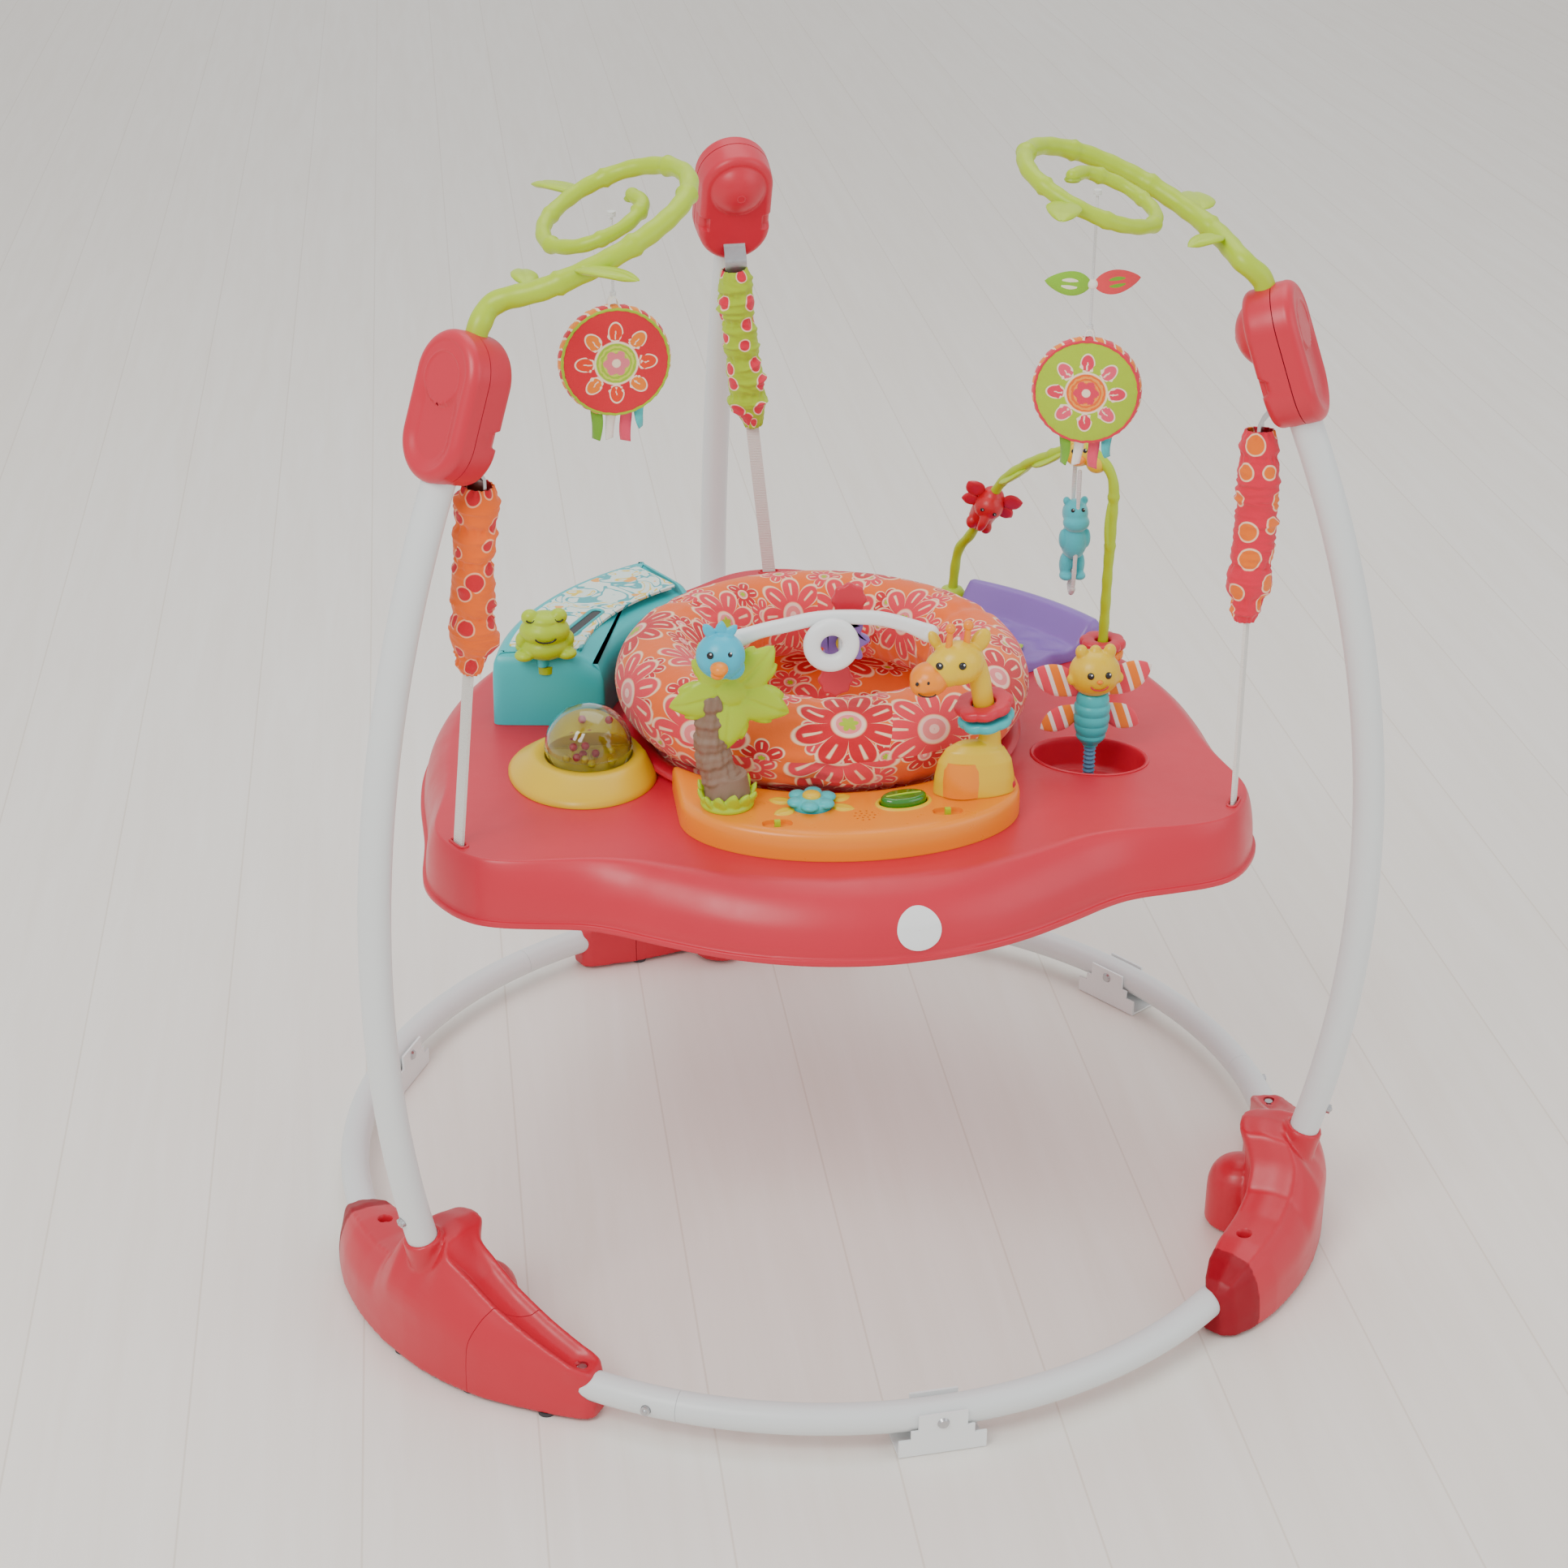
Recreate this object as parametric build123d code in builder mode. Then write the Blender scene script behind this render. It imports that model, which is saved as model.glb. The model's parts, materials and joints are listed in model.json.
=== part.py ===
from build123d import *
import os
from math import sin, cos, asin, sqrt, radians, degrees

os.makedirs("parts", exist_ok=True)

# ------------------------------------------------------------------ driving dimensions (mm)
SX, SY = -4.207, -21.187            # centre of the floor ring; the origin lies under the middle of the envelope
RING_R, RING_Z = 420.0, 29.0    # floor ring centreline radius and height
TUBE_O, TUBE_I = 12.7, 11.3     # 25.4 mm tube, outer and inner radius
SPIG_O, SPIG_I = 11.25, 9.8     # swaged end that plugs into the stub tubes
FOOT = {"left": 215.4, "right": -24.6, "back": 95.4}      # feet, legs and housings, degrees about the ring centre
LOBE = {"left": 210.0, "right": -30.0, "back": 90.0}      # strap points of the tray
LC_R, LC_Z, LEG_R = -540.74, 349.71, 1008.75              # centre and radius of the arc that each leg follows
LEG_SEAM, LEG_TOP, LEG_FOOT = 176.0, 790.0, 64.0
HOUSE_R, HOUSE_Z, LEAN = 370.0, 801.0, 20.0               # spring housing centre and backward lean
HOUSE_L, HOUSE_W, HOUSE_OUT, HOUSE_IN = 112.0, 68.0, 17.0, 24.0
SPRING_R, SPRING_TOP, SPRING_BOT = 352.0, 722.0, 600.0
STRAP_R = 361.5
DECK, RIM, WALL = 433.0, 380.0, 3.0                       # tray deck height, skirt bottom, wall
WELL_R = 158.0                                            # seat opening in the tray
BOLSTER_R, BOLSTER_S, BOLSTER_Z = 138.0, 39.0, 482.0
CUP = (216.0, -82.0)                                      # bee recess
BALL = (-203.0, -64.0, 457.0, 36.0)
MUSIC_TOP = 456.0
CL = 0.35                                                 # clearance between moving bodies


def V(x, y, z):
    return (x + SX, y + SY, z)


def pol(r, a, z):
    return V(r * cos(radians(a)), r * sin(radians(a)), z)


def flat(z, x=0.0, y=0.0, rot=0.0):
    return Plane(origin=V(x, y, z), x_dir=(cos(radians(rot)), sin(radians(rot)), 0), z_dir=(0, 0, 1))


def upright(a):
    """vertical plane through the ring centre: x outwards at angle a, y up"""
    return Plane(origin=V(0, 0, 0), x_dir=(cos(radians(a)), sin(radians(a)), 0), z_dir=(sin(radians(a)), -cos(radians(a)), 0))


def front(y, x=0.0, z=0.0):
    """upright plane facing the front: x to the right, y up, normal towards -Y"""
    return Plane(origin=V(x, y, z), x_dir=(1, 0, 0), z_dir=(0, -1, 0))


def aim(p, d, x=None):
    return Plane(origin=p, z_dir=d, x_dir=x) if x is not None else Plane(origin=p, z_dir=d)


AX = Axis(V(0, 0, 0), (0, 0, 1))


def leg_point(z):
    return LC_R + sqrt(LEG_R ** 2 - (z - LC_Z) ** 2)


def leg_plane(a, z):
    """plane across the leg at height z, with its x axis along the arc's radius"""
    b = asin((z - LC_Z) / LEG_R)
    u = (cos(radians(a)), sin(radians(a)))
    return Plane(origin=pol(LC_R, a, LC_Z), x_dir=(cos(b) * u[0], cos(b) * u[1], sin(b)), z_dir=(-sin(b) * u[0], -sin(b) * u[1], cos(b)))


def leg_arc(a, z0, z1, ro, ri=0.0, mode=Mode.ADD):
    with BuildSketch(leg_plane(a, z0)) as ring:
        with Locations((LEG_R, 0)):
            Circle(ro)
            if ri:
                Circle(ri, mode=Mode.SUBTRACT)
    sweep_deg = degrees(asin((z1 - LC_Z) / LEG_R) - asin((z0 - LC_Z) / LEG_R))
    revolve(ring.sketch, axis=Axis(pol(LC_R, a, LC_Z), (sin(radians(a)), -cos(radians(a)), 0)), revolution_arc=sweep_deg, mode=mode)


def ring_arc(a0, arc, ro, ri=0.0, mode=Mode.ADD):
    with BuildSketch(upright(a0)) as ring:
        with Locations((RING_R, RING_Z)):
            Circle(ro)
            if ri:
                Circle(ri, mode=Mode.SUBTRACT)
    revolve(ring.sketch, axis=AX, revolution_arc=arc, mode=mode)


def drill(plane, r, depth, mode=Mode.SUBTRACT):
    with BuildSketch(plane) as hole:
        Circle(r)
    extrude(hole.sketch, amount=depth, mode=mode)


def ball(p, r, mode=Mode.ADD):
    with Locations(p):
        Sphere(r, mode=mode)


def button_plane(a):
    """leg snap button: plane on the leg's centreline, facing outwards"""
    b = asin((140.0 - LC_Z) / LEG_R)
    u = (cos(radians(a)), sin(radians(a)))
    return aim(pol(leg_point(140.0), a, 140.0), (cos(b) * u[0], cos(b) * u[1], sin(b)))


def base_button_plane(a):
    return aim(pol(RING_R, a + 28.6, RING_Z), (cos(radians(a + 28.6)), sin(radians(a + 28.6)), 0))


def save(part, name):
    part.label = name
    export_step(part, "parts/" + name + ".step")


# ------------------------------------------------------------------ floor ring
# Each foot carries a short stub on its counter-clockwise side; the long tube plugs into the stub
# with a swaged end and runs to the next foot.
NEXT = {"left": "front", "right": "right", "back": "left"}
STUB0, STUB1, TUBE_END = 14.0, 31.8, 120.0 - 13.0
for side, a in FOOT.items():
    with BuildPart() as base_tube:
        ring_arc(a + STUB1, TUBE_END - STUB1, TUBE_O, TUBE_I)
        ring_arc(a + 24.2, STUB1 - 24.2 + 0.6, SPIG_O, SPIG_I)
        ring_arc(a + STUB1, 0.6, TUBE_O, SPIG_I)
        drill(base_button_plane(a), 4.3, 16)
        drill(aim(pol(RING_R, a + 106.0, RING_Z), (0, 0, 1)), 2.1, 16)
        drill(aim(pol(RING_R, a + 60.0, RING_Z), (cos(radians(a + 60.0)), sin(radians(a + 60.0)), 0)), 2.6, 16)
        drill(aim(pol(RING_R, a + 60.0, RING_Z), (-cos(radians(a + 60.0)), -sin(radians(a + 60.0)), 0)), 2.6, 16)
    save(base_tube.part, "base_tube_" + NEXT[side])

with BuildPart() as base_stubs:
    for a in FOOT.values():
        ring_arc(a + STUB0, STUB1 - STUB0 - 0.04, TUBE_O, TUBE_I)
        drill(base_button_plane(a), 4.3, 16)
        drill(aim(pol(RING_R, a + 20.3, RING_Z), (0, 0, 1)), 2.1, 16)
save(base_stubs.part, "base_stub_tubes")

# ------------------------------------------------------------------ floor brackets: stepped plate saddles at the middle of each tube
with BuildPart() as brackets:
    for a in FOOT.values():
        c = a + 60.0
        pl = Plane(origin=pol(RING_R, c, 0), x_dir=(-sin(radians(c)), cos(radians(c)), 0), z_dir=(cos(radians(c)), sin(radians(c)), 0))
        for off, th in ((TUBE_O + 0.1, 2.0), (-TUBE_O - 3.8, 2.0)):
            with BuildSketch(pl.offset(off)):
                with BuildLine():
                    Polyline((-36, 0.4), (36, 0.4), (36, 16), (26, 16), (26, 24), (20, 24), (20, 38), (-20, 38), (-20, 24), (-26, 24), (-26, 16), (-36, 16), close=True)
                make_face()
            extrude(amount=th)
        with BuildSketch(pl.offset(-TUBE_O - 3.8)):
            with Locations((0, 1.4)):
                Rectangle(72, 2.0)
        extrude(amount=2 * TUBE_O + 5.9)
        drill(aim(pol(RING_R - 20, c, RING_Z), (cos(radians(c)), sin(radians(c)), 0)), 2.6, 40)
save(brackets.part, "floor_brackets")

# ------------------------------------------------------------------ leg stubs and legs
with BuildPart() as leg_stubs:
    for a in FOOT.values():
        leg_arc(a, LEG_FOOT, LEG_SEAM - 0.04, TUBE_O, TUBE_I)
        drill(button_plane(a), 4.3, 16)
save(leg_stubs.part, "leg_stub_tubes")

for side, a in FOOT.items():
    with BuildPart() as leg_tube:
        leg_arc(a, LEG_SEAM, LEG_TOP, TUBE_O, TUBE_I)
        leg_arc(a, 116.0, LEG_SEAM + 4, SPIG_O, SPIG_I)
        leg_arc(a, LEG_SEAM, LEG_SEAM + 4, TUBE_O, SPIG_I)
        drill(button_plane(a), 4.3, 16)
    save(leg_tube.part, "leg_tube_" + side)

# ------------------------------------------------------------------ snap buttons: domed pin on a leaf inside the swaged end
with BuildPart() as snaps:
    for a in FOOT.values():
        for pl in (button_plane(a), base_button_plane(a)):
            with BuildSketch(pl.offset(8.0)):
                Circle(4.0)
            extrude(amount=7.2)
            with BuildSketch(pl.offset(7.0)):
                Circle(5.2)
            extrude(amount=1.4)
            with Locations(pl.location * Location((0, 0, 14.2))):
                Sphere(2.6)
save(snaps.part, "snap_buttons")

# ------------------------------------------------------------------ feet: hollow two-part shells over the ring tube
PLAN = [(444, -20.5), (456, -14), (463, -6), (464, 0), (460, 6), (452, 12), (441, 18), (428, 21.8), (414, 22.4), (398, 19.5),
        (391, 14), (394, 6), (397, -4), (400, -14), (410, -20.5), (428, -22.4)]
TENT = [(-24.5, -5), (-24.5, 46), (-22, 53), (-16, 60), (-10, 66), (-7.6, 74), (-4.4, 108), (-3, 116), (2.6, 117), (5.5, 108), (10, 86), (15, 67), (20, 55), (23.4, 47), (25, 44), (25, -5)]


def foot_plan(a, z, inset):
    with BuildSketch(flat(z)) as plan:
        with BuildLine():
            Polyline(*[(r * cos(radians(a + d)), r * sin(radians(a + d))) for r, d in PLAN], close=True)
        make_face()
        if inset:
            offset(amount=-inset, kind=Kind.INTERSECTION)
    return plan.sketch


def foot_tent(a, drop):
    pl = Plane(origin=pol(330, a, 0), x_dir=(-sin(radians(a)), cos(radians(a)), 0), z_dir=(cos(radians(a)), sin(radians(a)), 0))
    with BuildSketch(pl) as side_view:
        with BuildLine():
            Polyline(*[(424 * sin(radians(d)), max(z - drop, -8)) for d, z in TENT], close=True)
        make_face()
    extrude(side_view.sketch, amount=160, mode=Mode.INTERSECT)


feet = {}
for side, a in FOOT.items():
    with BuildPart() as cav:
        extrude(foot_plan(a, 6.0, 3.0), amount=120)
        foot_tent(a, 3.4)
    with BuildPart() as foot:
        extrude(foot_plan(a, 3.0, 0), amount=120)
        foot_tent(a, 0)
        with BuildSketch(flat(3.0, *[388 * f(radians(a + 1.5)) for f in (cos, sin)])):
            Circle(28)
        extrude(amount=33)
        ball(pol(388, a + 1.5, 36.0), 28)
        add(cav.part, mode=Mode.SUBTRACT)
        extrude(foot_plan(a, 0.0, 17.0), amount=8, mode=Mode.SUBTRACT)
        with BuildSketch(flat(0.0, *[388 * f(radians(a + 1.5)) for f in (cos, sin)])):
            Circle(25)
        extrude(amount=36, mode=Mode.SUBTRACT)
        ball(pol(388, a + 1.5, 36.0), 25, mode=Mode.SUBTRACT)
        ring_arc(a - 30, 60, TUBE_O + 0.05, mode=Mode.SUBTRACT)
        leg_arc(a, 80, 150, TUBE_O + 0.05, mode=Mode.SUBTRACT)
        drill(aim(pol(RING_R, a - 14, 44), (0, 0, 1)), 5.0, 30)
        drill(aim(pol(425, a + 20.3, 44), (0, 0, 1)), 5.0, 30)
    feet[side] = foot.part


def seam_plane(a, gap):
    p0, p1 = pol(465, a + 8.0, 0), pol(400, a + 14.0, 0)
    d = ((p1[0] - p0[0]), (p1[1] - p0[1]))
    n = sqrt(d[0] ** 2 + d[1] ** 2)
    nx, ny = d[1] / n, -d[0] / n
    s = 1.0 if (nx * -sin(radians(a + 10)) + ny * cos(radians(a + 10))) > 0 else -1.0
    return Plane(origin=(p0[0] + s * nx * gap, p0[1] + s * ny * gap, 0), z_dir=(s * nx, s * ny, 0))


shell_halves = [split(feet[side], bisect_by=seam_plane(a, -0.15), keep=Keep.BOTTOM) for side, a in FOOT.items()]
cover_halves = [split(feet[side], bisect_by=seam_plane(a, 0.15), keep=Keep.TOP) for side, a in FOOT.items()]
with BuildPart() as foot_shells:
    for p in shell_halves:
        add(p)
save(foot_shells.part, "foot_shells")
with BuildPart() as foot_covers:
    for p in cover_halves:
        add(p)
save(foot_covers.part, "foot_end_covers")

with BuildPart() as pads:
    for a in FOOT.values():
        for r, d in ((446, -13), (455, -2), (448, 8), (436, 17), (407, -13), (400, 14)):
            with BuildSketch(flat(0.0, *[r * f(radians(a + d)) for f in (cos, sin)])):
                Circle(7.0)
            extrude(amount=3.0)
save(pads.part, "foot_pads")

# ------------------------------------------------------------------ spring housings
NX, NZ = cos(radians(LEAN)), sin(radians(LEAN))


def house(a, off=0.0):
    """housing split plane: x along the tangent, y up the housing, normal outwards"""
    u = (cos(radians(a)), sin(radians(a)))
    return Plane(origin=pol(HOUSE_R, a, HOUSE_Z), x_dir=(-u[1], u[0], 0), z_dir=(NX * u[0], NX * u[1], NZ)).offset(off)


def h_pt(y, n):
    """(radius, height) of a point on the housing's own middle plane"""
    return (HOUSE_R - NZ * y + NX * n, HOUSE_Z + NX * y + NZ * n)


def house_axis(a, y, n):
    """plane across the housing's long axis, for the vine arm's socket"""
    u = (cos(radians(a)), sin(radians(a)))
    r, z = h_pt(y, n)
    return aim(pol(r, a, z), (-NZ * u[0], -NZ * u[1], NX))


for side, a in FOOT.items():
    with BuildPart() as h_out:
        with BuildSketch(house(a, 0.1)):
            SlotOverall(HOUSE_L, HOUSE_W, rotation=90)
        extrude(amount=HOUSE_OUT - 0.1)
        fillet(h_out.faces().sort_by(Axis(pol(HOUSE_R, a, HOUSE_Z), house(a).z_dir))[-1].edges(), 7.0)
        with BuildSketch(house(a, 0.0)):
            SlotOverall(HOUSE_L - 6, HOUSE_W - 6, rotation=90)
        extrude(amount=HOUSE_OUT - 4.5, mode=Mode.SUBTRACT)
        with BuildSketch(house(a, HOUSE_OUT - 1.4)):
            SlotOverall(HOUSE_L - 20, HOUSE_W - 20, rotation=90)
        extrude(amount=4, mode=Mode.SUBTRACT)
        with BuildSketch(house(a, HOUSE_OUT - 2.0)):
            with Locations((0, 20)):
                Circle(20)
        extrude(amount=1.6)
        leg_arc(a, 700, LEG_TOP + 1, TUBE_O + 0.05, mode=Mode.SUBTRACT)
        if side != "back":
            drill(house_axis(a, 30.0, -6.0), 8.15, 40)
    save(h_out.part, "housing_outer_" + side)

inner_shells = []
for side, a in (("right", FOOT["right"]), ("back", FOOT["back"])):
    n_dir = house(a).z_dir
    with BuildPart() as h_in:
        with BuildSketch(house(a, -HOUSE_IN)):
            SlotOverall(HOUSE_L, HOUSE_W, rotation=90)
        extrude(amount=HOUSE_IN - 0.1)
        fillet(h_in.faces().sort_by(Axis(pol(HOUSE_R, a, HOUSE_Z), n_dir))[0].edges(), 6.0)
        ball(pol(*[h_pt(21, -7)[0], a, h_pt(21, -7)[1]]), 30.0)
        with BuildSketch(house(a, -0.1)):
            Rectangle(200, 200)
        extrude(amount=60, mode=Mode.SUBTRACT)
        with BuildSketch(house(a, -HOUSE_IN + 3.0)):
            SlotOverall(HOUSE_L - 6, HOUSE_W - 6, rotation=90)
        extrude(amount=HOUSE_IN, mode=Mode.SUBTRACT)
        ball(pol(*[h_pt(21, -7)[0], a, h_pt(21, -7)[1]]), 27.0, mode=Mode.SUBTRACT)
        with BuildSketch(house(a, -HOUSE_IN - 2)):
            with Locations((0, -36)):
                Rectangle(24, 17)
        extrude(amount=8, mode=Mode.SUBTRACT)
        drill(Plane(origin=pol(h_pt(21, -42)[0], a, h_pt(21, -42)[1]), z_dir=n_dir), 3.0, 12)
        leg_arc(a, 700, LEG_TOP + 1, TUBE_O + 0.05, mode=Mode.SUBTRACT)
        if side != "back":
            drill(house_axis(a, 30.0, -6.0), 8.15, 40)
    inner_shells.append(h_in.part)
inner_shells.append(inner_shells[0].rotate(AX, FOOT["left"] - FOOT["right"]))
with BuildPart() as h_ins:
    for p in inner_shells:
        add(p)
save(h_ins.part, "housing_inner_shells")

# ------------------------------------------------------------------ spring suspension: hanger, coil spring, strap, sleeve
def line_ends(side):
    return Vector(*pol(SPRING_R, FOOT[side], SPRING_TOP)), Vector(*pol(STRAP_R, LOBE[side], DECK))


def susp(side, z):
    """plane across the suspension line at height z, x axis outwards"""
    p0, p1 = line_ends(side)
    t = (p0.Z - z) / (p0.Z - p1.Z)
    p = p0 + (p1 - p0) * t
    d = (p0 - p1).normalized()
    a = FOOT[side] if z > 560 else LOBE[side]
    u = Vector(cos(radians(a)), sin(radians(a)), 0)
    u = (u - d * u.dot(d)).normalized()
    return Plane(origin=p, x_dir=u, z_dir=d)


hangers = []
for side, a in FOOT.items():
    with BuildPart() as hanger:
        with BuildSketch(upright(a)):
            with BuildLine():
                FilletPolyline((363.5, 771), (360.4, 757), (SPRING_R, 745), (SPRING_R, SPRING_TOP - 0.5), radius=4)
            trace(line_width=2.6)
        extrude(amount=10, both=True)
        leg_arc(a, 764, 778, 15.0, mode=Mode.ADD)
        leg_arc(a, 750, 785, TUBE_O + 0.03, mode=Mode.SUBTRACT)
        drill(aim(pol(SPRING_R - 10, a, SPRING_TOP + 6.0), (cos(radians(a)), sin(radians(a)), 0)), 3.6, 20)
    hangers.append(hanger.part)
with BuildPart() as hangers_g:
    for p in hangers:
        add(p)
save(hangers_g.part, "spring_hangers")

springs, straps = [], []
for side in FOOT:
    top, bot = susp(side, SPRING_TOP), susp(side, SPRING_BOT)
    ln = (top.origin - bot.origin).length
    axial = Plane(origin=bot.origin, x_dir=bot.x_dir, z_dir=bot.x_dir.cross(bot.z_dir))
    with BuildPart() as spring:
        coil = ln - 2 * 6.0
        turns = 30
        p = coil / turns
        with BuildSketch(axial):
            with BuildLine():
                pts = [(6.6, 6.0)]
                for k in range(turns):
                    pts += [(8.2, 6.0 + p * k), (9.2, 6.0 + p * (k + 0.5))]
                pts += [(8.2, 6.0 + coil), (6.6, 6.0 + coil)]
                Polyline(*pts, close=True)
            make_face()
        revolve(axis=Axis(bot.origin, bot.z_dir))
        for c in (0.0, ln):
            with BuildSketch(Plane(origin=bot.origin + bot.z_dir * c, x_dir=bot.x_dir, z_dir=bot.z_dir)):
                with Locations((6.0, 0)):
                    Circle(1.2)
            revolve(axis=Axis(bot.origin + bot.z_dir * c, axial.z_dir), revolution_arc=360)
        with BuildSketch(Plane(origin=bot.origin + bot.z_dir * 5.2, x_dir=bot.x_dir, z_dir=bot.z_dir)):
            Rectangle(15, 2.0)
        extrude(amount=1.6)
        with BuildSketch(Plane(origin=bot.origin + bot.z_dir * (ln - 6.8), x_dir=bot.x_dir, z_dir=bot.z_dir)):
            Rectangle(15, 2.0)
        extrude(amount=1.6)
    springs.append(spring.part)
    end = susp(side, DECK)
    sl = (bot.origin - end.origin).length
    with BuildPart() as strap:
        with BuildSketch(Plane(origin=end.origin - end.z_dir * 6, x_dir=end.x_dir, z_dir=end.z_dir)):
            Rectangle(2.4, 12)
        extrude(amount=sl + 6 - 0.5)
        with BuildSketch(Plane(origin=end.origin - end.z_dir * 10.0, x_dir=end.x_dir, z_dir=end.z_dir)):
            Rectangle(6, 24)
        extrude(amount=5.5)
        drill(aim(bot.origin - bot.z_dir * 6.0 - bot.x_dir * 10, bot.x_dir), 3.6, 20)
    straps.append(strap.part)
    with BuildPart() as sleeve:
        s0, s1 = susp(side, 584), susp(side, 737)
        sleeve_len = (s1.origin - s0.origin).length
        ax2 = Plane(origin=s0.origin, x_dir=bot.x_dir, z_dir=bot.x_dir.cross(bot.z_dir))
        with BuildSketch(ax2):
            with BuildLine():
                Polyline((7.2, 0), (9.5, 0), (13, 10), (20, 22), (21.5, 50), (18.5, 72), (21.0, 96), (18.5, 116), (19.5, 138), (15.0, sleeve_len),
                         (13.2, sleeve_len), (11.5, sleeve_len - 8), (10.6, 130), (10.6, 18), (7.2, 8), close=True)
            make_face()
        revolve(axis=Axis(s0.origin, bot.z_dir))
    save(sleeve.part, "sleeve_" + side)
with BuildPart() as springs_g:
    for p in springs:
        add(p)
save(springs_g.part, "suspension_springs")
with BuildPart() as straps_g:
    for p in straps:
        add(p)
save(straps_g.part, "suspension_straps")

# ------------------------------------------------------------------ fasteners of the frame: foot screws, bracket rivets, housing screws
with BuildPart() as fast:
    for a in FOOT.values():
        for d in (-14.0, 20.3):
            p = pol(RING_R, a + d, 0)
            with BuildSketch(Plane(origin=(p[0], p[1], RING_Z + TUBE_O + 0.15))):
                Circle(3.6)
            extrude(amount=2.2)
            with BuildSketch(Plane(origin=(p[0], p[1], RING_Z + 4.0))):
                Circle(2.0)
            extrude(amount=TUBE_O - 3.0)
        c = a + 60.0
        u = (cos(radians(c)), sin(radians(c)), 0)
        with BuildSketch(aim(pol(RING_R - TUBE_O - 3.9, c, RING_Z), u)):
            Circle(2.5)
        extrude(amount=2 * TUBE_O + 6.1)
        for sgn, r0 in ((1, RING_R + TUBE_O + 2.15), (-1, RING_R - TUBE_O - 3.85)):
            with BuildSketch(aim(pol(r0, c, RING_Z), (sgn * u[0], sgn * u[1], 0))):
                Circle(5.0)
            extrude(amount=2.0, taper=35)
        n_dir = house(a).z_dir
        with BuildSketch(Plane(origin=pol(h_pt(21, -33.5)[0], a, h_pt(21, -33.5)[1]), z_dir=n_dir)):
            Circle(2.9)
        extrude(amount=1.5)
        with BuildSketch(Plane(origin=pol(h_pt(21, -33.5)[0], a, h_pt(21, -33.5)[1]), z_dir=n_dir)):
            Circle(1.7)
        extrude(amount=14)
save(fast.part, "frame_fasteners")

# ------------------------------------------------------------------ vine arms: one spiral arm on each front leg
# local frame of a spiral: origin at its hanging point, x towards the middle of the ring, y to the left of that
VINE_HANG, VINE_DANG, VINE_Z = 215.0, -1.5, 917.0
VINE = [(-112, -8), (-88, -34), (-52, -54), (-14, -62), (24, -54), (50, -28), (56, 6), (42, 38), (10, 54), (-26, 46), (-46, 16), (-40, -16), (-14, -31), (12, -22), (20, 0)]


def vine_xy(side, x, y):
    a = FOOT[side] + VINE_DANG
    hx, hy = VINE_HANG * cos(radians(a)), VINE_HANG * sin(radians(a))
    e1 = (-cos(radians(a)), -sin(radians(a)))
    e2 = (-e1[1], e1[0])
    return hx + e1[0] * x + e2[0] * y, hy + e1[1] * x + e2[1] * y


def vine_z(x, y):
    return VINE_Z + 0.42 * x - 0.05 * y


a = FOOT["left"]
r0, z0 = h_pt(43, -6)
r1, z1 = h_pt(62, -6)
pts = [pol(r0, a, z0), pol(r1, a, z1)]
for x, y in VINE:
    px, py = vine_xy("left", x, y)
    pts.append(V(px, py, vine_z(x, y)))
with BuildPart() as vine:
    with BuildLine() as path:
        FilletPolyline(*pts, radius=9)
    with BuildSketch(Plane(origin=path.line @ 0, z_dir=path.line % 0)):
        Circle(7.0)
    sweep()
    ball(pts[-1], 8.0)
    ball(pts[4], 8.6)
    ball(pts[7], 8.6)
    ball(pts[10], 8.6)
    for lx, ly, rot, ln in ((-62, -74, -70, 56), (8, 78, 100, 52), (-84, -4, 60, 40)):
        cx, cy = vine_xy("left", lx, ly)
        ang = a + 180 + VINE_DANG + rot
        with BuildSketch(Plane(origin=V(cx, cy, vine_z(lx, ly) - 3), x_dir=(cos(radians(ang)), sin(radians(ang)), 0), z_dir=(0, 0, 1))):
            with BuildLine():
                ThreePointArc((-ln / 2, 0), (0, ln * 0.27), (ln / 2, 0))
                ThreePointArc((ln / 2, 0), (0, -ln * 0.27), (-ln / 2, 0))
            make_face()
        extrude(amount=6)
vine_right = vine.part.rotate(AX, FOOT["right"] - FOOT["left"])
save(vine.part, "vine_arm_left")
save(vine_right, "vine_arm_right")

# ------------------------------------------------------------------ toys that hang from the arms
DISC_Z = {"left": 803.0, "right": 758.0}
DISC_TURN = {"left": 6.0, "right": -16.0}
for side in ("left", "right"):
    hx, hy = vine_xy(side, 0, 0)
    top = VINE_Z - 0.5
    tab = DISC_Z[side] + 50.0
    with BuildPart() as string:
        with BuildSketch(flat(tab + 1.0, hx, hy)):
            Circle(1.1)
        extrude(amount=top - tab - 1.0)
        with BuildSketch(flat(tab, hx, hy)):
            Circle(2.4)
        extrude(amount=3.0)
        with BuildSketch(flat(top - 4, hx, hy)):
            Circle(3.2)
        extrude(amount=4.0)
    save(string.part, "hanging_string_" + side)
    t = DISC_TURN[side]
    face = Plane(origin=V(hx, hy, DISC_Z[side]), x_dir=(cos(radians(t)), sin(radians(t)), 0), z_dir=(sin(radians(t)), -cos(radians(t)), 0))
    with BuildPart() as disc:
        with BuildSketch(face.offset(-9)):
            Circle(43)
        extrude(amount=18)
        fillet(disc.edges(), 8.0)
        with BuildSketch(face.offset(-1)):
            with Locations((0, 46)):
                Rectangle(8, 7.6)
            with Locations((-9, -52), (2, -54)):
                Rectangle(9, 24)
        extrude(amount=2)
    save(disc.part, "hanging_disc_" + side)

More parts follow.
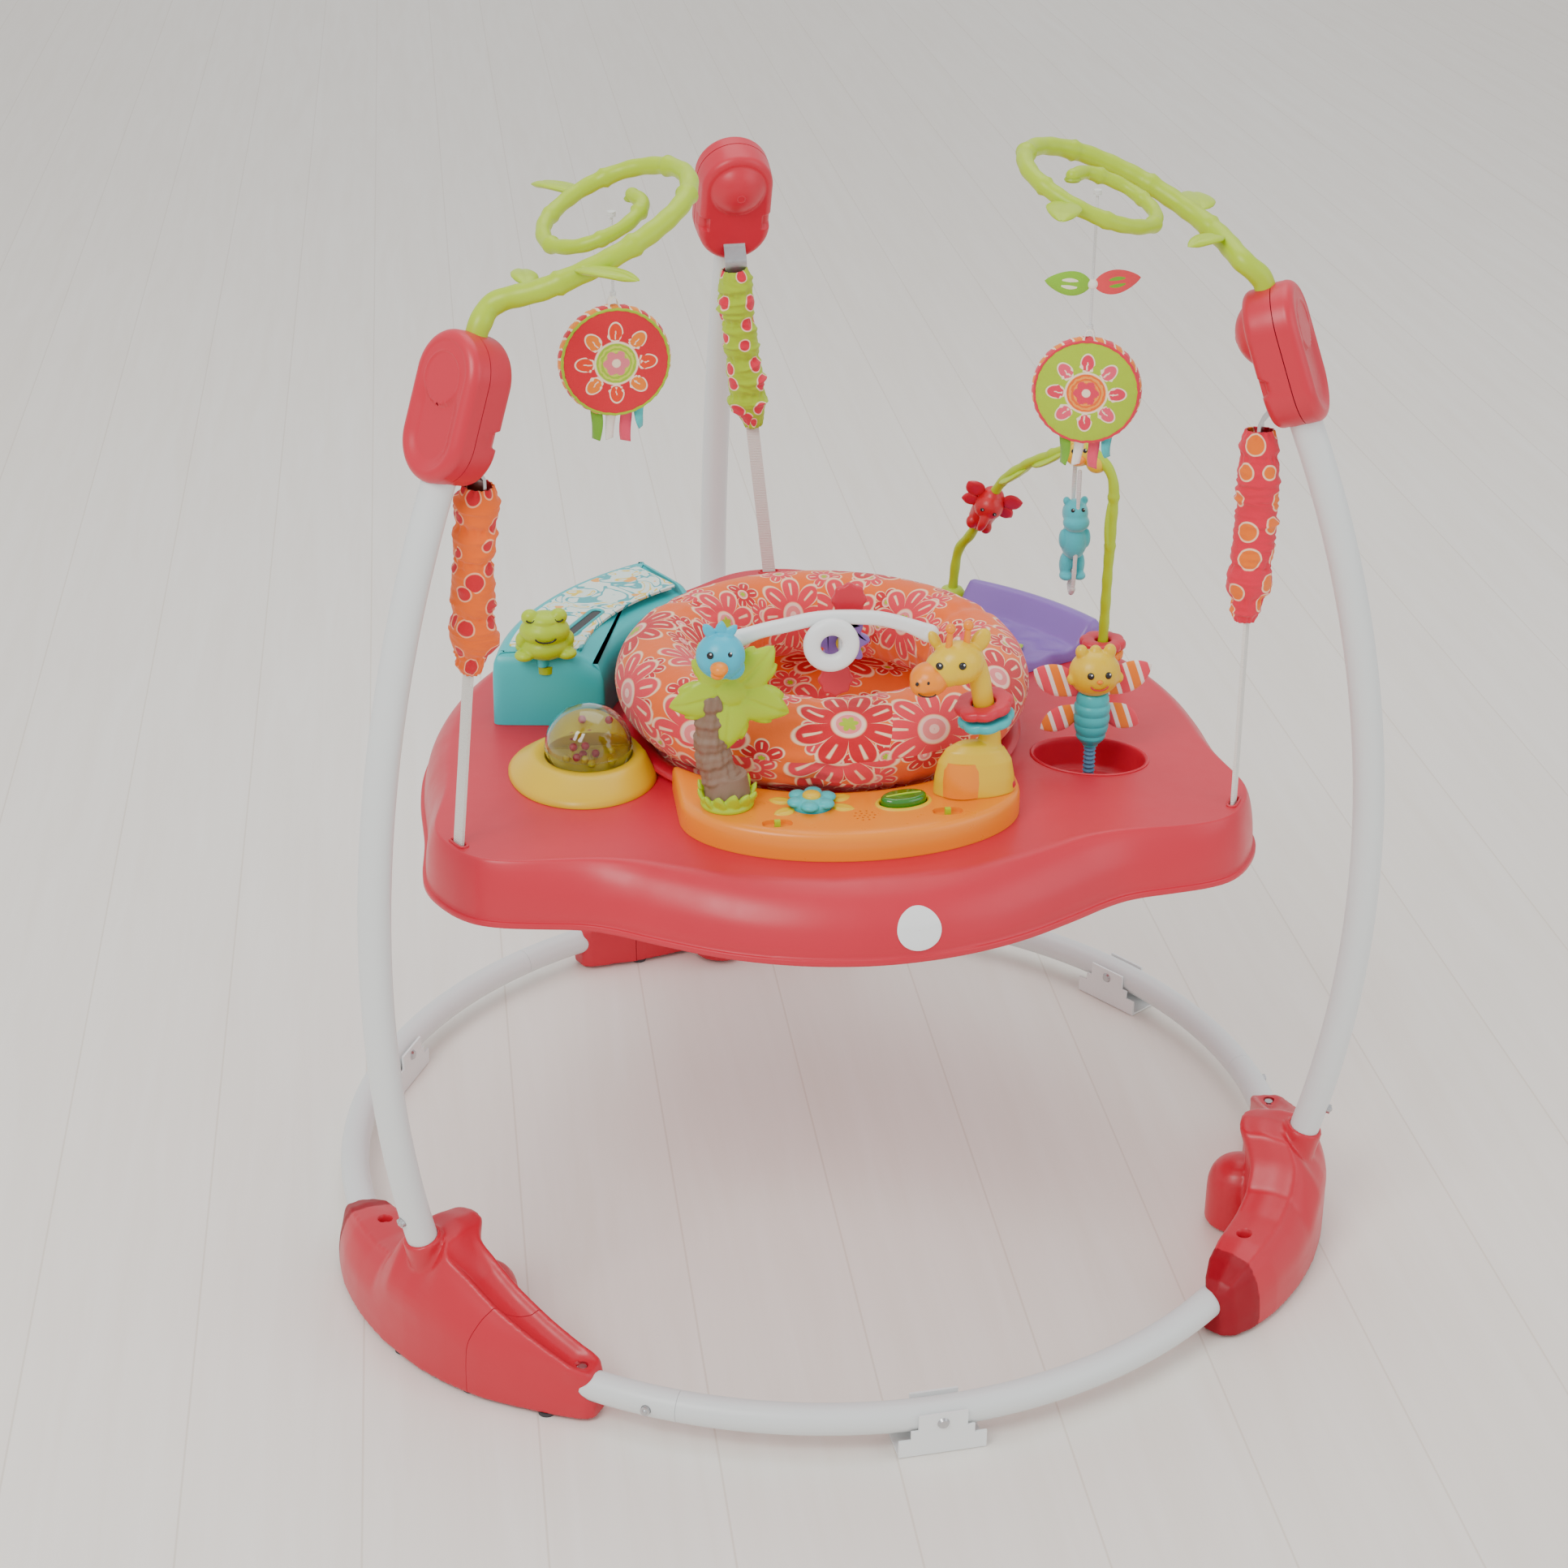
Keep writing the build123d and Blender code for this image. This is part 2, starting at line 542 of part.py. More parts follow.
hx, hy = vine_xy("right", 0, 0)
with BuildPart() as leaf_pair:
    with BuildSketch(front(hy + 2.0, hx, 843.0)):
        with BuildLine():
            ThreePointArc((-38, 4), (-20, 15), (0, 3))
            ThreePointArc((0, 3), (20, 15), (38, 4))
            ThreePointArc((38, 4), (22, -13), (0, -3))
            ThreePointArc((0, -3), (-22, -13), (-38, 4))
        make_face()
    extrude(amount=4)
    drill(flat(820, hx, hy), 1.25, 50)
save(leaf_pair.part, "hanging_leaf_pair")

# ------------------------------------------------------------------ tray
K = [0, 4, 7, 10, 13, 17, 22, 30, 40, 50, 60]
RIM_FRONT = [378, 376, 368, 352, 337, 320, 313, 312, 315, 317, 318]
RIM_SIDE = [378, 376, 369, 361, 353, 346, 342, 340, 340, 340, 340]
TOP_FRONT = [369.5, 367, 354, 334, 314, 296, 284, 279, 277, 276, 275]
TOP_SIDE = [369.5, 367, 358, 346, 336, 326, 319, 314, 312, 311, 310]


def lookup(tab, d):
    for i in range(len(K) - 1):
        if K[i] <= d <= K[i + 1]:
            f = (d - K[i]) / (K[i + 1] - K[i])
            return tab[i] * (1 - f) + tab[i + 1] * f
    return tab[-1]


def tray_outline(mix, grow, z):
    """closed outline between the rim (mix 0) and the deck edge (mix 1), grown outwards"""
    pts = []
    for i in range(90):
        th = i * 4.0 + 2.0
        d = min(abs((th - c + 180) % 360 - 180) for c in LOBE.values())
        t = (th + 180) % 360 - 180
        f = -150 < t < -30
        r = lookup(RIM_FRONT if f else RIM_SIDE, d) * (1 - mix) + lookup(TOP_FRONT if f else TOP_SIDE, d) * mix + grow
        pts.append((r * cos(radians(th)), r * sin(radians(th))))
    with BuildSketch(flat(z)) as outline:
        with BuildLine():
            Polyline(*pts, close=True)
        make_face()
    return outline.sketch


with BuildPart() as tray_cavity:
    for (m0, z0), (m1, z1) in (((0, RIM - 1), (0.05, 395)), ((0.05, 395), (0.35, 416)), ((0.35, 416), (1.0, DECK - WALL))):
        loft([tray_outline(m0, -3, z0).face(), tray_outline(m1, -3, z1).face()], ruled=True)
with BuildPart() as tray:
    extrude(tray_outline(0, 3, RIM), amount=5)
    for (m0, z0), (m1, z1) in (((0, RIM + 4), (0.05, 395)), ((0.05, 395), (0.35, 417)), ((0.35, 417), (0.75, 429.5)), ((0.75, 429.5), (1.0, DECK))):
        loft([tray_outline(m0, 0, z0).face(), tray_outline(m1, 0, z1).face()], ruled=True)
    add(tray_cavity.part, mode=Mode.SUBTRACT)
    with BuildSketch(flat(402)):
        Circle(WELL_R + 3)
    extrude(amount=DECK - 402)
    with BuildSketch(flat(380)):
        Circle(WELL_R)
    extrude(amount=80, mode=Mode.SUBTRACT)
    # bee recess: an oval cup
    with BuildSketch(flat(402, *CUP, rot=-20)):
        Ellipse(50, 38)
    extrude(amount=DECK - 402)
    with BuildSketch(flat(404.5, *CUP, rot=-20)):
        Ellipse(47.5, 35.5)
    extrude(amount=40, mode=Mode.SUBTRACT)
    # opening below the bead ball
    drill(flat(420, BALL[0], BALL[1]), 35.0, 30)
    # strap slots
    for side in LOBE:
        with BuildSketch(Plane(origin=susp(side, DECK).origin - Vector(0, 0, 8), x_dir=(cos(radians(LOBE[side])), sin(radians(LOBE[side])), 0), z_dir=(0, 0, 1))):
            Rectangle(5, 17)
        extrude(amount=20, mode=Mode.SUBTRACT)
    # screw bosses for the retainer ring
    with BuildSketch(flat(395)):
        with PolarLocations(176, 6, start_angle=10):
            Circle(5)
    extrude(amount=DECK - 395 - 1)
    with BuildSketch(flat(394)):
        with PolarLocations(176, 6, start_angle=10):
            Circle(1.6)
    extrude(amount=16, mode=Mode.SUBTRACT)
save(tray.part, "tray_shell")

with BuildPart() as retainer:
    with BuildSketch(flat(391.5)):
        Circle(184)
        Circle(156.6, mode=Mode.SUBTRACT)
        with PolarLocations(176, 6, start_angle=10):
            Circle(2.1, mode=Mode.SUBTRACT)
    extrude(amount=3.4)
    for k in range(6):
        drill(flat(387.5, 176 * cos(radians(10 + 60 * k)), 176 * sin(radians(10 + 60 * k))), 3.4, 3.9, mode=Mode.ADD)
        drill(flat(391.5, 176 * cos(radians(10 + 60 * k)), 176 * sin(radians(10 + 60 * k))), 1.5, 14, mode=Mode.ADD)
save(retainer.part, "tray_retainer_ring")

# ------------------------------------------------------------------ seat: turning ring, bolster, sling
with BuildPart() as seat_ring:
    with BuildSketch(upright(0)):
        with BuildLine():
            Polyline((150, 396), (160.4, 396), (160.4, 400.4), (157, 402.5), (157, 433.6), (165, 433.6), (165, 436.8), (150, 436.8), close=True)
        make_face()
    revolve(axis=AX)
save(seat_ring.part, "seat_ring")

with BuildPart() as cushion:
    with BuildSketch(upright(0)):
        with Locations((BOLSTER_R, BOLSTER_Z)):
            Ellipse(BOLSTER_S, BOLSTER_S)
        with Locations((140, 446)):
            Rectangle(34, 18)
    revolve(axis=AX)
save(cushion.part, "seat_cushion")

with BuildPart() as sling:
    with BuildSketch(upright(0)):
        with BuildLine():
            Polyline((149.6, 436.5), (149.6, 418), (128, 398), (104, 360), (78, 336), (0, 328), (0, 332), (76, 340), (100, 363), (124, 401), (145.6, 421), (145.6, 436.5), close=True)
        make_face()
    revolve(axis=AX)
    for sx in (-1, 1):
        drill(aim(V(sx * 20, -20, 372), (sx * 0.62, -0.72, -0.31)), 42.0, 150)
save(sling.part, "seat_sling")

# ------------------------------------------------------------------ pond panel
with BuildPart() as pond:
    with BuildSketch(upright(25)):
        with BuildLine():
            Polyline((186, DECK + 0.1), (305, DECK + 0.1), (305, 460), (299, 466), (292, 464), (276, 444), (202, 442), (192, 450), (186, 448), close=True)
        make_face()
    revolve(axis=AX, revolution_arc=30)
save(pond.part, "pond_panel")

# ------------------------------------------------------------------ music base
def music_outline(z, inset):
    with BuildSketch(flat(z, 0, -165)) as outline:
        Ellipse(138 - inset, 84 - inset)
        with Locations((0, 90)):
            Rectangle(400, 180, mode=Mode.SUBTRACT)
        with Locations((0, 165)):
            Circle(169.5 + inset, mode=Mode.SUBTRACT)
    return outline.sketch


FLOWER, LEAF_B = (-35.0, -192.0), (38.0, -196.0)
SW_L, SW_R = (-66.0, -222.0), (70.0, -216.0)
with BuildPart() as music:
    extrude(music_outline(435.6, 0), amount=MUSIC_TOP - 435.6)
    extrude(music_outline(435.6, 2.5), amount=MUSIC_TOP - 435.6 - 2.5, mode=Mode.SUBTRACT)
    drill(flat(450, *FLOWER), 17.4, 10)
    with BuildSketch(flat(450, *LEAF_B, rot=12)):
        Ellipse(19.4, 11.4)
    extrude(amount=10, mode=Mode.SUBTRACT)
    for p in (SW_L, SW_R):
        with BuildSketch(flat(450, *p)):
            SlotOverall(15, 4.6)
        extrude(amount=10, mode=Mode.SUBTRACT)
    with BuildSketch(flat(450, 4, -216)):
        with PolarLocations(4, 6):
            Circle(0.9)
        with PolarLocations(8, 10):
            Circle(0.9)
        Circle(0.9)
    extrude(amount=10, mode=Mode.SUBTRACT)
save(music.part, "music_base")

with BuildPart() as music_bottom:
    extrude(music_outline(DECK + 0.1, 0.4), amount=2.4)
    with BuildSketch(flat(DECK + 2.5, 78, -194)):
        Rectangle(50, 36)
        Rectangle(47.5, 33.5, mode=Mode.SUBTRACT)
    extrude(amount=6)
save(music_bottom.part, "music_base_bottom")

with BuildPart() as electronics:
    with BuildSketch(flat(436.0, -30, -200)):
        Rectangle(78, 40)
    extrude(amount=1.6)
    with BuildSketch(flat(438.0, 4, -216)):
        Circle(13)
    extrude(amount=8)
    with BuildSketch(flat(446.0, 4, -216)):
        Circle(9)
    extrude(amount=4)
    for p in (FLOWER, (LEAF_B[0] - 1, LEAF_B[1])):
        if p is FLOWER:
            with BuildSketch(flat(437.6, *p)):
                Rectangle(6, 6)
            extrude(amount=3.6)
save(electronics.part, "music_electronics")

with BuildPart() as batteries:
    for k in range(3):
        pl = Plane(origin=V(78 - 23, -194 + (k - 1) * 10.8, 441.2), z_dir=(1, 0, 0))
        with BuildSketch(pl):
            Circle(5.2)
        extrude(amount=43.8)
        with BuildSketch(pl.offset(43.8)):
            Circle(1.9)
        extrude(amount=0.8)
save(batteries.part, "music_batteries")

with BuildPart() as flower:
    with BuildSketch(flat(447, *FLOWER)):
        Circle(17.0)
    extrude(amount=12.6)
    with BuildSketch(flat(MUSIC_TOP + 0.5 + 2.2, *FLOWER)):
        with PolarLocations(13.5, 6):
            Circle(7.2)
        Circle(12)
    extrude(amount=5.0)
    with BuildSketch(flat(MUSIC_TOP + 7.0, *FLOWER)):
        Circle(7.5)
    extrude(amount=3.4)
    with BuildSketch(flat(444.2, *FLOWER)):
        Circle(3)
    extrude(amount=3)
save(flower.part, "flower_button")

with BuildPart() as leaf_b:
    with BuildSketch(flat(448.4, *LEAF_B, rot=12)):
        Ellipse(19.0, 11.0)
    extrude(amount=12.0)
    with BuildSketch(flat(460.4, *LEAF_B, rot=12)):
        Ellipse(15.5, 8.2)
    extrude(amount=2.6)
save(leaf_b.part, "leaf_button")

for nm, p in (("volume_switch", SW_L), ("mode_switch", SW_R)):
    with BuildPart() as sw:
        with BuildSketch(flat(450.5, *p)):
            Rectangle(8.0, 9.0)
        extrude(amount=2.4)
        with BuildSketch(flat(452.5, *p)):
            Rectangle(4.6, 4.0)
        extrude(amount=6.6)
    save(sw.part, nm)

# ------------------------------------------------------------------ palm tree, toy bar, spinner
with BuildPart() as palm:
    with BuildSketch(flat(MUSIC_TOP, -101, -183)):
        Circle(22)
    with BuildSketch(flat(MUSIC_TOP + 14, -102, -183)):
        Circle(19)
    loft()
    with BuildSketch(flat(MUSIC_TOP + 12, -102, -183)):
        Ellipse(17, 13)
    with BuildSketch(flat(500, -113, -182)):
        Ellipse(15, 12)
    with BuildSketch(flat(546, -114, -183)):
        Ellipse(12, 10)
    loft()
    with BuildSketch(front(-181, -98, 555)):
        with BuildLine():
            pts = []
            for k in range(5):
                ang = 72 * k - 96
                for da, rr in ((-22, 30), (0, 50), (22, 30), (36, 19)):
                    pts.append((rr * cos(radians(ang + da)), rr * sin(radians(ang + da))))
            Polyline(*pts, close=True)
        make_face()
    extrude(amount=11)
    ball(V(-108, -203, 593), 20)
    with BuildSketch(front(-184, -108, 588)):
        Circle(12)
    extrude(amount=10)
save(palm.part, "palm_tree")

HUB = (-20.0, -186.0, 590.0)
SPIN_Z = 584.0
with BuildPart() as bar:
    with BuildSketch(front(-171.5)):
        with BuildLine():
            FilletPolyline((-93, 594), (-55, 604), (-19, 609), (20, 606), (58, 592), radius=60)
        trace(line_width=11)
    extrude(amount=9)
    with BuildSketch(front(-180, HUB[0], HUB[2])):
        Circle(22)
        Circle(8.5, mode=Mode.SUBTRACT)
    extrude(amount=11)
    with BuildSketch(front(-166.5, -8, SPIN_Z)):
        Circle(2.9)
    extrude(amount=16)
    with BuildSketch(front(-158.6, -8, SPIN_Z)):
        Circle(2.9)
    extrude(amount=8)
    with BuildSketch(front(-157.0, -8, SPIN_Z)):
        Circle(5.2)
    extrude(amount=1.6)
    with BuildSketch(front(-173.5, -8, 0)):
        with Locations((0, 592)):
            Rectangle(9, 26)
    extrude(amount=6)
save(bar.part, "toy_bar")

with BuildPart() as spinner:
    with BuildSketch(front(-159.2, -8, SPIN_Z)):
        with PolarLocations(34, 2, start_angle=82):
            Circle(12.5)
        Rectangle(12, 66)
    extrude(amount=6.0)
    with BuildSketch(front(-159.0, -8, SPIN_Z)):
        with BuildLine():
            pts = []
            for k in range(16):
                rr = 21 if k % 2 else 15
                pts.append((rr * cos(radians(22.5 * k)), rr * sin(radians(22.5 * k))))
            Polyline(*pts, close=True)
        make_face()
    extrude(amount=6.6)
    drill(front(-157.0, -8, SPIN_Z), 3.0, 12)
save(spinner.part, "flower_spinner")

# ------------------------------------------------------------------ giraffe and its neck rings
NB, NT = Vector(*V(109, -180, 500)), Vector(*V(97, -184, 560))
NECK = (NT - NB).normalized()
with BuildPart() as giraffe:
    with BuildSketch(flat(MUSIC_TOP, 97, -183)):
        Ellipse(34, 15)
    extrude(amount=44, taper=12)
    with BuildSketch(aim(NB - NECK * 9, NECK)):
        Circle(8.5)
    extrude(amount=72)
    with BuildSketch(front(-170, 80, 572)):
        Ellipse(22, 19)
    extrude(amount=36)
    with BuildSketch(front(-178, 55, 562)):
        Ellipse(16, 15)
    extrude(amount=32)
    with BuildSketch(flat(585, 84, -188)):
        Circle(4)
    extrude(amount=20)
save(giraffe.part, "giraffe")

with BuildPart() as neck_rings:
    for c, rr in ((28.0, 17), (16.0, 16)):
        with BuildSketch(aim(NB + NECK * c, NECK)):
            Circle(22)
            with PolarLocations(rr + 4, 8):
                Circle(7)
            Circle(9.3, mode=Mode.SUBTRACT)
        extrude(amount=8.5)
save(neck_rings.part, "neck_rings")

# ------------------------------------------------------------------ bead ball and its bezel
with BuildPart() as bezel:
    with BuildSketch(flat(DECK + 0.1, BALL[0] - 4, BALL[1] - 6)):
        Ellipse(60, 64)
    with BuildSketch(flat(450, BALL[0], BALL[1])):
        Ellipse(46, 46)
    loft()
    drill(flat(DECK - 2, BALL[0], BALL[1]), BALL[3] + 0.8, 30)
    drill(flat(DECK - 2), 168.0, 30)
save(bezel.part, "ball_bezel")

with BuildPart() as bead_ball:
    ball(V(*BALL[:3]), BALL[3])
    ball(V(*BALL[:3]), BALL[3] - 1.6, mode=Mode.SUBTRACT)
    with BuildSketch(Plane(origin=V(BALL[0], BALL[1], BALL[2]), z_dir=(1, 0, 0))):
        Circle(2.2)
    extrude(amount=BALL[3] - 0.6, both=True)
    with BuildSketch(Plane(origin=V(BALL[0], BALL[1], BALL[2]), z_dir=(1, 0, 0))):
        Rectangle(1.6, 40)
        Rectangle(40, 1.6)
    extrude(amount=20, both=True)
    for dx, dy, dz in ((10, 12, -10), (-10, 13, -9), (12, -12, -8), (-12, -11, -11), (3, 12, 9), (-4, -13, 10)):
        ball(V(BALL[0] + dx, BALL[1] + dy, BALL[2] + dz), 5.5)
save(bead_ball.part, "bead_ball")

# ------------------------------------------------------------------ frog slider unit
FROG0 = (-232.0, 36.0)
FROG_D = (0.5, 0.866)
with BuildPart() as slide_unit:
    with BuildSketch(upright(117)):
        with BuildLine():
            Polyline((182, DECK + 0.1), (277, DECK + 0.1), (281, 490), (276, 498), (214, 498), (190, 484), (182, 470), close=True)
        make_face()
    revolve(axis=AX, revolution_arc=56)
    with BuildSketch(flat(484, FROG0[0] + 0.5 * 46, FROG0[1] + 0.866 * 46, rot=60)):
        SlotOverall(112, 8.4)
    extrude(amount=30, mode=Mode.SUBTRACT)
    with BuildSketch(flat(480, FROG0[0] + 0.5 * 46, FROG0[1] + 0.866 * 46, rot=60)):
        SlotOverall(119, 15.4)
    extrude(amount=9, mode=Mode.SUBTRACT)
save(slide_unit.part, "slide_unit")

with BuildPart() as frog:
    with BuildSketch(flat(480.6, *FROG0)):
        Circle(7.2)
    extrude(amount=7.6)
    with BuildSketch(flat(488, *FROG0)):
        Circle(3.7)
    extrude(amount=16)
    with BuildSketch(flat(498.6, *FROG0, rot=60)):
        Ellipse(24, 20)
    with BuildSketch(flat(514, *FROG0, rot=60)):
        Ellipse(25, 22)
    with BuildSketch(flat(530, *FROG0, rot=60)):
        Ellipse(16, 15)
    loft()
    for s in (-1, 1):
        ball(V(FROG0[0] + s * 12, FROG0[1] + 2, 530), 7.5)
save(frog.part, "frog")

# ------------------------------------------------------------------ bee on its flexible stalk
with BuildPart() as bee_stalk:
    with BuildSketch(flat(405.0, *CUP)):
        Circle(9)
    extrude(amount=4)
    with BuildSketch(flat(409.0, *CUP)):
        Circle(4.2)
    extrude(amount=34)
save(bee_stalk.part, "bee_stalk")

with BuildPart() as bee:
    with BuildSketch(flat(443.4, *CUP)):
        Circle(6.5)
    extrude(amount=6)
    for k, z in enumerate((456, 468, 480)):
        ball(V(CUP[0], CUP[1], z), 11.5 + k)
    ball(V(CUP[0], CUP[1] - 1, 510), 22)
    for s in (-1, 1):
        ball(V(CUP[0] + s * 12, CUP[1] - 1, 530), 5)
        with BuildSketch(front(CUP[1] + 7, CUP[0], 484)):
            with BuildLine():
                Polyline((s * 4, 14), (s * 34, 34), (s * 48, 26), (s * 47, 4), (s * 38, -30), (s * 26, -29), (s * 4, -16), close=True)
            make_face()
        extrude(amount=4)
save(bee.part, "bee_toy")

# ------------------------------------------------------------------ leaf arch over the right of the tray, with its rings, elephant and hippo
ARCH = [(265, 86, DECK + 0.2), (266, 86, 537), (268, 88, 616), (240, 110, 640), (206, 165, 604), (190, 198, 574), (174, 234, 516), (164, 250, 490), (160, 252, 446.5)]
with BuildPart() as arch:
    with BuildLine() as path:
        FilletPolyline(*[V(*p) for p in ARCH], radius=7)
    with BuildSketch(Plane(origin=path.line @ 0, z_dir=path.line % 0)):
        Circle(4.6)
    sweep()
    with BuildSketch(flat(DECK + 0.2, 265, 86)):
        Circle(15)
    extrude(amount=14)
    ball(V(240, 110, 634), 15)
    ball(V(254, 100, 626), 10)
    for (x, y, z), d, ln, w in (((267, 87, 575), (0, 0.05, 1), 62, 17), ((222, 138, 620), (-0.5, 0.75, -0.55), 54, 30), ((199, 180, 590), (-0.45, 0.8, -0.6), 48, 30)):
        with BuildSketch(Plane(origin=V(x, y, z), x_dir=d, z_dir=Vector(*d).cross(Vector(1, 1, 0.2)).normalized())):
            with BuildLine():
                ThreePointArc((-ln / 2, 0), (0, w / 2), (ln / 2, 0))
                ThreePointArc((ln / 2, 0), (0, -w / 2), (-ln / 2, 0))
            make_face()
        extrude(amount=2.5, both=True)
    with BuildSketch(flat(446.4, 160, 252)):
        Circle(12)
    extrude(amount=8)
save(arch.part, "arch_stem")

with BuildPart() as arch_ring:
    for z, rr in ((448.5, 19.0), (458.0, 20.5)):
        with BuildSketch(flat(z, 265.2, 86)):
            Circle(rr)
            Circle(6.6, mode=Mode.SUBTRACT)
        extrude(amount=9.0)
save(arch_ring.part, "arch_rings")

E0, E1 = Vector(*V(190, 198, 574)), Vector(*V(174, 234, 516))
ED = (E1 - E0).normalized()
EC = (E0 + E1) * 0.5
with BuildPart() as elephant:
    with BuildSketch(aim(EC - ED * 20, ED)):
        Circle(11)
    extrude(amount=40)
    wing = Plane(origin=EC, x_dir=Vector(0, 0, 1).cross(ED).normalized(), z_dir=Vector(0, 0, 1).cross(ED).normalized().cross(ED))
    with BuildSketch(wing.offset(-3.5)):
        with Locations((-16, 9), (16, 9), (-13, -9), (13, -9)):
            Circle(12.5)
    extrude(amount=7)
    drill(aim(EC - ED * 26, ED), 5.4, 52)
save(elephant.part, "elephant")

with BuildPart() as hippo:
    for s in (-1, 1):
        with BuildSketch(flat(505, 240, 112 + s * 9)):
            Circle(2.0)
        extrude(amount=113)
    with BuildSketch(flat(504, 240, 112)):
        Circle(3)
    extrude(amount=3)
    with BuildSketch(flat(515, 240, 112)):
        Ellipse(9.5, 13)
    with BuildSketch(flat(548, 240, 112)):
        Ellipse(12, 14.5)
    with BuildSketch(flat(592, 240, 112)):
        Ellipse(10, 13)
    loft()
    with BuildSketch(Plane(origin=V(240, 112 - 11, 505), z_dir=(0, 1, 0))):
        Circle(2.0)
    extrude(amount=22)
save(hippo.part, "hippo")
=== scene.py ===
import json
import math

import bmesh
import bpy
import numpy as np
from mathutils import Matrix, Vector

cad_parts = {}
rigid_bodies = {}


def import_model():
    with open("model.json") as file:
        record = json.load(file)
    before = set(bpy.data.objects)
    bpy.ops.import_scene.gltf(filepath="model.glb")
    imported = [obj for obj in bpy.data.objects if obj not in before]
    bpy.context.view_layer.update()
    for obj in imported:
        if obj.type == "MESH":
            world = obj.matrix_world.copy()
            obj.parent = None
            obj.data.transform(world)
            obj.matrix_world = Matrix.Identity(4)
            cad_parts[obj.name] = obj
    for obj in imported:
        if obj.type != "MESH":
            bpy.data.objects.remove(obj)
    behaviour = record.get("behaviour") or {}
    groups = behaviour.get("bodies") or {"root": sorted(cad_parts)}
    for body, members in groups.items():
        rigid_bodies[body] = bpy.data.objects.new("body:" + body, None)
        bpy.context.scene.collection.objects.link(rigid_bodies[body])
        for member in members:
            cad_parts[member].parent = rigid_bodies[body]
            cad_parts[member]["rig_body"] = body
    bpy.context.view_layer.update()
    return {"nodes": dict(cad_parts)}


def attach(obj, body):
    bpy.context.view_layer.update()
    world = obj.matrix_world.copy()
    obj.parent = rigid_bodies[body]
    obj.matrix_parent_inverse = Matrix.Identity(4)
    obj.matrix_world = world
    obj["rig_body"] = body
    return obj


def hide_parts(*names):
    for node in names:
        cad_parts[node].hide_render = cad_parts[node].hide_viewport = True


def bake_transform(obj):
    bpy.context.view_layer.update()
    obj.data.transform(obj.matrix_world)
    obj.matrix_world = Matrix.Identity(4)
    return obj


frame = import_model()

# ------------------------------------------------------------------ the model's own numbers (mm, about the ring's centre)
SX, SY = -4.207, -21.187
FOOT = {"left": 215.4, "right": -24.6, "back": 95.4}
LOBE = {"left": 210.0, "right": -30.0, "back": 90.0}
DECK, RIM = 433.0, 380.0
LC_R, LC_Z, LEG_R = -540.74, 349.71, 1008.75
HOUSE_R, HOUSE_Z, LEAN = 370.0, 801.0, 20.0
CUP = (216.0, -82.0)
BALL = (-203.0, -64.0, 457.0, 36.0)
MUSIC_TOP = 456.0
pi = math.pi
SHEETS = True


def rad(a):
    return a * pi / 180.0


def cs(a):
    return math.cos(rad(a)), math.sin(rad(a))


def arr(*p):
    return np.array(p, float)


def unit(v):
    v = np.asarray(v, float)
    return v / np.linalg.norm(v)


def pol(r, a, z):
    return arr(r * cs(a)[0], r * cs(a)[1], z)


def M(p):
    """mm about the ring's centre to metres in the shared frame"""
    return Vector(((p[0] + SX) / 1000, (p[1] + SY) / 1000, p[2] / 1000))


# ------------------------------------------------------------------ camera comes first; stage and light are set at the end
def camera():
    P = arr(-314.986, -2147.165, 1441.249)
    R = arr(0.99176982, -0.127893, 0.00600097)
    U = arr(0.05089757, 0.43683505, 0.89810054)
    W = arr(0.11748221, 0.89040357, -0.43974926)
    data = bpy.data.cameras.new("camera")
    data.sensor_width = 36.0
    data.lens = 3438.88 / 1932 * 36.0
    data.clip_start, data.clip_end = 0.05, 60
    cam = bpy.data.objects.new("camera", data)
    bpy.context.scene.collection.objects.link(cam)
    m = Matrix(((R[0], U[0], -W[0]), (R[1], U[1], -W[1]), (R[2], U[2], -W[2]))).to_4x4()
    m.translation = M(P)
    cam.matrix_world = m
    bpy.context.scene.camera = cam


camera()


def lin(c):
    out = []
    for x in c[:3]:
        x = x / 255.0
        out.append(x / 12.92 if x <= 0.04045 else ((x + 0.055) / 1.055) ** 2.4)
    top = max(max(out), 1e-4)
    return (*[top * (q / top) ** 1.32 for q in out], 1.0)


# ------------------------------------------------------------------ node helpers
class X:
    """a number socket, so that patterns read as sums"""

    def __init__(self, nt, s):
        self.nt, self.s = nt, s

    def op(self, kind, *others, clamp=False):
        n = self.nt.nodes.new("ShaderNodeMath")
        n.operation = kind
        n.use_clamp = clamp
        self.nt.links.new(self.s, n.inputs[0])
        for i, o in enumerate(others):
            if isinstance(o, X):
                self.nt.links.new(o.s, n.inputs[i + 1])
            else:
                n.inputs[i + 1].default_value = o
        return X(self.nt, n.outputs[0])

    def __add__(self, o):
        return self.op("ADD", o)

    def __sub__(self, o):
        return self.op("SUBTRACT", o)

    def __mul__(self, o):
        return self.op("MULTIPLY", o)

    def __truediv__(self, o):
        return self.op("DIVIDE", o)

    def sin(self):
        return self.op("SINE")

    def cos(self):
        return self.op("COSINE")

    def abs(self):
        return self.op("ABSOLUTE")

    def pw(self, k):
        return self.op("POWER", k)

    def frac(self):
        return self.op("FRACT")

    def floor(self):
        return self.op("FLOOR")

    def step(self, at, soft=0.02):
        """0 below at, 1 above it"""
        base = at if isinstance(at, X) else None
        d = self - at if base is None else self.op("SUBTRACT", base)
        return (d / soft).op("ADD", 0.5, clamp=True)

    def less(self, at, soft=0.02):
        d = self - at
        return (d * (-1.0 / soft)).op("ADD", 0.5, clamp=True)

    def minimum(self, o):
        return self.op("MINIMUM", o)

    def maximum(self, o):
        return self.op("MAXIMUM", o)


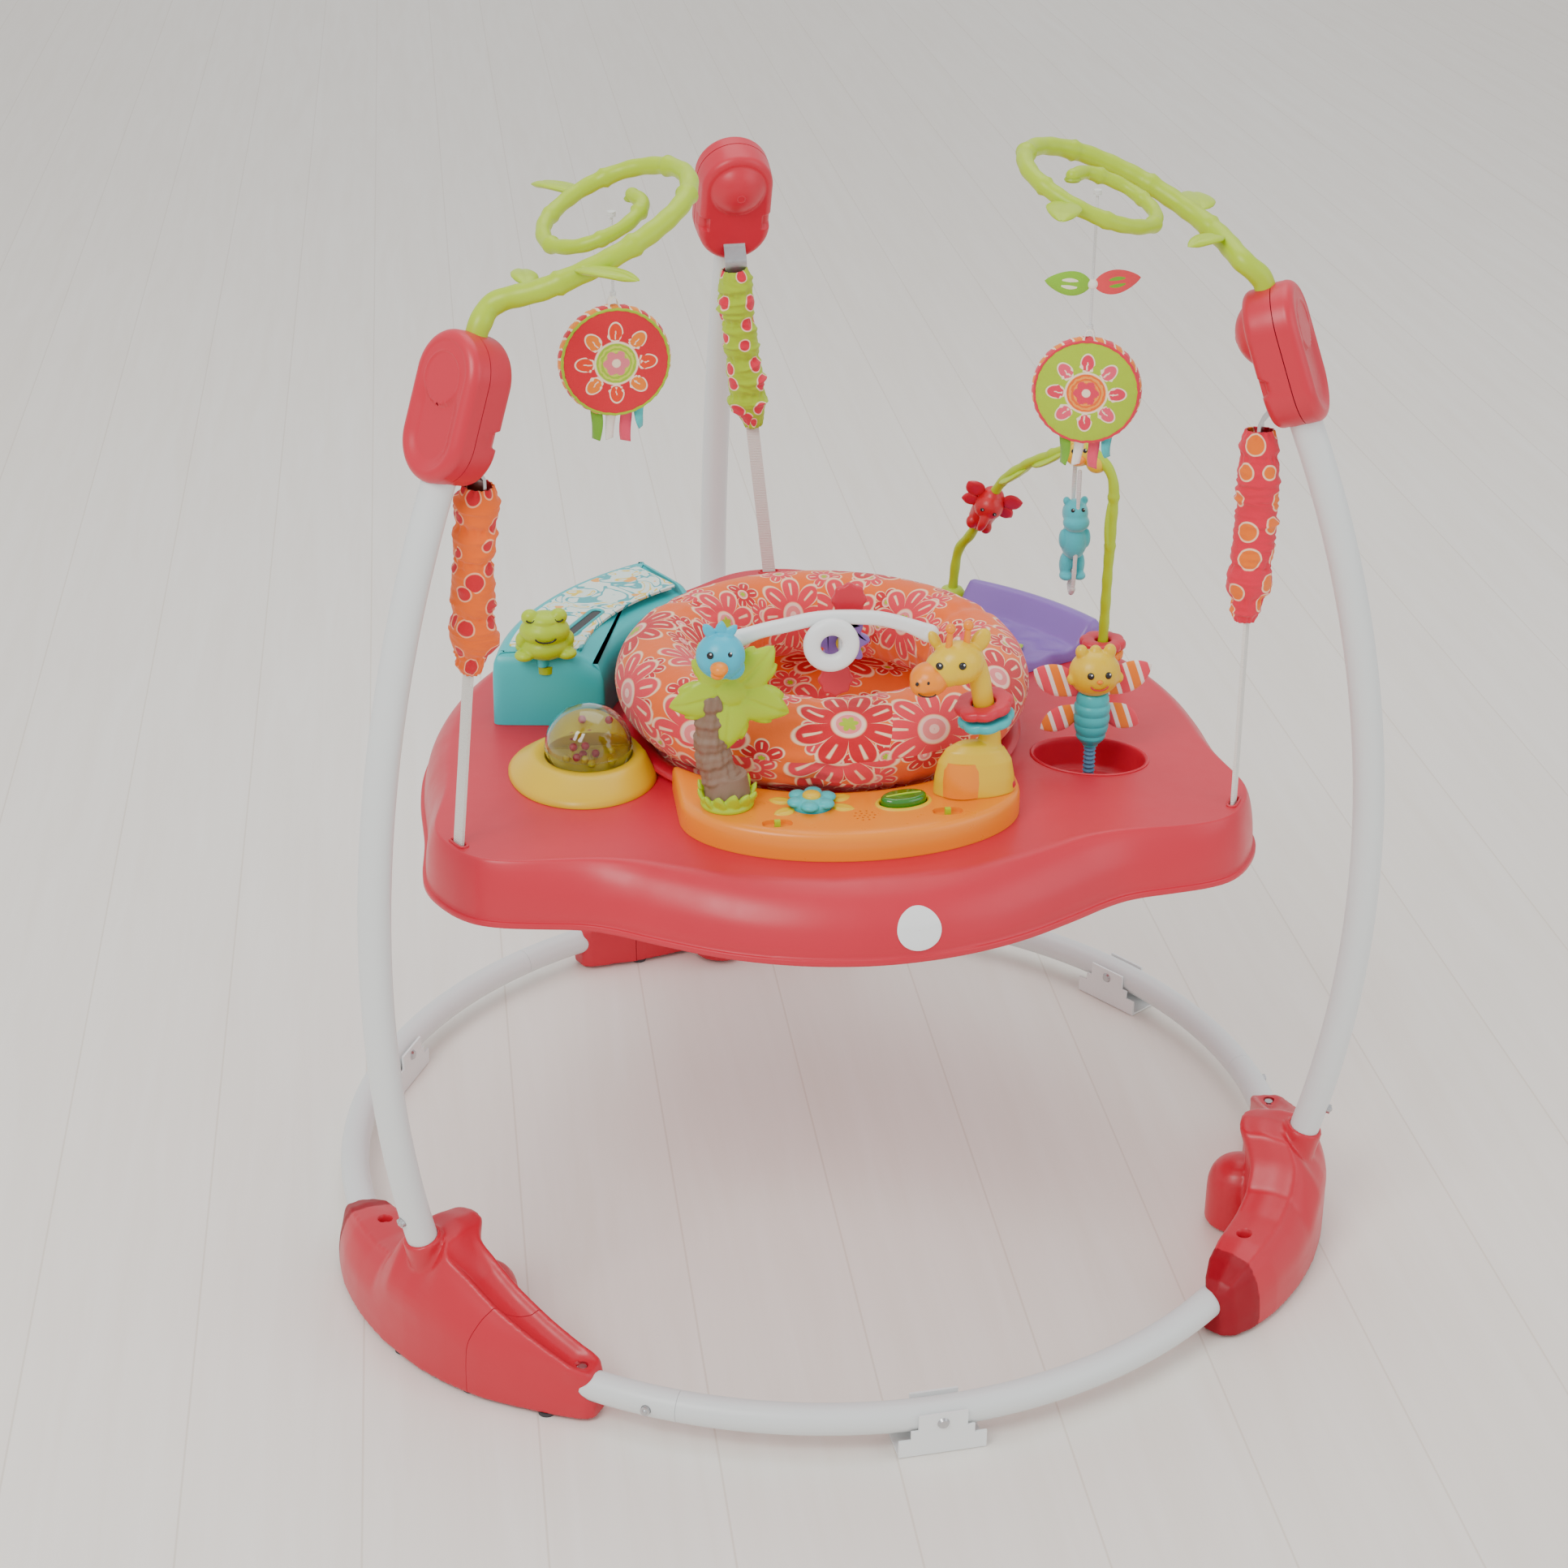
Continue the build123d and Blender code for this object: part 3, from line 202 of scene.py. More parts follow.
def new_mat(name):
    m = bpy.data.materials.new(name)
    m.use_nodes = True
    nt = m.node_tree
    return m, nt, nt.nodes["Principled BSDF"]


def coords(nt, uv=False):
    tc = nt.nodes.new("ShaderNodeTexCoord")
    return tc.outputs["UV" if uv else "Object"]


def noise(nt, vec, scale, detail=2.0, rough=0.5, distort=0.0):
    n = nt.nodes.new("ShaderNodeTexNoise")
    n.inputs["Scale"].default_value = scale
    n.inputs["Detail"].default_value = detail
    n.inputs["Roughness"].default_value = rough
    n.inputs["Distortion"].default_value = distort
    nt.links.new(vec, n.inputs["Vector"])
    return X(nt, n.outputs["Fac"])


def mixc(nt, fac, a, b):
    n = nt.nodes.new("ShaderNodeMix")
    n.data_type = "RGBA"
    if isinstance(fac, X):
        nt.links.new(fac.s, n.inputs[0])
    else:
        n.inputs[0].default_value = fac
    for k, c in ((6, a), (7, b)):
        if isinstance(c, tuple):
            n.inputs[k].default_value = c
        else:
            nt.links.new(c, n.inputs[k])
    return n.outputs[2]


def bump(nt, bsdf, height, strength, dist):
    n = nt.nodes.new("ShaderNodeBump")
    n.inputs["Strength"].default_value = strength
    n.inputs["Distance"].default_value = dist
    nt.links.new(height.s, n.inputs["Height"])
    nt.links.new(n.outputs["Normal"], bsdf.inputs["Normal"])


def plastic(name, rgb, rough=0.34, var=0.045, fine=0.06, coat=0.0):
    """moulded plastic: faint colour drift, spark-eroded grain, uneven gloss"""
    m, nt, b = new_mat(name)
    v = coords(nt)
    big = noise(nt, v, 11.0, 3.0)
    c = lin(rgb)
    lo = tuple(x * (1 - var) for x in c[:3]) + (1,)
    hi = tuple(min(1, x * (1 + var) + 0.004) for x in c[:3]) + (1,)
    nt.links.new(mixc(nt, big, lo, hi), b.inputs["Base Color"])
    gloss = noise(nt, v, 55.0, 4.0, 0.6)
    r = gloss * 0.16 + (rough - 0.08)
    nt.links.new(r.s, b.inputs["Roughness"])
    grain = noise(nt, v, 1500.0, 2.0) + noise(nt, v, 60.0, 2.0) * 0.6
    bump(nt, b, grain, fine, 0.0006)
    if coat:
        b.inputs["Coat Weight"].default_value = coat
        b.inputs["Coat Roughness"].default_value = 0.12
    b.inputs["Specular IOR Level"].default_value = 0.5
    return m


def metal(name, rgb, rough=0.32):
    m, nt, b = new_mat(name)
    v = coords(nt)
    n = noise(nt, v, 300.0, 3.0)
    c = lin(rgb)
    nt.links.new(mixc(nt, n, tuple(x * 0.85 for x in c[:3]) + (1,), c), b.inputs["Base Color"])
    nt.links.new((n * 0.2 + (rough - 0.1)).s, b.inputs["Roughness"])
    b.inputs["Metallic"].default_value = 1.0
    bump(nt, b, noise(nt, v, 900.0, 2.0), 0.1, 0.0003)
    return m


def clear(name, rgb=(240, 250, 252), rough=0.03):
    m, nt, b = new_mat(name)
    v = coords(nt)
    b.inputs["Base Color"].default_value = lin(rgb)
    b.inputs["Transmission Weight"].default_value = 1.0
    b.inputs["IOR"].default_value = 1.45
    nt.links.new((noise(nt, v, 80.0, 3.0) * 0.03 + rough * 0.5).s, b.inputs["Roughness"])
    bump(nt, b, noise(nt, v, 25.0, 2.0), 0.02, 0.001)
    return m


def cloth_base(m, nt, b, color, scale=1.0, sheen=0.25, rough=0.88):
    """weave and small creases under a colour socket"""
    v = coords(nt)
    drift = noise(nt, v, 22.0, 4.0, 0.6)
    dark = mixc(nt, 1.0, color, color) if not isinstance(color, tuple) else color
    hsv = nt.nodes.new("ShaderNodeHueSaturation")
    nt.links.new((drift * 0.16 + 0.92).s, hsv.inputs["Value"])
    if isinstance(dark, tuple):
        hsv.inputs["Color"].default_value = dark
    else:
        nt.links.new(dark, hsv.inputs["Color"])
    nt.links.new(hsv.outputs["Color"], b.inputs["Base Color"])
    nt.links.new((drift * 0.1 + (rough - 0.05)).s, b.inputs["Roughness"])
    b.inputs["Sheen Weight"].default_value = sheen
    b.inputs["Sheen Roughness"].default_value = 0.5
    sep = nt.nodes.new("ShaderNodeSeparateXYZ")
    nt.links.new(v, sep.inputs[0])
    f = 2 * pi / (0.0009 * scale)
    wx = (X(nt, sep.outputs[0]) * f).sin()
    wy = (X(nt, sep.outputs[1]) * f).sin()
    wz = (X(nt, sep.outputs[2]) * f).sin()
    weave = wx * wz + wy * wz + wx * wy
    crease = noise(nt, v, 70.0, 5.0, 0.6, 0.4) * 3.0
    bump(nt, b, weave * 0.12 + crease, 0.35, 0.0009)


def fabric(name, rgb, **k):
    m, nt, b = new_mat(name)
    cloth_base(m, nt, b, lin(rgb), **k)
    return m


def voronoi_cells(nt, uvsock, scale, random=0.6, offset=(0, 0, 0)):
    """(vector from the cell's centre in cell units, the cell's own random colour)"""
    sc = nt.nodes.new("ShaderNodeVectorMath")
    sc.operation = "MULTIPLY_ADD"
    nt.links.new(uvsock, sc.inputs[0])
    sc.inputs[1].default_value = (scale, scale, scale)
    sc.inputs[2].default_value = offset
    vo = nt.nodes.new("ShaderNodeTexVoronoi")
    vo.voronoi_dimensions = "2D"
    vo.inputs["Scale"].default_value = 1.0
    vo.inputs["Randomness"].default_value = random
    nt.links.new(sc.outputs[0], vo.inputs["Vector"])
    d = nt.nodes.new("ShaderNodeVectorMath")
    d.operation = "SUBTRACT"
    nt.links.new(sc.outputs[0], d.inputs[0])
    nt.links.new(vo.outputs["Position"], d.inputs[1])
    sep = nt.nodes.new("ShaderNodeSeparateXYZ")
    nt.links.new(d.outputs[0], sep.inputs[0])
    col = nt.nodes.new("ShaderNodeSeparateColor")
    nt.links.new(vo.outputs["Color"], col.inputs[0])
    return X(nt, sep.outputs[0]), X(nt, sep.outputs[1]), X(nt, col.outputs[0]), X(nt, col.outputs[1])


CREAM, RED, PINK, ROSE, ORANGE_F, LIME_F = (250, 222, 190), (205, 22, 52), (228, 75, 92), (238, 150, 150), (240, 125, 30), (170, 190, 40)


def flower_layers(nt, uvsock, scale, base, seed, petals=8.0, size=0.47, random=0.55):
    """petal flowers with pale outlines and ringed centres over a base colour"""
    x, y, r1, r2 = voronoi_cells(nt, uvsock, scale, random, (seed, seed * 0.7, 0))
    r = (x * x + y * y).pw(0.5)
    th = y.op("ARCTAN2", x) + r1 * 6.28
    lobe = (th * (petals / 2.0)).cos().abs().pw(0.45)
    edge = (lobe * 0.62 + 0.38) * size
    petal = (edge - r).step(0.0, 0.02)
    inner = (edge - r).step(0.035, 0.02)
    pick = r2.step(0.5, 0.01)
    pcol = mixc(nt, pick, lin(PINK), lin(RED))
    c = mixc(nt, petal, base, lin(CREAM))
    c = mixc(nt, inner, c, pcol)
    vein = r.step(0.24 * size * 2, 0.02) * r.less(0.40 * size * 2, 0.02) * (th * (petals / 2.0)).cos().abs().step(0.985, 0.02)
    c = mixc(nt, vein, c, lin(CREAM))
    disc = r.less(0.30 * size, 0.02)
    c = mixc(nt, disc, c, lin(CREAM))
    d2 = r.less(0.265 * size, 0.02)
    ringed = (r * (60.0 / size * 0.5)).sin().step(0.3, 0.4)
    cc = mixc(nt, ringed, lin(ROSE), lin((250, 210, 200)))
    c = mixc(nt, d2, c, cc)
    gl = (th * 3.0).cos().abs() * 0.4 + 0.6
    g = (gl * (0.17 * size) - r).step(0.0, 0.01) * r1.step(0.5, 0.01)
    c = mixc(nt, g, c, lin(LIME_F))
    return c


def floral(name):
    m, nt, b = new_mat(name)
    uv = coords(nt, True)
    drift = noise(nt, uv, 6.0, 2.0)
    base = mixc(nt, drift, lin((238, 112, 28)), lin((246, 140, 38)))
    small = flower_layers(nt, uv, 25.0, base, 3.7, 6.0, 0.42, 0.9)
    big = flower_layers(nt, uv, 12.5, small, 1.3, 8.0, 0.5, 0.5)
    cloth_base(m, nt, b, big, sheen=0.2, rough=0.8)
    return m


def dotted(name, base, dot, line, scale, size, random=0.75):
    m, nt, b = new_mat(name)
    uv = coords(nt, True)
    x, y, r1, r2 = voronoi_cells(nt, uv, scale, random)
    r = (x * x + y * y * 0.8).pw(0.5)
    s = r1 * (size * 0.5) + size * 0.75
    edge = (s - r).step(0.0, 0.02)
    inner = (s - r).step(0.05, 0.02)
    c = mixc(nt, edge, lin(base), lin(line))
    c = mixc(nt, inner, c, lin(dot))
    cloth_base(m, nt, b, c, sheen=0.2)
    return m


def disc_face(name, base, petal_a, petal_b, ring_c, mid_c, core_c):
    """one large printed flower; UV runs -1..1 over the face"""
    m, nt, b = new_mat(name)
    uv = coords(nt, True)
    sep = nt.nodes.new("ShaderNodeSeparateXYZ")
    nt.links.new(uv, sep.inputs[0])
    x, y = X(nt, sep.outputs[0]), X(nt, sep.outputs[1])
    r = (x * x + y * y).pw(0.5)
    th = y.op("ARCTAN2", x)
    seg = (th * (8 / (2 * pi)) + 8.5).frac() - 0.5
    k = (th * (8 / (2 * pi)) + 8.5).floor()
    alt = ((k * 0.5).frac()).step(0.25, 0.01)
    px_, py_ = (r - 0.60) / 0.19, seg * (2 * pi / 8) * r / 0.145
    e = (px_ * px_ + py_ * py_).pw(0.5)
    c = mixc(nt, e.less(1.0, 0.05), lin(base), lin((252, 235, 214)))
    c = mixc(nt, e.less(0.84, 0.05), c, mixc(nt, alt, lin(petal_a), lin(petal_b)))
    vein = py_.abs().less(0.07, 0.05) * r.less(0.62, 0.02) * r.step(0.46, 0.02)
    c = mixc(nt, vein, c, lin((252, 235, 214)))
    c = mixc(nt, r.less(0.42, 0.02), c, lin((252, 235, 214)))
    rings = (r * 75.0 + noise(nt, uv, 9.0, 2.0) * 6.0).sin().step(0.0, 0.5)
    c = mixc(nt, r.less(0.385, 0.02), c, mixc(nt, rings, lin(ring_c[0]), lin(ring_c[1])))
    fl = (th * 3.0).cos().abs() * 0.07 + 0.185
    c = mixc(nt, (fl - r).step(0.0, 0.015), c, lin(mid_c))
    c = mixc(nt, r.less(0.085, 0.015), c, lin(core_c))
    cloth_base(m, nt, b, c, sheen=0.35)
    return m


def striped(name, cols, freq, across="x", slant=0.0):
    """stripes of uneven width along UV"""
    m, nt, b = new_mat(name)
    uv = coords(nt, True)
    sep = nt.nodes.new("ShaderNodeSeparateXYZ")
    nt.links.new(uv, sep.inputs[0])
    t = X(nt, sep.outputs[0 if across == "x" else 1]) + X(nt, sep.outputs[1 if across == "x" else 0]) * slant
    f = (t * freq).frac()
    c = lin(cols[0][0])
    for rgb, start in cols[1:]:
        c = mixc(nt, f.step(start, 0.02), c, lin(rgb))
    cloth_base(m, nt, b, c, sheen=0.3)
    return m


def webbing(name, rgb):
    m, nt, b = new_mat(name)
    v = coords(nt)
    sep = nt.nodes.new("ShaderNodeSeparateXYZ")
    nt.links.new(v, sep.inputs[0])
    z = X(nt, sep.outputs[2])
    rib = (z * (2 * pi / 0.0016)).sin()
    c = lin(rgb)
    # rib colour: the grooves between the woven ribs are painted darker and the raised ribs lighter, which is painted
    # shade following the same rib wave as the bump
    nt.links.new(mixc(nt, rib * 0.15 + 0.5, tuple(q * 0.86 for q in c[:3]) + (1,), c), b.inputs["Base Color"])
    b.inputs["Roughness"].default_value = 0.75
    b.inputs["Sheen Weight"].default_value = 0.2
    bump(nt, b, rib + noise(nt, v, 900.0) * 1.5, 0.4, 0.0005)
    return m


MAT = {
    "tube": plastic("tube_powder_coat", (222, 225, 225), rough=0.36, var=0.02, fine=0.10),
    "white": plastic("white_plastic", (236, 238, 238), rough=0.35, var=0.02),
    "coral": plastic("coral_plastic", (202, 46, 74), rough=0.36, var=0.05),
    "coral2": plastic("coral_plastic_foot", (198, 40, 68), rough=0.34, var=0.05),
    "red": plastic("red_plastic", (196, 28, 48), rough=0.33),
    "orange": plastic("orange_plastic", (243, 158, 20), rough=0.3),
    "yellow": plastic("yellow_plastic", (226, 196, 38), rough=0.33),
    "lime": plastic("lime_plastic", (178, 200, 30), rough=0.38),
    "lime2": plastic("lime_plastic_dark", (158, 178, 36), rough=0.38),
    "aqua": plastic("aqua_plastic", (66, 184, 188), rough=0.33),
    "blue": plastic("sky_plastic", (64, 190, 212), rough=0.33),
    "slate": plastic("slate_rubber", (92, 142, 168), rough=0.55),
    "purple": plastic("purple_plastic", (146, 116, 186), rough=0.34),
    "brown": plastic("brown_plastic", (132, 110, 94), rough=0.5, var=0.14, fine=0.3),
    # black plastic for the real black parts (eyes, smiles, eyelids, nostrils), also used for black sheets that are
    # painted shade in the slots and in the housing dome hole
    "dark": plastic("black_plastic_and_painted_shade", (22, 20, 22), rough=0.25),
    "green": plastic("green_clear", (52, 122, 34), rough=0.14, coat=0.6),
    "panel": plastic("printed_panel", (222, 214, 212), rough=0.18, coat=0.4),
    "steel": metal("zinc_steel", (196, 196, 198)),
    "wire": metal("spring_wire", (150, 150, 155), 0.38),
    "clear": clear("clear_plastic"),
    "rubber": plastic("pad_rubber", (60, 60, 62), rough=0.8, fine=0.3),
    "web": webbing("webbing_white", (238, 236, 230)),
    "floral": floral("seat_floral"),
    "sleeve_l": dotted("sleeve_orange", (244, 128, 26), (208, 34, 58), (252, 196, 160), 40.0, 0.30),
    "sleeve_r": dotted("sleeve_pink", (222, 48, 84), (242, 138, 30), (252, 220, 190), 34.0, 0.28),
    "sleeve_b": dotted("sleeve_lime", (176, 198, 40), (222, 48, 84), (250, 225, 200), 40.0, 0.30),
    "cord": webbing("braided_cord", (226, 226, 226)),
    "pcb": plastic("circuit", (24, 84, 44), rough=0.4),
    "cell": metal("cell_sleeve", (90, 95, 100), 0.4),
}


# ------------------------------------------------------------------ mesh helpers; all points are mm about the ring's centre
def make(name, vf, body, mat, slot=None, rep=(), angle=38, uv=None, mats=None, face_mat=None, weld=0.0, recalc=True):
    v, f = vf[0], vf[1]
    me = bpy.data.meshes.new(name)
    v = (np.asarray(v, float) + np.array((SX, SY, 0.0))) / 1000.0
    f = [list(map(int, q)) for q in f]
    me.from_pydata(v.tolist(), [], f)
    if uv is None and len(vf) > 2:
        uv = vf[2]
    if uv is not None:
        layer = me.uv_layers.new(name="UVMap")
        flat_uv = [c for face in uv for p in face for c in p]
        layer.data.foreach_set("uv", flat_uv)
    for m in mats or [MAT[mat]]:
        me.materials.append(m)
    if face_mat is not None:
        me.polygons.foreach_set("material_index", face_mat)
    o = bpy.data.objects.new(name, me)
    bpy.context.scene.collection.objects.link(o)
    if weld or recalc:
        bm = bmesh.new()
        bm.from_mesh(me)
        if weld:
            bmesh.ops.remove_doubles(bm, verts=bm.verts, dist=weld / 1000.0)
            bmesh.ops.dissolve_degenerate(bm, edges=bm.edges, dist=1e-6)
        if recalc:
            bmesh.ops.recalc_face_normals(bm, faces=bm.faces)
        bm.to_mesh(me)
        bm.free()
    me.polygons.foreach_set("use_smooth", [True] * len(me.polygons))
    me.set_sharp_from_angle(angle=rad(angle))
    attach(o, body)
    if rep:
        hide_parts(*rep)
    return o


def grid(P, cu=False, cv=False, su=1.0, sv=1.0, cap0=False, cap1=False):
    """quads over P[u][v]; cu, cv close it; caps fill the first and last v row loops"""
    P = np.asarray(P, float)
    nu, nv = P.shape[:2]
    v = P.reshape(-1, 3)
    f, uv = [], []
    for i in range(nu if cu else nu - 1):
        for j in range(nv if cv else nv - 1):
            a, b = (i + 1) % nu, (j + 1) % nv
            f.append((i * nv + j, a * nv + j, a * nv + b, i * nv + b))
            uv.append(((i * su, j * sv), ((i + 1) * su, j * sv), ((i + 1) * su, (j + 1) * sv), (i * su, (j + 1) * sv)))
    if cap0:
        f.append([i * nv for i in range(nu)])
        uv.append([(0, 0)] * nu)
    if cap1:
        f.append([i * nv + nv - 1 for i in range(nu)][::-1])
        uv.append([(0, 0)] * nu)
    return v, f, uv


def join(*vfs):
    v, f, uv, n = [], [], [], 0
    for q in vfs:
        v.append(np.asarray(q[0], float))
        f += [[int(i) + n for i in face] for face in q[1]]
        uv += list(q[2]) if len(q) > 2 else [[(0, 0)] * len(face) for face in q[1]]
        n += len(q[0])
    return np.concatenate(v), f, uv


def move(vf, off):
    return (np.asarray(vf[0], float) + np.asarray(off, float),) + tuple(vf[1:])


def turn(vf, deg, axis=(0, 0, 1), at=(0, 0, 0)):
    m = np.array(Matrix.Rotation(rad(deg), 3, Vector(axis)))
    at = np.asarray(at, float)
    return ((np.asarray(vf[0], float) - at) @ m.T + at,) + tuple(vf[1:])


def basis(d, up=(0, 0, 1)):
    d = unit(d)
    up = np.asarray(up, float)
    if abs(d @ unit(up)) > 0.98:
        up = arr(1, 0, 0)
    a = unit(np.cross(up, d))
    return a, np.cross(d, a), d


def lathe(profile, at=(0, 0, 0), axis=(0, 0, 1), n=64, cap0=False, cap1=False, wob=None, closed=False):
    """profile is (radius, distance along the axis)"""
    a, b, d = basis(axis)
    pr = np.asarray(profile, float)
    L = np.concatenate([[0], np.cumsum(np.hypot(*np.diff(pr, axis=0).T))])
    P = np.zeros((n, len(pr), 3))
    for i in range(n):
        t = 2 * pi * i / n
        u = a * math.cos(t) + b * math.sin(t)
        for j, (r, z) in enumerate(pr):
            rr = r if wob is None else r + wob(t, j, r, z)
            P[i, j] = np.asarray(at) + u * rr + d * z
    v, f, uv = grid(P, cu=True, cv=closed, cap0=cap0, cap1=cap1)
    rm = max(pr[:, 0])
    uv2 = []
    for face, q in zip(f, uv):
        if len(face) == 4:
            uv2.append([(p[0] / n * 2 * pi * rm / 1000, L[min(int(round(p[1])), len(L) - 1)] / 1000) for p in q])
        else:
            uv2.append([(0, 0)] * len(face))
    return v, f, uv2


def curve(pts, per=8):
    """smooth line through the points"""
    p = np.asarray(pts, float)
    if len(p) < 3:
        return np.array([p[0] + (p[1] - p[0]) * t for t in np.linspace(0, 1, per * 2)])
    q = np.vstack([2 * p[0] - p[1], p, 2 * p[-1] - p[-2]])
    out = []
    for i in range(1, len(q) - 2):
        for t in np.arange(per) / per:
            a, b, c, d = q[i - 1], q[i], q[i + 1], q[i + 2]
            out.append(0.5 * (2 * b + (c - a) * t + (2 * a - 5 * b + 4 * c - d) * t * t + (3 * b - a - 3 * c + d) * t ** 3))
    out.append(q[-2])
    return np.array(out)


def tube(pts, radius, seg=18, per=8, smooth=True, flat=1.0, up=(0, 0, 1), ends=True, ripple=None):
    """round or flattened bar along a line, with domed ends"""
    p = curve(pts, per) if smooth else np.asarray(pts, float)
    n = len(p)
    rr = np.interp(np.linspace(0, 1, n), np.linspace(0, 1, len(np.atleast_1d(radius))), np.atleast_1d(radius)) if np.ndim(radius) else np.full(n, float(radius))
    tan = np.gradient(p, axis=0)
    tan /= np.linalg.norm(tan, axis=1)[:, None]
    s = np.concatenate([[0], np.cumsum(np.linalg.norm(np.diff(p, axis=0), axis=1))])
    if ripple is not None:
        rr = rr + np.array([ripple(x) for x in s])
    a = unit(np.cross(up, tan[0])) if np.linalg.norm(np.cross(up, tan[0])) > 0.05 else unit(np.cross((1, 0, 0), tan[0]))
    rows = []

    def ring(c, a, b, r):
        return [c + a * math.cos(2 * pi * k / seg) * r + b * math.sin(2 * pi * k / seg) * r * flat for k in range(seg)]

    fr = []
    for i in range(n):
        a = unit(a - tan[i] * (a @ tan[i]))
        fr.append((a, np.cross(tan[i], a)))
    dome = [(0.05, 0.98), (0.35, 0.92), (0.65, 0.74), (0.87, 0.48)] if ends else []
    for k, (q, h) in enumerate(dome):
        rows.append(ring(p[0] - tan[0] * rr[0] * h, *fr[0], rr[0] * math.sqrt(max(0, 1 - h * h)) if h < 0.98 else rr[0] * 0.1))
    for i in range(n):
        rows.append(ring(p[i], *fr[i], rr[i]))
    for k, (q, h) in enumerate(dome[::-1]):
        rows.append(ring(p[-1] + tan[-1] * rr[-1] * h, *fr[-1], rr[-1] * math.sqrt(max(0, 1 - h * h)) if h < 0.98 else rr[-1] * 0.1))
    P = np.array(rows).transpose(1, 0, 2)
    L = np.concatenate([[0], np.cumsum(np.linalg.norm(np.diff(P[0], axis=0), axis=1))])
    v, f, uv = grid(P, cu=True, cap0=True, cap1=True)
    rm = float(rr.mean())
    uv2 = [[(q[0] / seg * 2 * pi * rm / 1000, L[min(int(round(q[1])), len(L) - 1)] / 1000) for q in u] if len(fc) == 4 else [(0, 0)] * len(fc) for fc, u in zip(f, uv)]
    return v, f, uv2


def ell(c, r, n=28, m=18, rot=None, k=1.0):
    """ellipsoid, or a boxier one with k under 1"""
    r = np.ones(3) * r if np.ndim(r) == 0 else np.asarray(r, float)
    v = []
    for j in range(m + 1):
        ph = pi * j / m
        for i in range(n):
            t = 2 * pi * i / n
            q = arr(math.sin(ph) * math.cos(t), math.sin(ph) * math.sin(t), math.cos(ph))
            q = np.sign(q) * np.abs(q) ** k
            v.append(q * r)
    v = np.array(v)
    f = []
    for j in range(m):
        for i in range(n):
            f.append((j * n + i, (j + 1) * n + i, (j + 1) * n + (i + 1) % n, j * n + (i + 1) % n))
    if rot is not None:
        v = v @ np.array(rot).T
    return v + np.asarray(c, float), f


def prism(outline, z0, z1, bev=1.5, seg=3, plane=None, at=(0, 0, 0), both=False, taper=0.0):
    """outline extruded from z0 to z1, top edge (or both) rounded; plane is (x axis, y axis, normal)"""
    o = np.asarray(outline, float)
    area = 0.5 * np.sum(o[:, 0] * np.roll(o[:, 1], -1) - np.roll(o[:, 0], -1) * o[:, 1])
    if area < 0:
        o = o[::-1]

    def inset(o, d):
        e = np.roll(o, -1, 0) - np.roll(o, 1, 0)
        nrm = np.c_[-e[:, 1], e[:, 0]]
        nrm /= np.linalg.norm(nrm, axis=1)[:, None] + 1e-9
        return o + nrm * d

    rows = []
    steps = [(bev * (1 - math.sin(pi / 2 * k / seg)), bev * (1 - math.cos(pi / 2 * k / seg))) for k in range(seg + 1)]
    low = [(st[0], z0 + st[1]) for st in steps] if both else [(0, z0)]
    high = [(st[0] + taper, z1 - st[1]) for st in steps[::-1]]
    for d, z in low + high:
        q = inset(o, d)
        rows.append(np.c_[q, np.full(len(q), z)])
    P = np.array(rows).transpose(1, 0, 2)
    v, f, uv = grid(P, cu=True, cap0=True, cap1=True)
    if plane is not None:
        a, b, n = [np.asarray(q, float) for q in plane]
        v = v[:, :1] * a + v[:, 1:2] * b + v[:, 2:3] * n
    return v + np.asarray(at, float), f, [[(0, 0)] * len(q) for q in f]


def circle(r, n=48, c=(0, 0), ry=None, lobes=0, amp=0.0, ph=0.0):
    ry = r if ry is None else ry
    out = []
    for i in range(n):
        t = 2 * pi * i / n
        k = 1 + amp * math.cos(lobes * t + ph)
        out.append((c[0] + r * k * math.cos(t), c[1] + ry * k * math.sin(t)))
    return out


def fuse(parts, voxel=1.3, smooth=5, factor=0.5):
    """melts solids into one moulded body"""
    v, f, _ = join(*parts)
    me = bpy.data.meshes.new("t")
    me.from_pydata((v / 1000).tolist(), [], f)
    bm = bmesh.new()
    bm.from_mesh(me)
    bmesh.ops.recalc_face_normals(bm, faces=bm.faces)
    bm.to_mesh(me)
    bm.free()
    o = bpy.data.objects.new("t", me)
    bpy.context.scene.collection.objects.link(o)
    r = o.modifiers.new("r", "REMESH")
    r.mode = "VOXEL"
    r.voxel_size = voxel / 1000
    s = o.modifiers.new("s", "SMOOTH")
    s.iterations = smooth
    s.factor = factor
    dg = bpy.context.evaluated_depsgraph_get()
    e = bpy.data.meshes.new_from_object(o.evaluated_get(dg))
    vv = np.zeros(len(e.vertices) * 3)
    e.vertices.foreach_get("co", vv)
    ff = [list(p.vertices) for p in e.polygons]
    bpy.data.objects.remove(o)
    bpy.data.meshes.remove(e)
    return vv.reshape(-1, 3) * 1000, ff


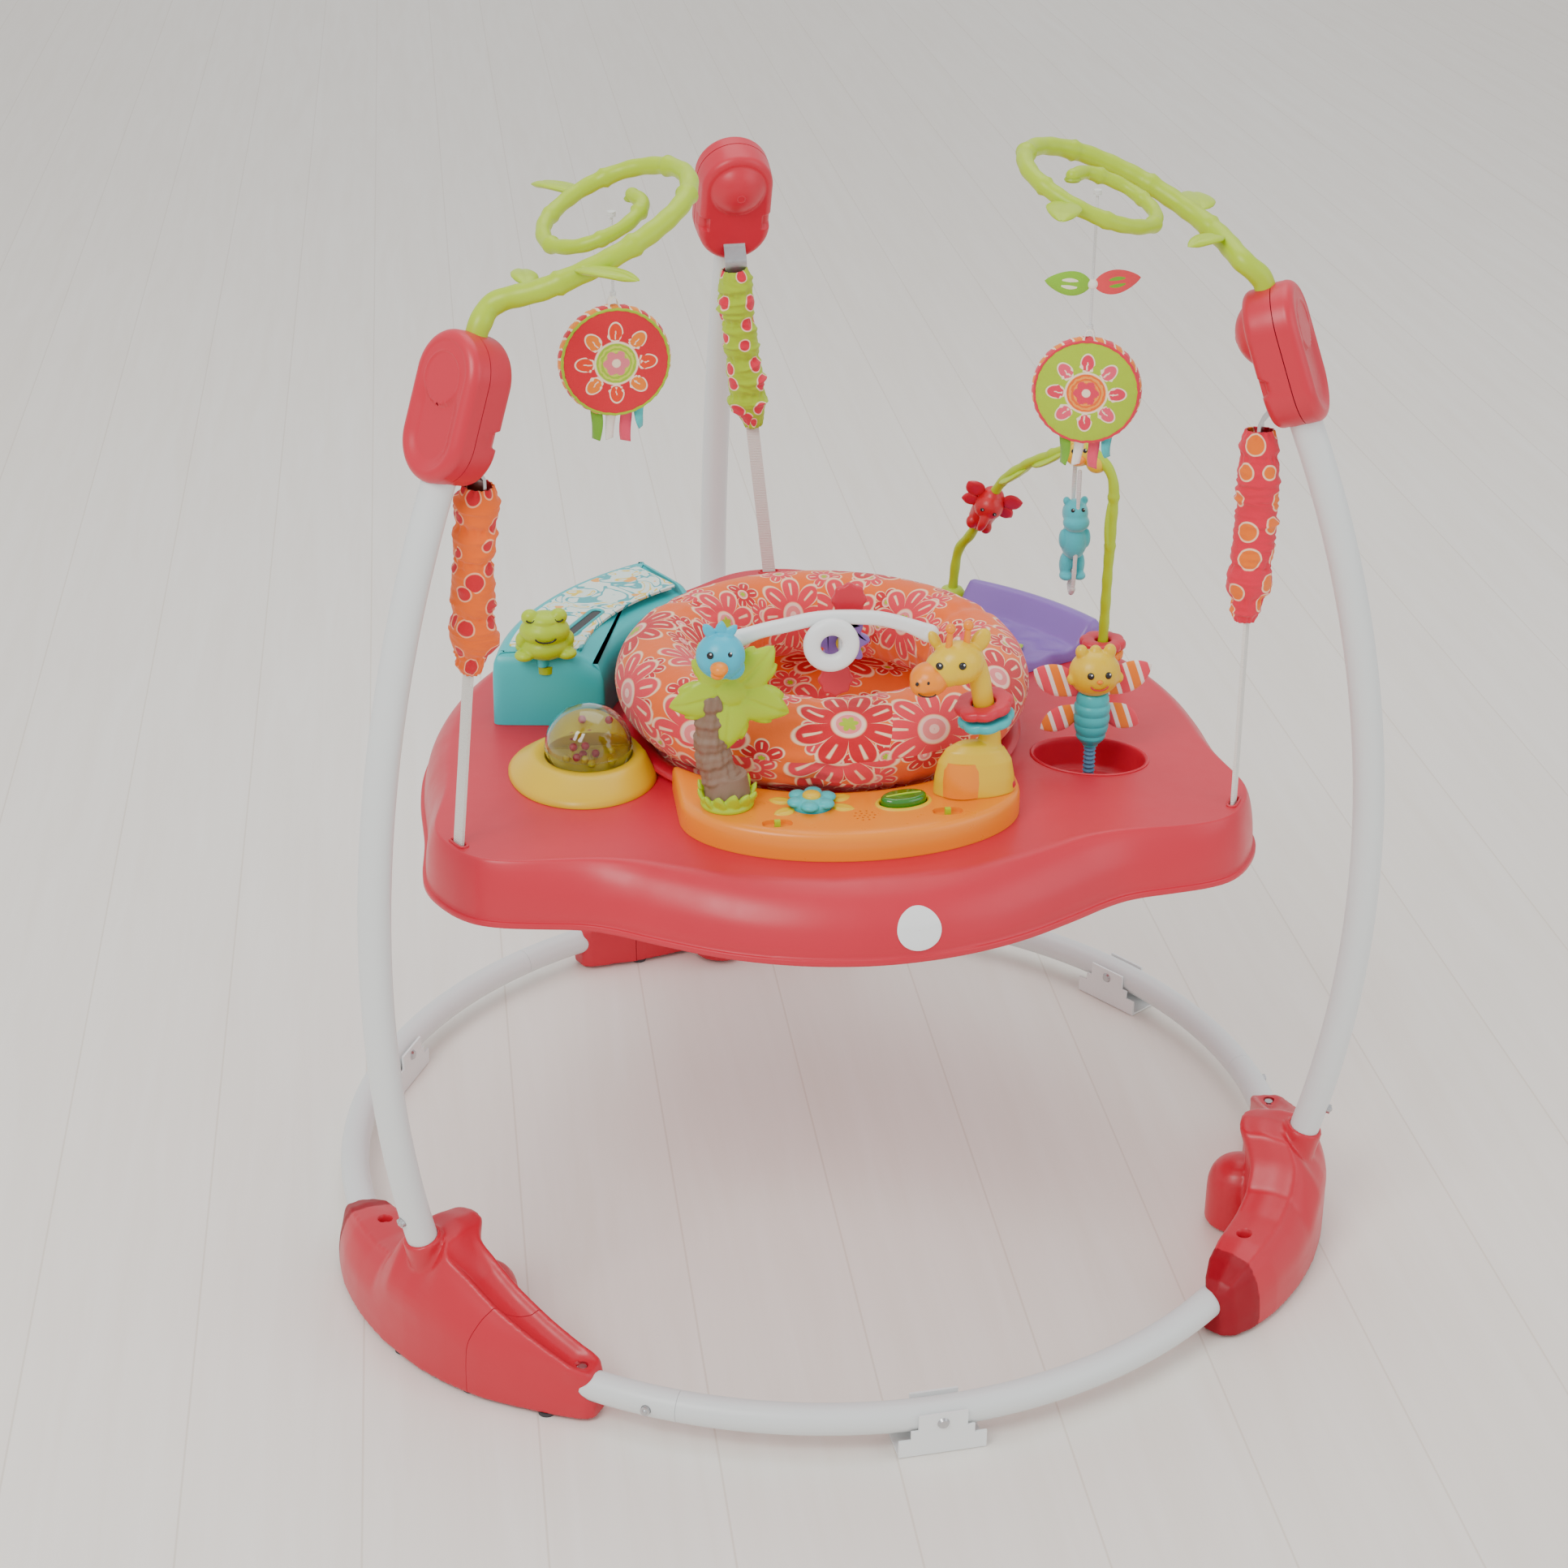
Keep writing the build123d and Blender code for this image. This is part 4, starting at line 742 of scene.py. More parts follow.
def cut(vf, tools, op="DIFFERENCE"):
    """boolean with closed solids"""
    def mk(q):
        me = bpy.data.meshes.new("b")
        me.from_pydata((np.asarray(q[0]) / 1000).tolist(), [], [list(map(int, x)) for x in q[1]])
        bm = bmesh.new()
        bm.from_mesh(me)
        bmesh.ops.recalc_face_normals(bm, faces=bm.faces)
        bm.to_mesh(me)
        bm.free()
        o = bpy.data.objects.new("b", me)
        bpy.context.scene.collection.objects.link(o)
        return o

    o = mk(vf)
    ts = [mk(t) for t in tools]
    for t in ts:
        md = o.modifiers.new("b", "BOOLEAN")
        md.operation = op
        md.solver = "EXACT"
        md.object = t
    dg = bpy.context.evaluated_depsgraph_get()
    e = bpy.data.meshes.new_from_object(o.evaluated_get(dg))
    vv = np.zeros(len(e.vertices) * 3)
    e.vertices.foreach_get("co", vv)
    ff = [list(p.vertices) for p in e.polygons]
    for q in [o, *ts]:
        bpy.data.objects.remove(q)
    bpy.data.meshes.remove(e)
    return vv.reshape(-1, 3) * 1000, ff


def leaf(base, tip, width, thick, up=(0, 0, 1), bend=0.0, n=18, m=12, rib=0.6, blunt=0.75, cup=0.0):
    """thick leaf from base to tip with a grooved midrib"""
    base, tip = np.asarray(base, float), np.asarray(tip, float)
    L = np.linalg.norm(tip - base)
    d = unit(tip - base)
    side = unit(np.cross(up, d))
    nn = np.cross(d, side)
    top, bot = [], []
    for i in range(n + 1):
        t = i / n
        w = width / 2 * (math.sin(pi * t ** blunt)) ** 0.72 if 0 < t < 1 else 0.15
        rt, rb = [], []
        for j in range(m + 1):
            s = -1 + 2 * j / m
            th = thick / 2 * math.sqrt(max(0.0, 1 - s * s)) * min(1, 4 * t + 0.15, 4 * (1 - t) + 0.15)
            c = base + d * L * t + side * w * s + nn * (bend * math.sin(pi * t) + cup * s * s * w)
            groove = -rib * math.exp(-((s * w) / 1.6) ** 2) if th > 1 else 0
            rt.append(c + nn * (th + groove))
            rb.append(c - nn * (th + groove))
        top.append(rt)
        bot.append(rb[::-1])
    P = np.concatenate([np.array(top), np.array(bot)[:, 1:-1]], axis=1)
    v, f, uv = grid(P, cv=True)
    k = P.shape[1]
    f.append(list(range(k)))
    f.append([n * k + i for i in range(k)][::-1])
    uv += [[(0, 0)] * k] * 2
    return v, f, uv


def eye(name, c, look, r, body):
    """glossy dome eye with a pale glint"""
    a, b, d = basis(look)
    c = np.asarray(c, float)
    prof = [(r, -0.6), (r, 0.0), (r * 0.92, r * 0.18), (r * 0.7, r * 0.34), (r * 0.4, r * 0.43), (0.02, r * 0.46)]
    e = make(name, lathe(prof, c, look, 24, cap0=True, cap1=True), body, "dark", "black_details" if False else None)
    g = make(name + "_glint", lathe([(r * 0.28, 0), (r * 0.25, r * 0.1), (0.02, r * 0.16)], c + a * r * 0.3 + b * r * 0.35 + d * r * 0.34, look, 12, cap0=True, cap1=True), body, "white")
    return e, g


def vnoise(seed):
    """smooth periodic wander of an angle and a length, for folds"""
    rs = np.random.RandomState(seed)
    ks = [(rs.randint(0, 5), rs.uniform(0.5, 9.0), rs.uniform(0, 6.28), rs.uniform(0.4, 1.0)) for _ in range(22)]

    def f(t, s):
        return sum(a * math.sin(k * t + w * s + p) / (1 + 0.12 * w) for k, w, p, a in ks) / 6.0

    return f


# ------------------------------------------------------------------ CAD pieces that keep their shape get their real finish
for nm, mt in {
    "base_tube_front": "tube", "base_tube_left": "tube", "base_tube_right": "tube", "base_stub_tubes": "tube", "leg_tube_left": "tube", "leg_tube_right": "tube", "leg_tube_back": "tube", "leg_stub_tubes": "tube",
    "floor_brackets": "white", "foot_pads": "rubber", "frame_fasteners": "steel", "snap_buttons": "steel", "spring_hangers": "steel", "suspension_straps": "web",
    "tray_retainer_ring": "coral", "seat_ring": "red", "music_base_bottom": "orange", "music_electronics": "pcb", "music_batteries": "cell", "volume_switch": "lime", "mode_switch": "lime",
    "hanging_string_left": "cord", "hanging_string_right": "cord",
}.items():
    o = frame["nodes"][nm]
    o.data.materials.clear()
    o.data.materials.append(MAT[mt])


# ------------------------------------------------------------------ feet
def foot():
    """one hollow foot at angle 0: outer wall, two crests with a channel between, leg socket, bump"""
    D = [-22.4, -21.5, -19, -15, -10, -6.5, -4.5, -3, 0, 2.6, 5.5, 10, 15, 19, 21.5, 22.4]
    RO = [436, 445, 452, 458, 462, 463.4, 464, 464, 464, 463, 461, 456, 446, 439, 434, 428]
    RI = [420, 412, 405, 401, 399.5, 398.4, 397.6, 397, 396, 395, 394, 391, 392, 399, 404, 411]
    TOP = [40, 50, 58, 63.5, 66, 72, 92, 112, 116, 115, 104, 84, 66, 53, 46, 38]
    ds = np.concatenate([np.linspace(-22.4, -19, 8), np.linspace(-18.6, -8, 16), np.linspace(-7.5, 4, 30), np.linspace(4.6, 19, 26), np.linspace(19.4, 22.4, 8)])
    rows = []
    for d in ds:
        ro, ri, tp = (np.interp(d, D, q) for q in (RO, RI, TOP))
        f = np.clip((d - 3.0) / 4.0, 0, 1) * np.clip((22.0 - d) / 3.0, 0, 1)
        g = np.clip((-6.0 - d) / 3.0, 0, 1)
        co, ci = 420 + 15 * (1 - 0.35 * f), 420 - 15
        co = min(co + (ro - co) * 0.25, ro - 5)
        ci = max(ci, ri + 3)
        if -6.5 < d < 5:
            k = math.exp(-((d + 0.3) / 3.2) ** 4)
            ap = 405.0
            co, ci = co * (1 - k) + (ap + 19) * k, ci * (1 - k) + (ap - 17) * k
        dep = 9.0 * f
        sec = [(ri, 3), (ri, 14), (ri + 0.6, 0.45 * tp), (ri + (ci - ri) * 0.55, 0.8 * tp), (ci - 2.2, tp - 3.2), (ci, tp - 0.4), (ci + 2.5, tp - 0.2 - dep * 0.15),
               (ci + 6, tp - dep * 0.7), ((ci + co) / 2, tp - dep + 1.4 * (1 - f)), (co - 6, tp - dep * 0.7), (co - 2.5, tp - 0.2 - dep * 0.15), (co, tp - 0.6), (co + 2.0, tp - 4.0),
               (co + (ro - co) * 0.45, 0.83 * tp), (ro - 2.5, 0.6 * tp), (ro - 0.4, 0.38 * tp), (ro, 14), (ro, 3)]
        rows.append([pol(r, d, z) for r, z in curve(sec, 4)])
    P = np.array(rows)
    v, f, uv = grid(P, cv=True)
    k = P.shape[1]
    n = len(ds)
    f += [list(range(k)), [(n - 1) * k + i for i in range(k)][::-1]]
    body = (v, f)
    b0 = leg_at(60.0)
    collar = tube([leg_at(40.0), leg_at(70.0), leg_at(116.0)], [20.5, 18.5, 16.0], 28, 4, ends=False)
    bx, by = 388 * cs(1.5)[0], 388 * cs(1.5)[1]
    bump_ = lathe([(28, 0), (28, 34), (27.3, 42), (25, 49.5), (21, 55.5), (15.5, 60), (8, 63), (0.1, 64)], (bx, by, 3), n=40, cap0=True, cap1=True)
    web = ell((bx + 18, by, 30), (22, 24, 27))
    solid = fuse([body, collar, bump_, web], 1.7, 7)
    cav = [tube([leg_at(52.0), leg_at(90.0), leg_at(135.0)], 13.1, 28, 4, ends=False)]
    ring = [pol(420, q, 29.0) for q in np.linspace(-40, 40, 60)]
    cav.append(tube(ring, 13.0, 24, smooth=False, ends=False))
    for d in (-14.0, 20.3):
        c = pol(420, d, 0)
        cav.append(lathe([(5, 0), (5, 50)], (c[0], c[1], 40), n=24, cap0=True, cap1=True))
        cav.append(lathe([(5, 0), (7.4, 3.2)], (c[0], c[1], (62.5 if d < 0 else 41.5)), n=24, cap0=True, cap1=True))
    pts = [(456, -14), (460, -6), (460, 4), (450, 11), (434, 18), (414, 18), (398, 12), (398, -2), (404, -14), (430, -19)]
    cav.append(prism([tuple(pol(r, d, 0)[:2]) for r, d in pts], -10, 11, 0.4, 1))
    solid = cut(solid, cav)
    p0, p1 = pol(465, 8.0, 0), pol(400, 14.0, 0)
    t = unit(p1 - p0)
    nrm = arr(-t[1], t[0], 0)
    if nrm @ pol(1, 100, 0) < 0:
        nrm = -nrm

    def slab(side, gap):
        a = p0 - t * 60 + nrm * gap * side
        b = p1 + t * 60 + nrm * gap * side
        c, d = b + nrm * side * 200, a + nrm * side * 200
        return prism([tuple(a[:2]), tuple(b[:2]), tuple(c[:2]), tuple(d[:2])], -40, 180, 0.01, 1)

    return cut(solid, [slab(1, -0.25)]), cut(solid, [slab(-1, -0.25)])


def leg_at(z):
    return arr(LC_R + math.sqrt(LEG_R ** 2 - (z - LC_Z) ** 2), 0, z)


main_f, cover_f = foot()
for side, a in FOOT.items():
    make("foot_shell_" + side, turn(main_f, a), "frame", "coral2", "coral_plastic", rep=("foot_shells",) if side == "left" else (), angle=42)
    make("foot_cover_" + side, turn(cover_f, a), "frame", "coral2", "coral_plastic", rep=("foot_end_covers",) if side == "left" else (), angle=42)

# ------------------------------------------------------------------ spring housings
NX, NZ = math.cos(rad(LEAN)), math.sin(rad(LEAN))


def h_pt(y, n):
    return (HOUSE_R - NZ * y + NX * n, HOUSE_Z + NX * y + NZ * n)


def h_map(a, P):
    """(x across, y up, n outwards) of the housing to the frame"""
    u = arr(cs(a)[0], cs(a)[1], 0)
    t = arr(-u[1], u[0], 0)
    o = u * HOUSE_R + arr(0, 0, HOUSE_Z)
    yv = -u * NZ + arr(0, 0, NX)
    nv = u * NX + arr(0, 0, NZ)
    P = np.asarray(P, float)
    return o + P[..., :1] * t + P[..., 1:2] * yv + P[..., 2:3] * nv


def sstep(x):
    x = np.clip(x, 0, 1)
    return x * x * (3 - 2 * x)


def house_half(outer):
    R, half = 34.0, 22.0
    nu = 168
    rows = []
    ring = []
    for i in range(nu):
        s = i / nu * (2 * pi * R + 4 * half)
        if s < pi * R:
            ring.append((R * math.cos(s / R), half + R * math.sin(s / R), math.cos(s / R), math.sin(s / R)))
        elif s < pi * R + 2 * half:
            ring.append((-R, half - (s - pi * R), -1, 0))
        elif s < 2 * pi * R + 2 * half:
            q = (s - pi * R - 2 * half) / R + pi
            ring.append((R * math.cos(q), -half + R * math.sin(q), math.cos(q), math.sin(q)))
        else:
            ring.append((R, -half + (s - 2 * pi * R - 2 * half), 1, 0))
    if outer:
        prof = [(R - 3, 0.35), (R, 0.35), (R, 4.5), (R - 0.2, 8)] + [(R - 8 + 8 * math.cos(q), 8.6 + 8 * math.sin(q)) for q in np.linspace(0.12, pi / 2, 9)]
    else:
        prof = [(R - 3, 0.35), (R - 0.2, 0.35), (R - 0.3, 9), (R - 1.0, 15)] + [(R - 8 + 7 * math.cos(q), 17 + 7 * math.sin(q)) for q in np.linspace(0.1, pi / 2, 9)]
    prof += [(rr, prof[-1][1]) for rr in np.linspace(prof[-1][0] - 0.5, 0.0, 34)]
    P = np.zeros((nu, len(prof), 3))
    for i, (x, y, cx, cy) in enumerate(ring):
        for j, (rr, n) in enumerate(prof):
            px, py = x - cx * (R - rr), y - cy * (R - rr)
            if outer:
                edge = sstep((R - 6.5 - rr) / 3.0)
                e = math.hypot(px, py - 20)
                scoop = 3.4 * sstep((22 - py) / 26.0) * sstep((R - 8 - rr) / 10.0) + 0.5 * edge
                boss = 1.0 - sstep((e - 18.6) / 1.2)
                ringb = math.exp(-((e - 19.4) / 0.8) ** 2)
                n = n - (scoop * (1 - boss) + 0.9 * boss) * edge + 0.5 * ringb * edge
                n = min(n, 17)
            else:
                q = 900 - px * px - (py - 21) ** 2
                dome = 7 + math.sqrt(q) if q > 0 else 0
                dome = min(dome, 36.8)
                m = max(n, dome)
                k = 2.5
                n = max(n, dome) + max(0, k - abs(n - dome)) ** 2 / (4 * k) * (1 if j > 3 else 0) if q > 0 and j > 3 else n
                if j > 2 and abs(py + 14) < 7 and abs(px) > 24:
                    n = n - 4.5 * sstep((7 - abs(py + 14)) / 1.6) * sstep((abs(px) - 24) / 2.0)
                n = -n
            P[i, j] = (px, py, n)
    return P


PO, PI_ = house_half(True), house_half(False)
for side, a in FOOT.items():
    v, f, uv = grid(h_map(a, PO), cu=True)
    make("housing_outer_shell_" + side, (v, f), "frame", "coral", "coral_plastic", rep=("housing_outer_" + side,), angle=50, weld=0.05)
    v, f, uv = grid(h_map(a, PI_), cu=True)
    make("housing_inner_shell_" + side, (v, f), "frame", "coral", "coral_plastic", rep=("housing_inner_shells",) if side == "left" else (), angle=50, weld=0.05)
    c = h_map(a, arr(0, 21, -36.5))
    d = h_map(a, arr(0, 21, -37.5)) - c
    make("housing_dome_hole_" + side, lathe([(4.0, -0.6), (4.0, 0.35), (3.5, 0.75), (3.0, 0.4), (3.0, -0.5)], c, d, 28, closed=True), "frame", "coral", "coral_plastic")
    # a black disc sunk inside the dome's hole ring: painted shade standing for the open hole
    make("housing_dome_hole_shade_" + side, lathe([(3.0, -0.4), (2.9, 0.0), (0.02, -0.1)], c, d, 24, cap0=True, cap1=True), "frame", "dark")

# ------------------------------------------------------------------ suspension: coil springs and gathered sleeves
def line_ends(side):
    return pol(352.0, FOOT[side], 722.0), pol(361.5, LOBE[side], DECK)


def susp(side, z):
    p0, p1 = line_ends(side)
    t = (p0[2] - z) / (p0[2] - p1[2])
    p = p0 + (p1 - p0) * t
    d = unit(p0 - p1)
    u = arr(*cs(FOOT[side]), 0)
    u = unit(u - d * (u @ d))
    return p, u, d


coils = []
for side in FOOT:
    p, u, d = susp(side, 600.5)
    q, _, _ = susp(side, 721.5)
    w = np.cross(d, u)
    L = np.linalg.norm(q - p)
    pts = [p + u * 0.0 + d * 0.0, p + u * 4 + d * 2.0]
    N = 26
    for k in range(N * 14 + 1):
        t = k / 14 * 2 * pi
        pts.append(p + d * (5 + (L - 10) * k / (N * 14)) + u * 8.0 * math.cos(t) + w * 8.0 * math.sin(t))
    pts += [q + u * 4 - d * 2.0, q]
    coils.append(tube(pts, 1.15, 8, smooth=False, ends=True))
o = make("suspension_coils", join(*coils), "frame", "wire", "spring_wire", rep=("suspension_springs",), angle=60)
o.parent = None
del o["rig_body"]
M((0, 0, 722))
M((0, 0, 600))
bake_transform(o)

SLEEVE = {"left": ("sleeve_l", "sleeve_orange", 5), "right": ("sleeve_r", "sleeve_pink", 11), "back": ("sleeve_b", "sleeve_lime", 23)}
for side, (mt, sl, seed) in SLEEVE.items():
    p, u, d = susp(side, 584.5)
    q, _, _ = susp(side, 738.0)
    w = np.cross(d, u)
    L = np.linalg.norm(q - p)
    rs = np.random.RandomState(seed)
    fn, fn2 = vnoise(seed), vnoise(seed + 1)
    ns, nt_ = 190, 96
    gath = [0.10, 0.33, 0.62, 0.80] if side == "left" else ([0.12, 0.30, 0.86] if side == "right" else [0.22, 0.45, 0.68, 0.85])
    P = np.zeros((nt_, ns, 3))
    rs2 = np.random.RandomState(seed + 7)
    folds = [(rs2.uniform(0.04, 0.96), rs2.uniform(0, 6.28), rs2.uniform(0.5, 1.6), rs2.uniform(-0.012, 0.012), rs2.uniform(0.006, 0.016)) for _ in range(46)]
    for j in range(ns):
        s = j / (ns - 1)
        base = np.interp(s, [0, 0.03, 0.10, 0.2, 0.35, 0.5, 0.62, 0.75, 0.88, 0.96, 1], [7.6, 9.5, 13, 17, 16.5, 16, 15.2, 16, 16.4, 14, 11.5])
        for g in gath:
            base -= 2.3 * math.exp(-((s - g) / 0.028) ** 2)
        for i in range(nt_):
            t = 2 * pi * i / nt_
            r = base + 1.1 * fn(t, s * 9) + 0.8 * fn2(2 * t, s * 22)
            for s0, t0, amp, sl_, wd in folds:
                dt = (t - t0 + pi) % (2 * pi) - pi
                e = s - s0 - sl_ * dt
                r += amp * 1.15 * math.exp(-(e / wd) ** 2) * math.exp(-(dt / 1.3) ** 2)
            r += 5.0 * math.exp(-((s - 0.17) / 0.06) ** 2) * max(0, math.cos(t - (2.6 if side == "left" else 0.9 if side == "right" else 1.5))) ** 3
            gather = sum(math.exp(-((s - g) / 0.03) ** 2) for g in gath) + math.exp(-(s / 0.05) ** 2) + math.exp(-((1 - s) / 0.04) ** 2)
            r += 0.7 * gather * math.sin(13 * t + 3 * fn(t, s * 4))
            r = min(r, 21.0)
            P[i, j] = p + d * L * s + (u * math.cos(t) + w * math.sin(t)) * r + (u * 1.6 * math.sin(5 * s + seed) + w * 1.6 * math.cos(4 * s + seed))
    v, f, uv = grid(P, cu=True, su=2 * pi * 17 / 1000 / nt_, sv=L * 1.25 / 1000 / ns)
    o = make("sleeve_cloth_" + side, (v, f, uv), "frame", mt, sl, rep=("sleeve_" + side,), angle=75)
    md = o.modifiers.new("thick", "SOLIDIFY")
    md.thickness = 0.0008
    md.offset = -1
    dg = bpy.context.evaluated_depsgraph_get()
    me = bpy.data.meshes.new_from_object(o.evaluated_get(dg))
    o.modifiers.clear()
    o.data = me
    o.parent = None
    del o["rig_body"]
    tuple(M(q))
    tuple(M(p))
    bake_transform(o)
    o if SHEETS else None


# ------------------------------------------------------------------ vine arms: a spiral stem with node rings and fat leaves
VINE = [(-112, -8), (-88, -34), (-52, -54), (-14, -62), (24, -54), (50, -28), (56, 6), (42, 38), (10, 54), (-26, 46), (-46, 16), (-40, -16), (-14, -31), (12, -22), (20, 0)]


def vine_frame(side):
    a = FOOT[side] - 1.5
    c = arr(215 * cs(a)[0], 215 * cs(a)[1], 0)
    e1 = arr(-cs(a)[0], -cs(a)[1], 0)
    return c, e1, arr(-e1[1], e1[0], 0)


def vine_pt(side, x, y, z=None):
    c, e1, e2 = vine_frame(side)
    return c + e1 * x + e2 * y + arr(0, 0, 917 + 0.42 * x - 0.05 * y if z is None else z)


for side in ("left", "right"):
    c, e1, e2 = vine_frame(side)
    r0, z0 = h_pt(43, -6)
    r1, z1 = h_pt(62, -6)
    pts = [pol(r0, FOOT[side], z0), pol(r1, FOOT[side], z1)] + [vine_pt(side, x, y) for x, y in VINE]
    p = curve(pts, 12)
    L = np.concatenate([[0], np.cumsum(np.linalg.norm(np.diff(p, axis=0), axis=1))])
    marks = [0.16, 0.27, 0.39, 0.50, 0.60, 0.70, 0.79, 0.87, 0.94]

    def rip(s, L=L):
        t = s / L[-1]
        r = 0.0
        for q in marks:
            r += 1.5 * math.exp(-((t - q) * L[-1] / 2.6) ** 2)
        return r + 0.25 * math.sin(s * 0.35)

    stem = tube(p, [8.6, 8.4, 7.6, 7.0, 6.4, 5.8, 5.2, 5.6], 26, smooth=False, ripple=rip)
    make("vine_stem_" + side, stem, "frame", "lime", "lime_plastic", rep=("vine_arm_" + side,), angle=55)
    up = arr(0, 0, 1)
    lf = []
    for (x, y, rot, ln) in ((-62, -74, -70, 56), (8, 78, 100, 52), (-84, -4, 60, 40)):
        d = e1 * math.cos(rad(rot)) + e2 * math.sin(rad(rot))
        m0 = vine_pt(side, x, y)
        a0, a1 = m0 - d * ln * 0.5, m0 + d * ln * 0.5
        a0[2] += 1.0
        lf.append(leaf(a0, a1, ln * 0.54, 6.2, up=(0.1, 0.05, 1), bend=2.2, blunt=0.85, rib=0.9, cup=0.02))
        near = p[np.argmin(np.linalg.norm(p - m0, axis=1))]
        end = a0 if np.linalg.norm(a0 - near) < np.linalg.norm(a1 - near) else a1
        lf.append(tube([near, (near + end) / 2 + arr(0, 0, 1), end + (m0 - end) * 0.25], [4.2, 3.4, 2.4], 14, 4))
    make("vine_leaves_" + side, fuse(lf, 1.1, 3), "frame", "lime", "lime_plastic", angle=50)
    tip = p[-1]
    hook = [tip + arr(0, 0, 0), tip + arr(0, 0, -5.5), tip + arr(0, 0, -8)]
    make("vine_hook_ring_" + side, lathe([(5.6, -1.6), (6.6, 0), (5.6, 1.6), (3.4, 1.8), (3.4, -1.8)], tip + arr(0, 0, -3.0), (0, 0, 1), 28, closed=True), "frame", "lime2", "lime_plastic")

# ------------------------------------------------------------------ hanging padded discs and the felt leaf pair
FACES = {
    "left": disc_face("disc_face_left", (216, 44, 66), (236, 86, 40), (246, 150, 40), ((168, 196, 52), (206, 218, 96)), (232, 140, 150), (250, 232, 210)),
    "right": disc_face("disc_face_right", (176, 200, 44), (228, 72, 104), (236, 104, 130), ((240, 128, 36), (250, 176, 90)), (228, 70, 104), (250, 232, 214)),
}
GUS = {
    "left": striped("gusset_left", [((246, 160, 40), 0), ((250, 236, 214), 0.42), ((214, 48, 70), 0.52), ((250, 236, 214), 0.9)], 62.0, "x", 0.25),
    "right": striped("gusset_right", [((226, 62, 96), 0), ((250, 236, 214), 0.42), ((246, 150, 40), 0.52), ((250, 236, 214), 0.9)], 62.0, "x", 0.25),
}
PIPE = {"left": fabric("disc_piping_left", (170, 196, 48)), "right": fabric("disc_piping_right", (222, 60, 88))}
RIBBONS = [fabric("ribbon_green", (128, 176, 62)), fabric("ribbon_white", (244, 240, 232)), fabric("ribbon_pink", (232, 96, 126)), fabric("ribbon_aqua", (86, 190, 192))]


def disc_xf(side):
    c, e1, e2 = vine_frame(side)
    z = 803 if side == "left" else 758
    t = 6.0 if side == "left" else -16.0
    ux = arr(cs(t)[0], cs(t)[1], 0)
    nn = arr(math.sin(rad(t)), -math.cos(rad(t)), 0)
    return arr(c[0], c[1], z), ux, arr(0, 0, 1), nn


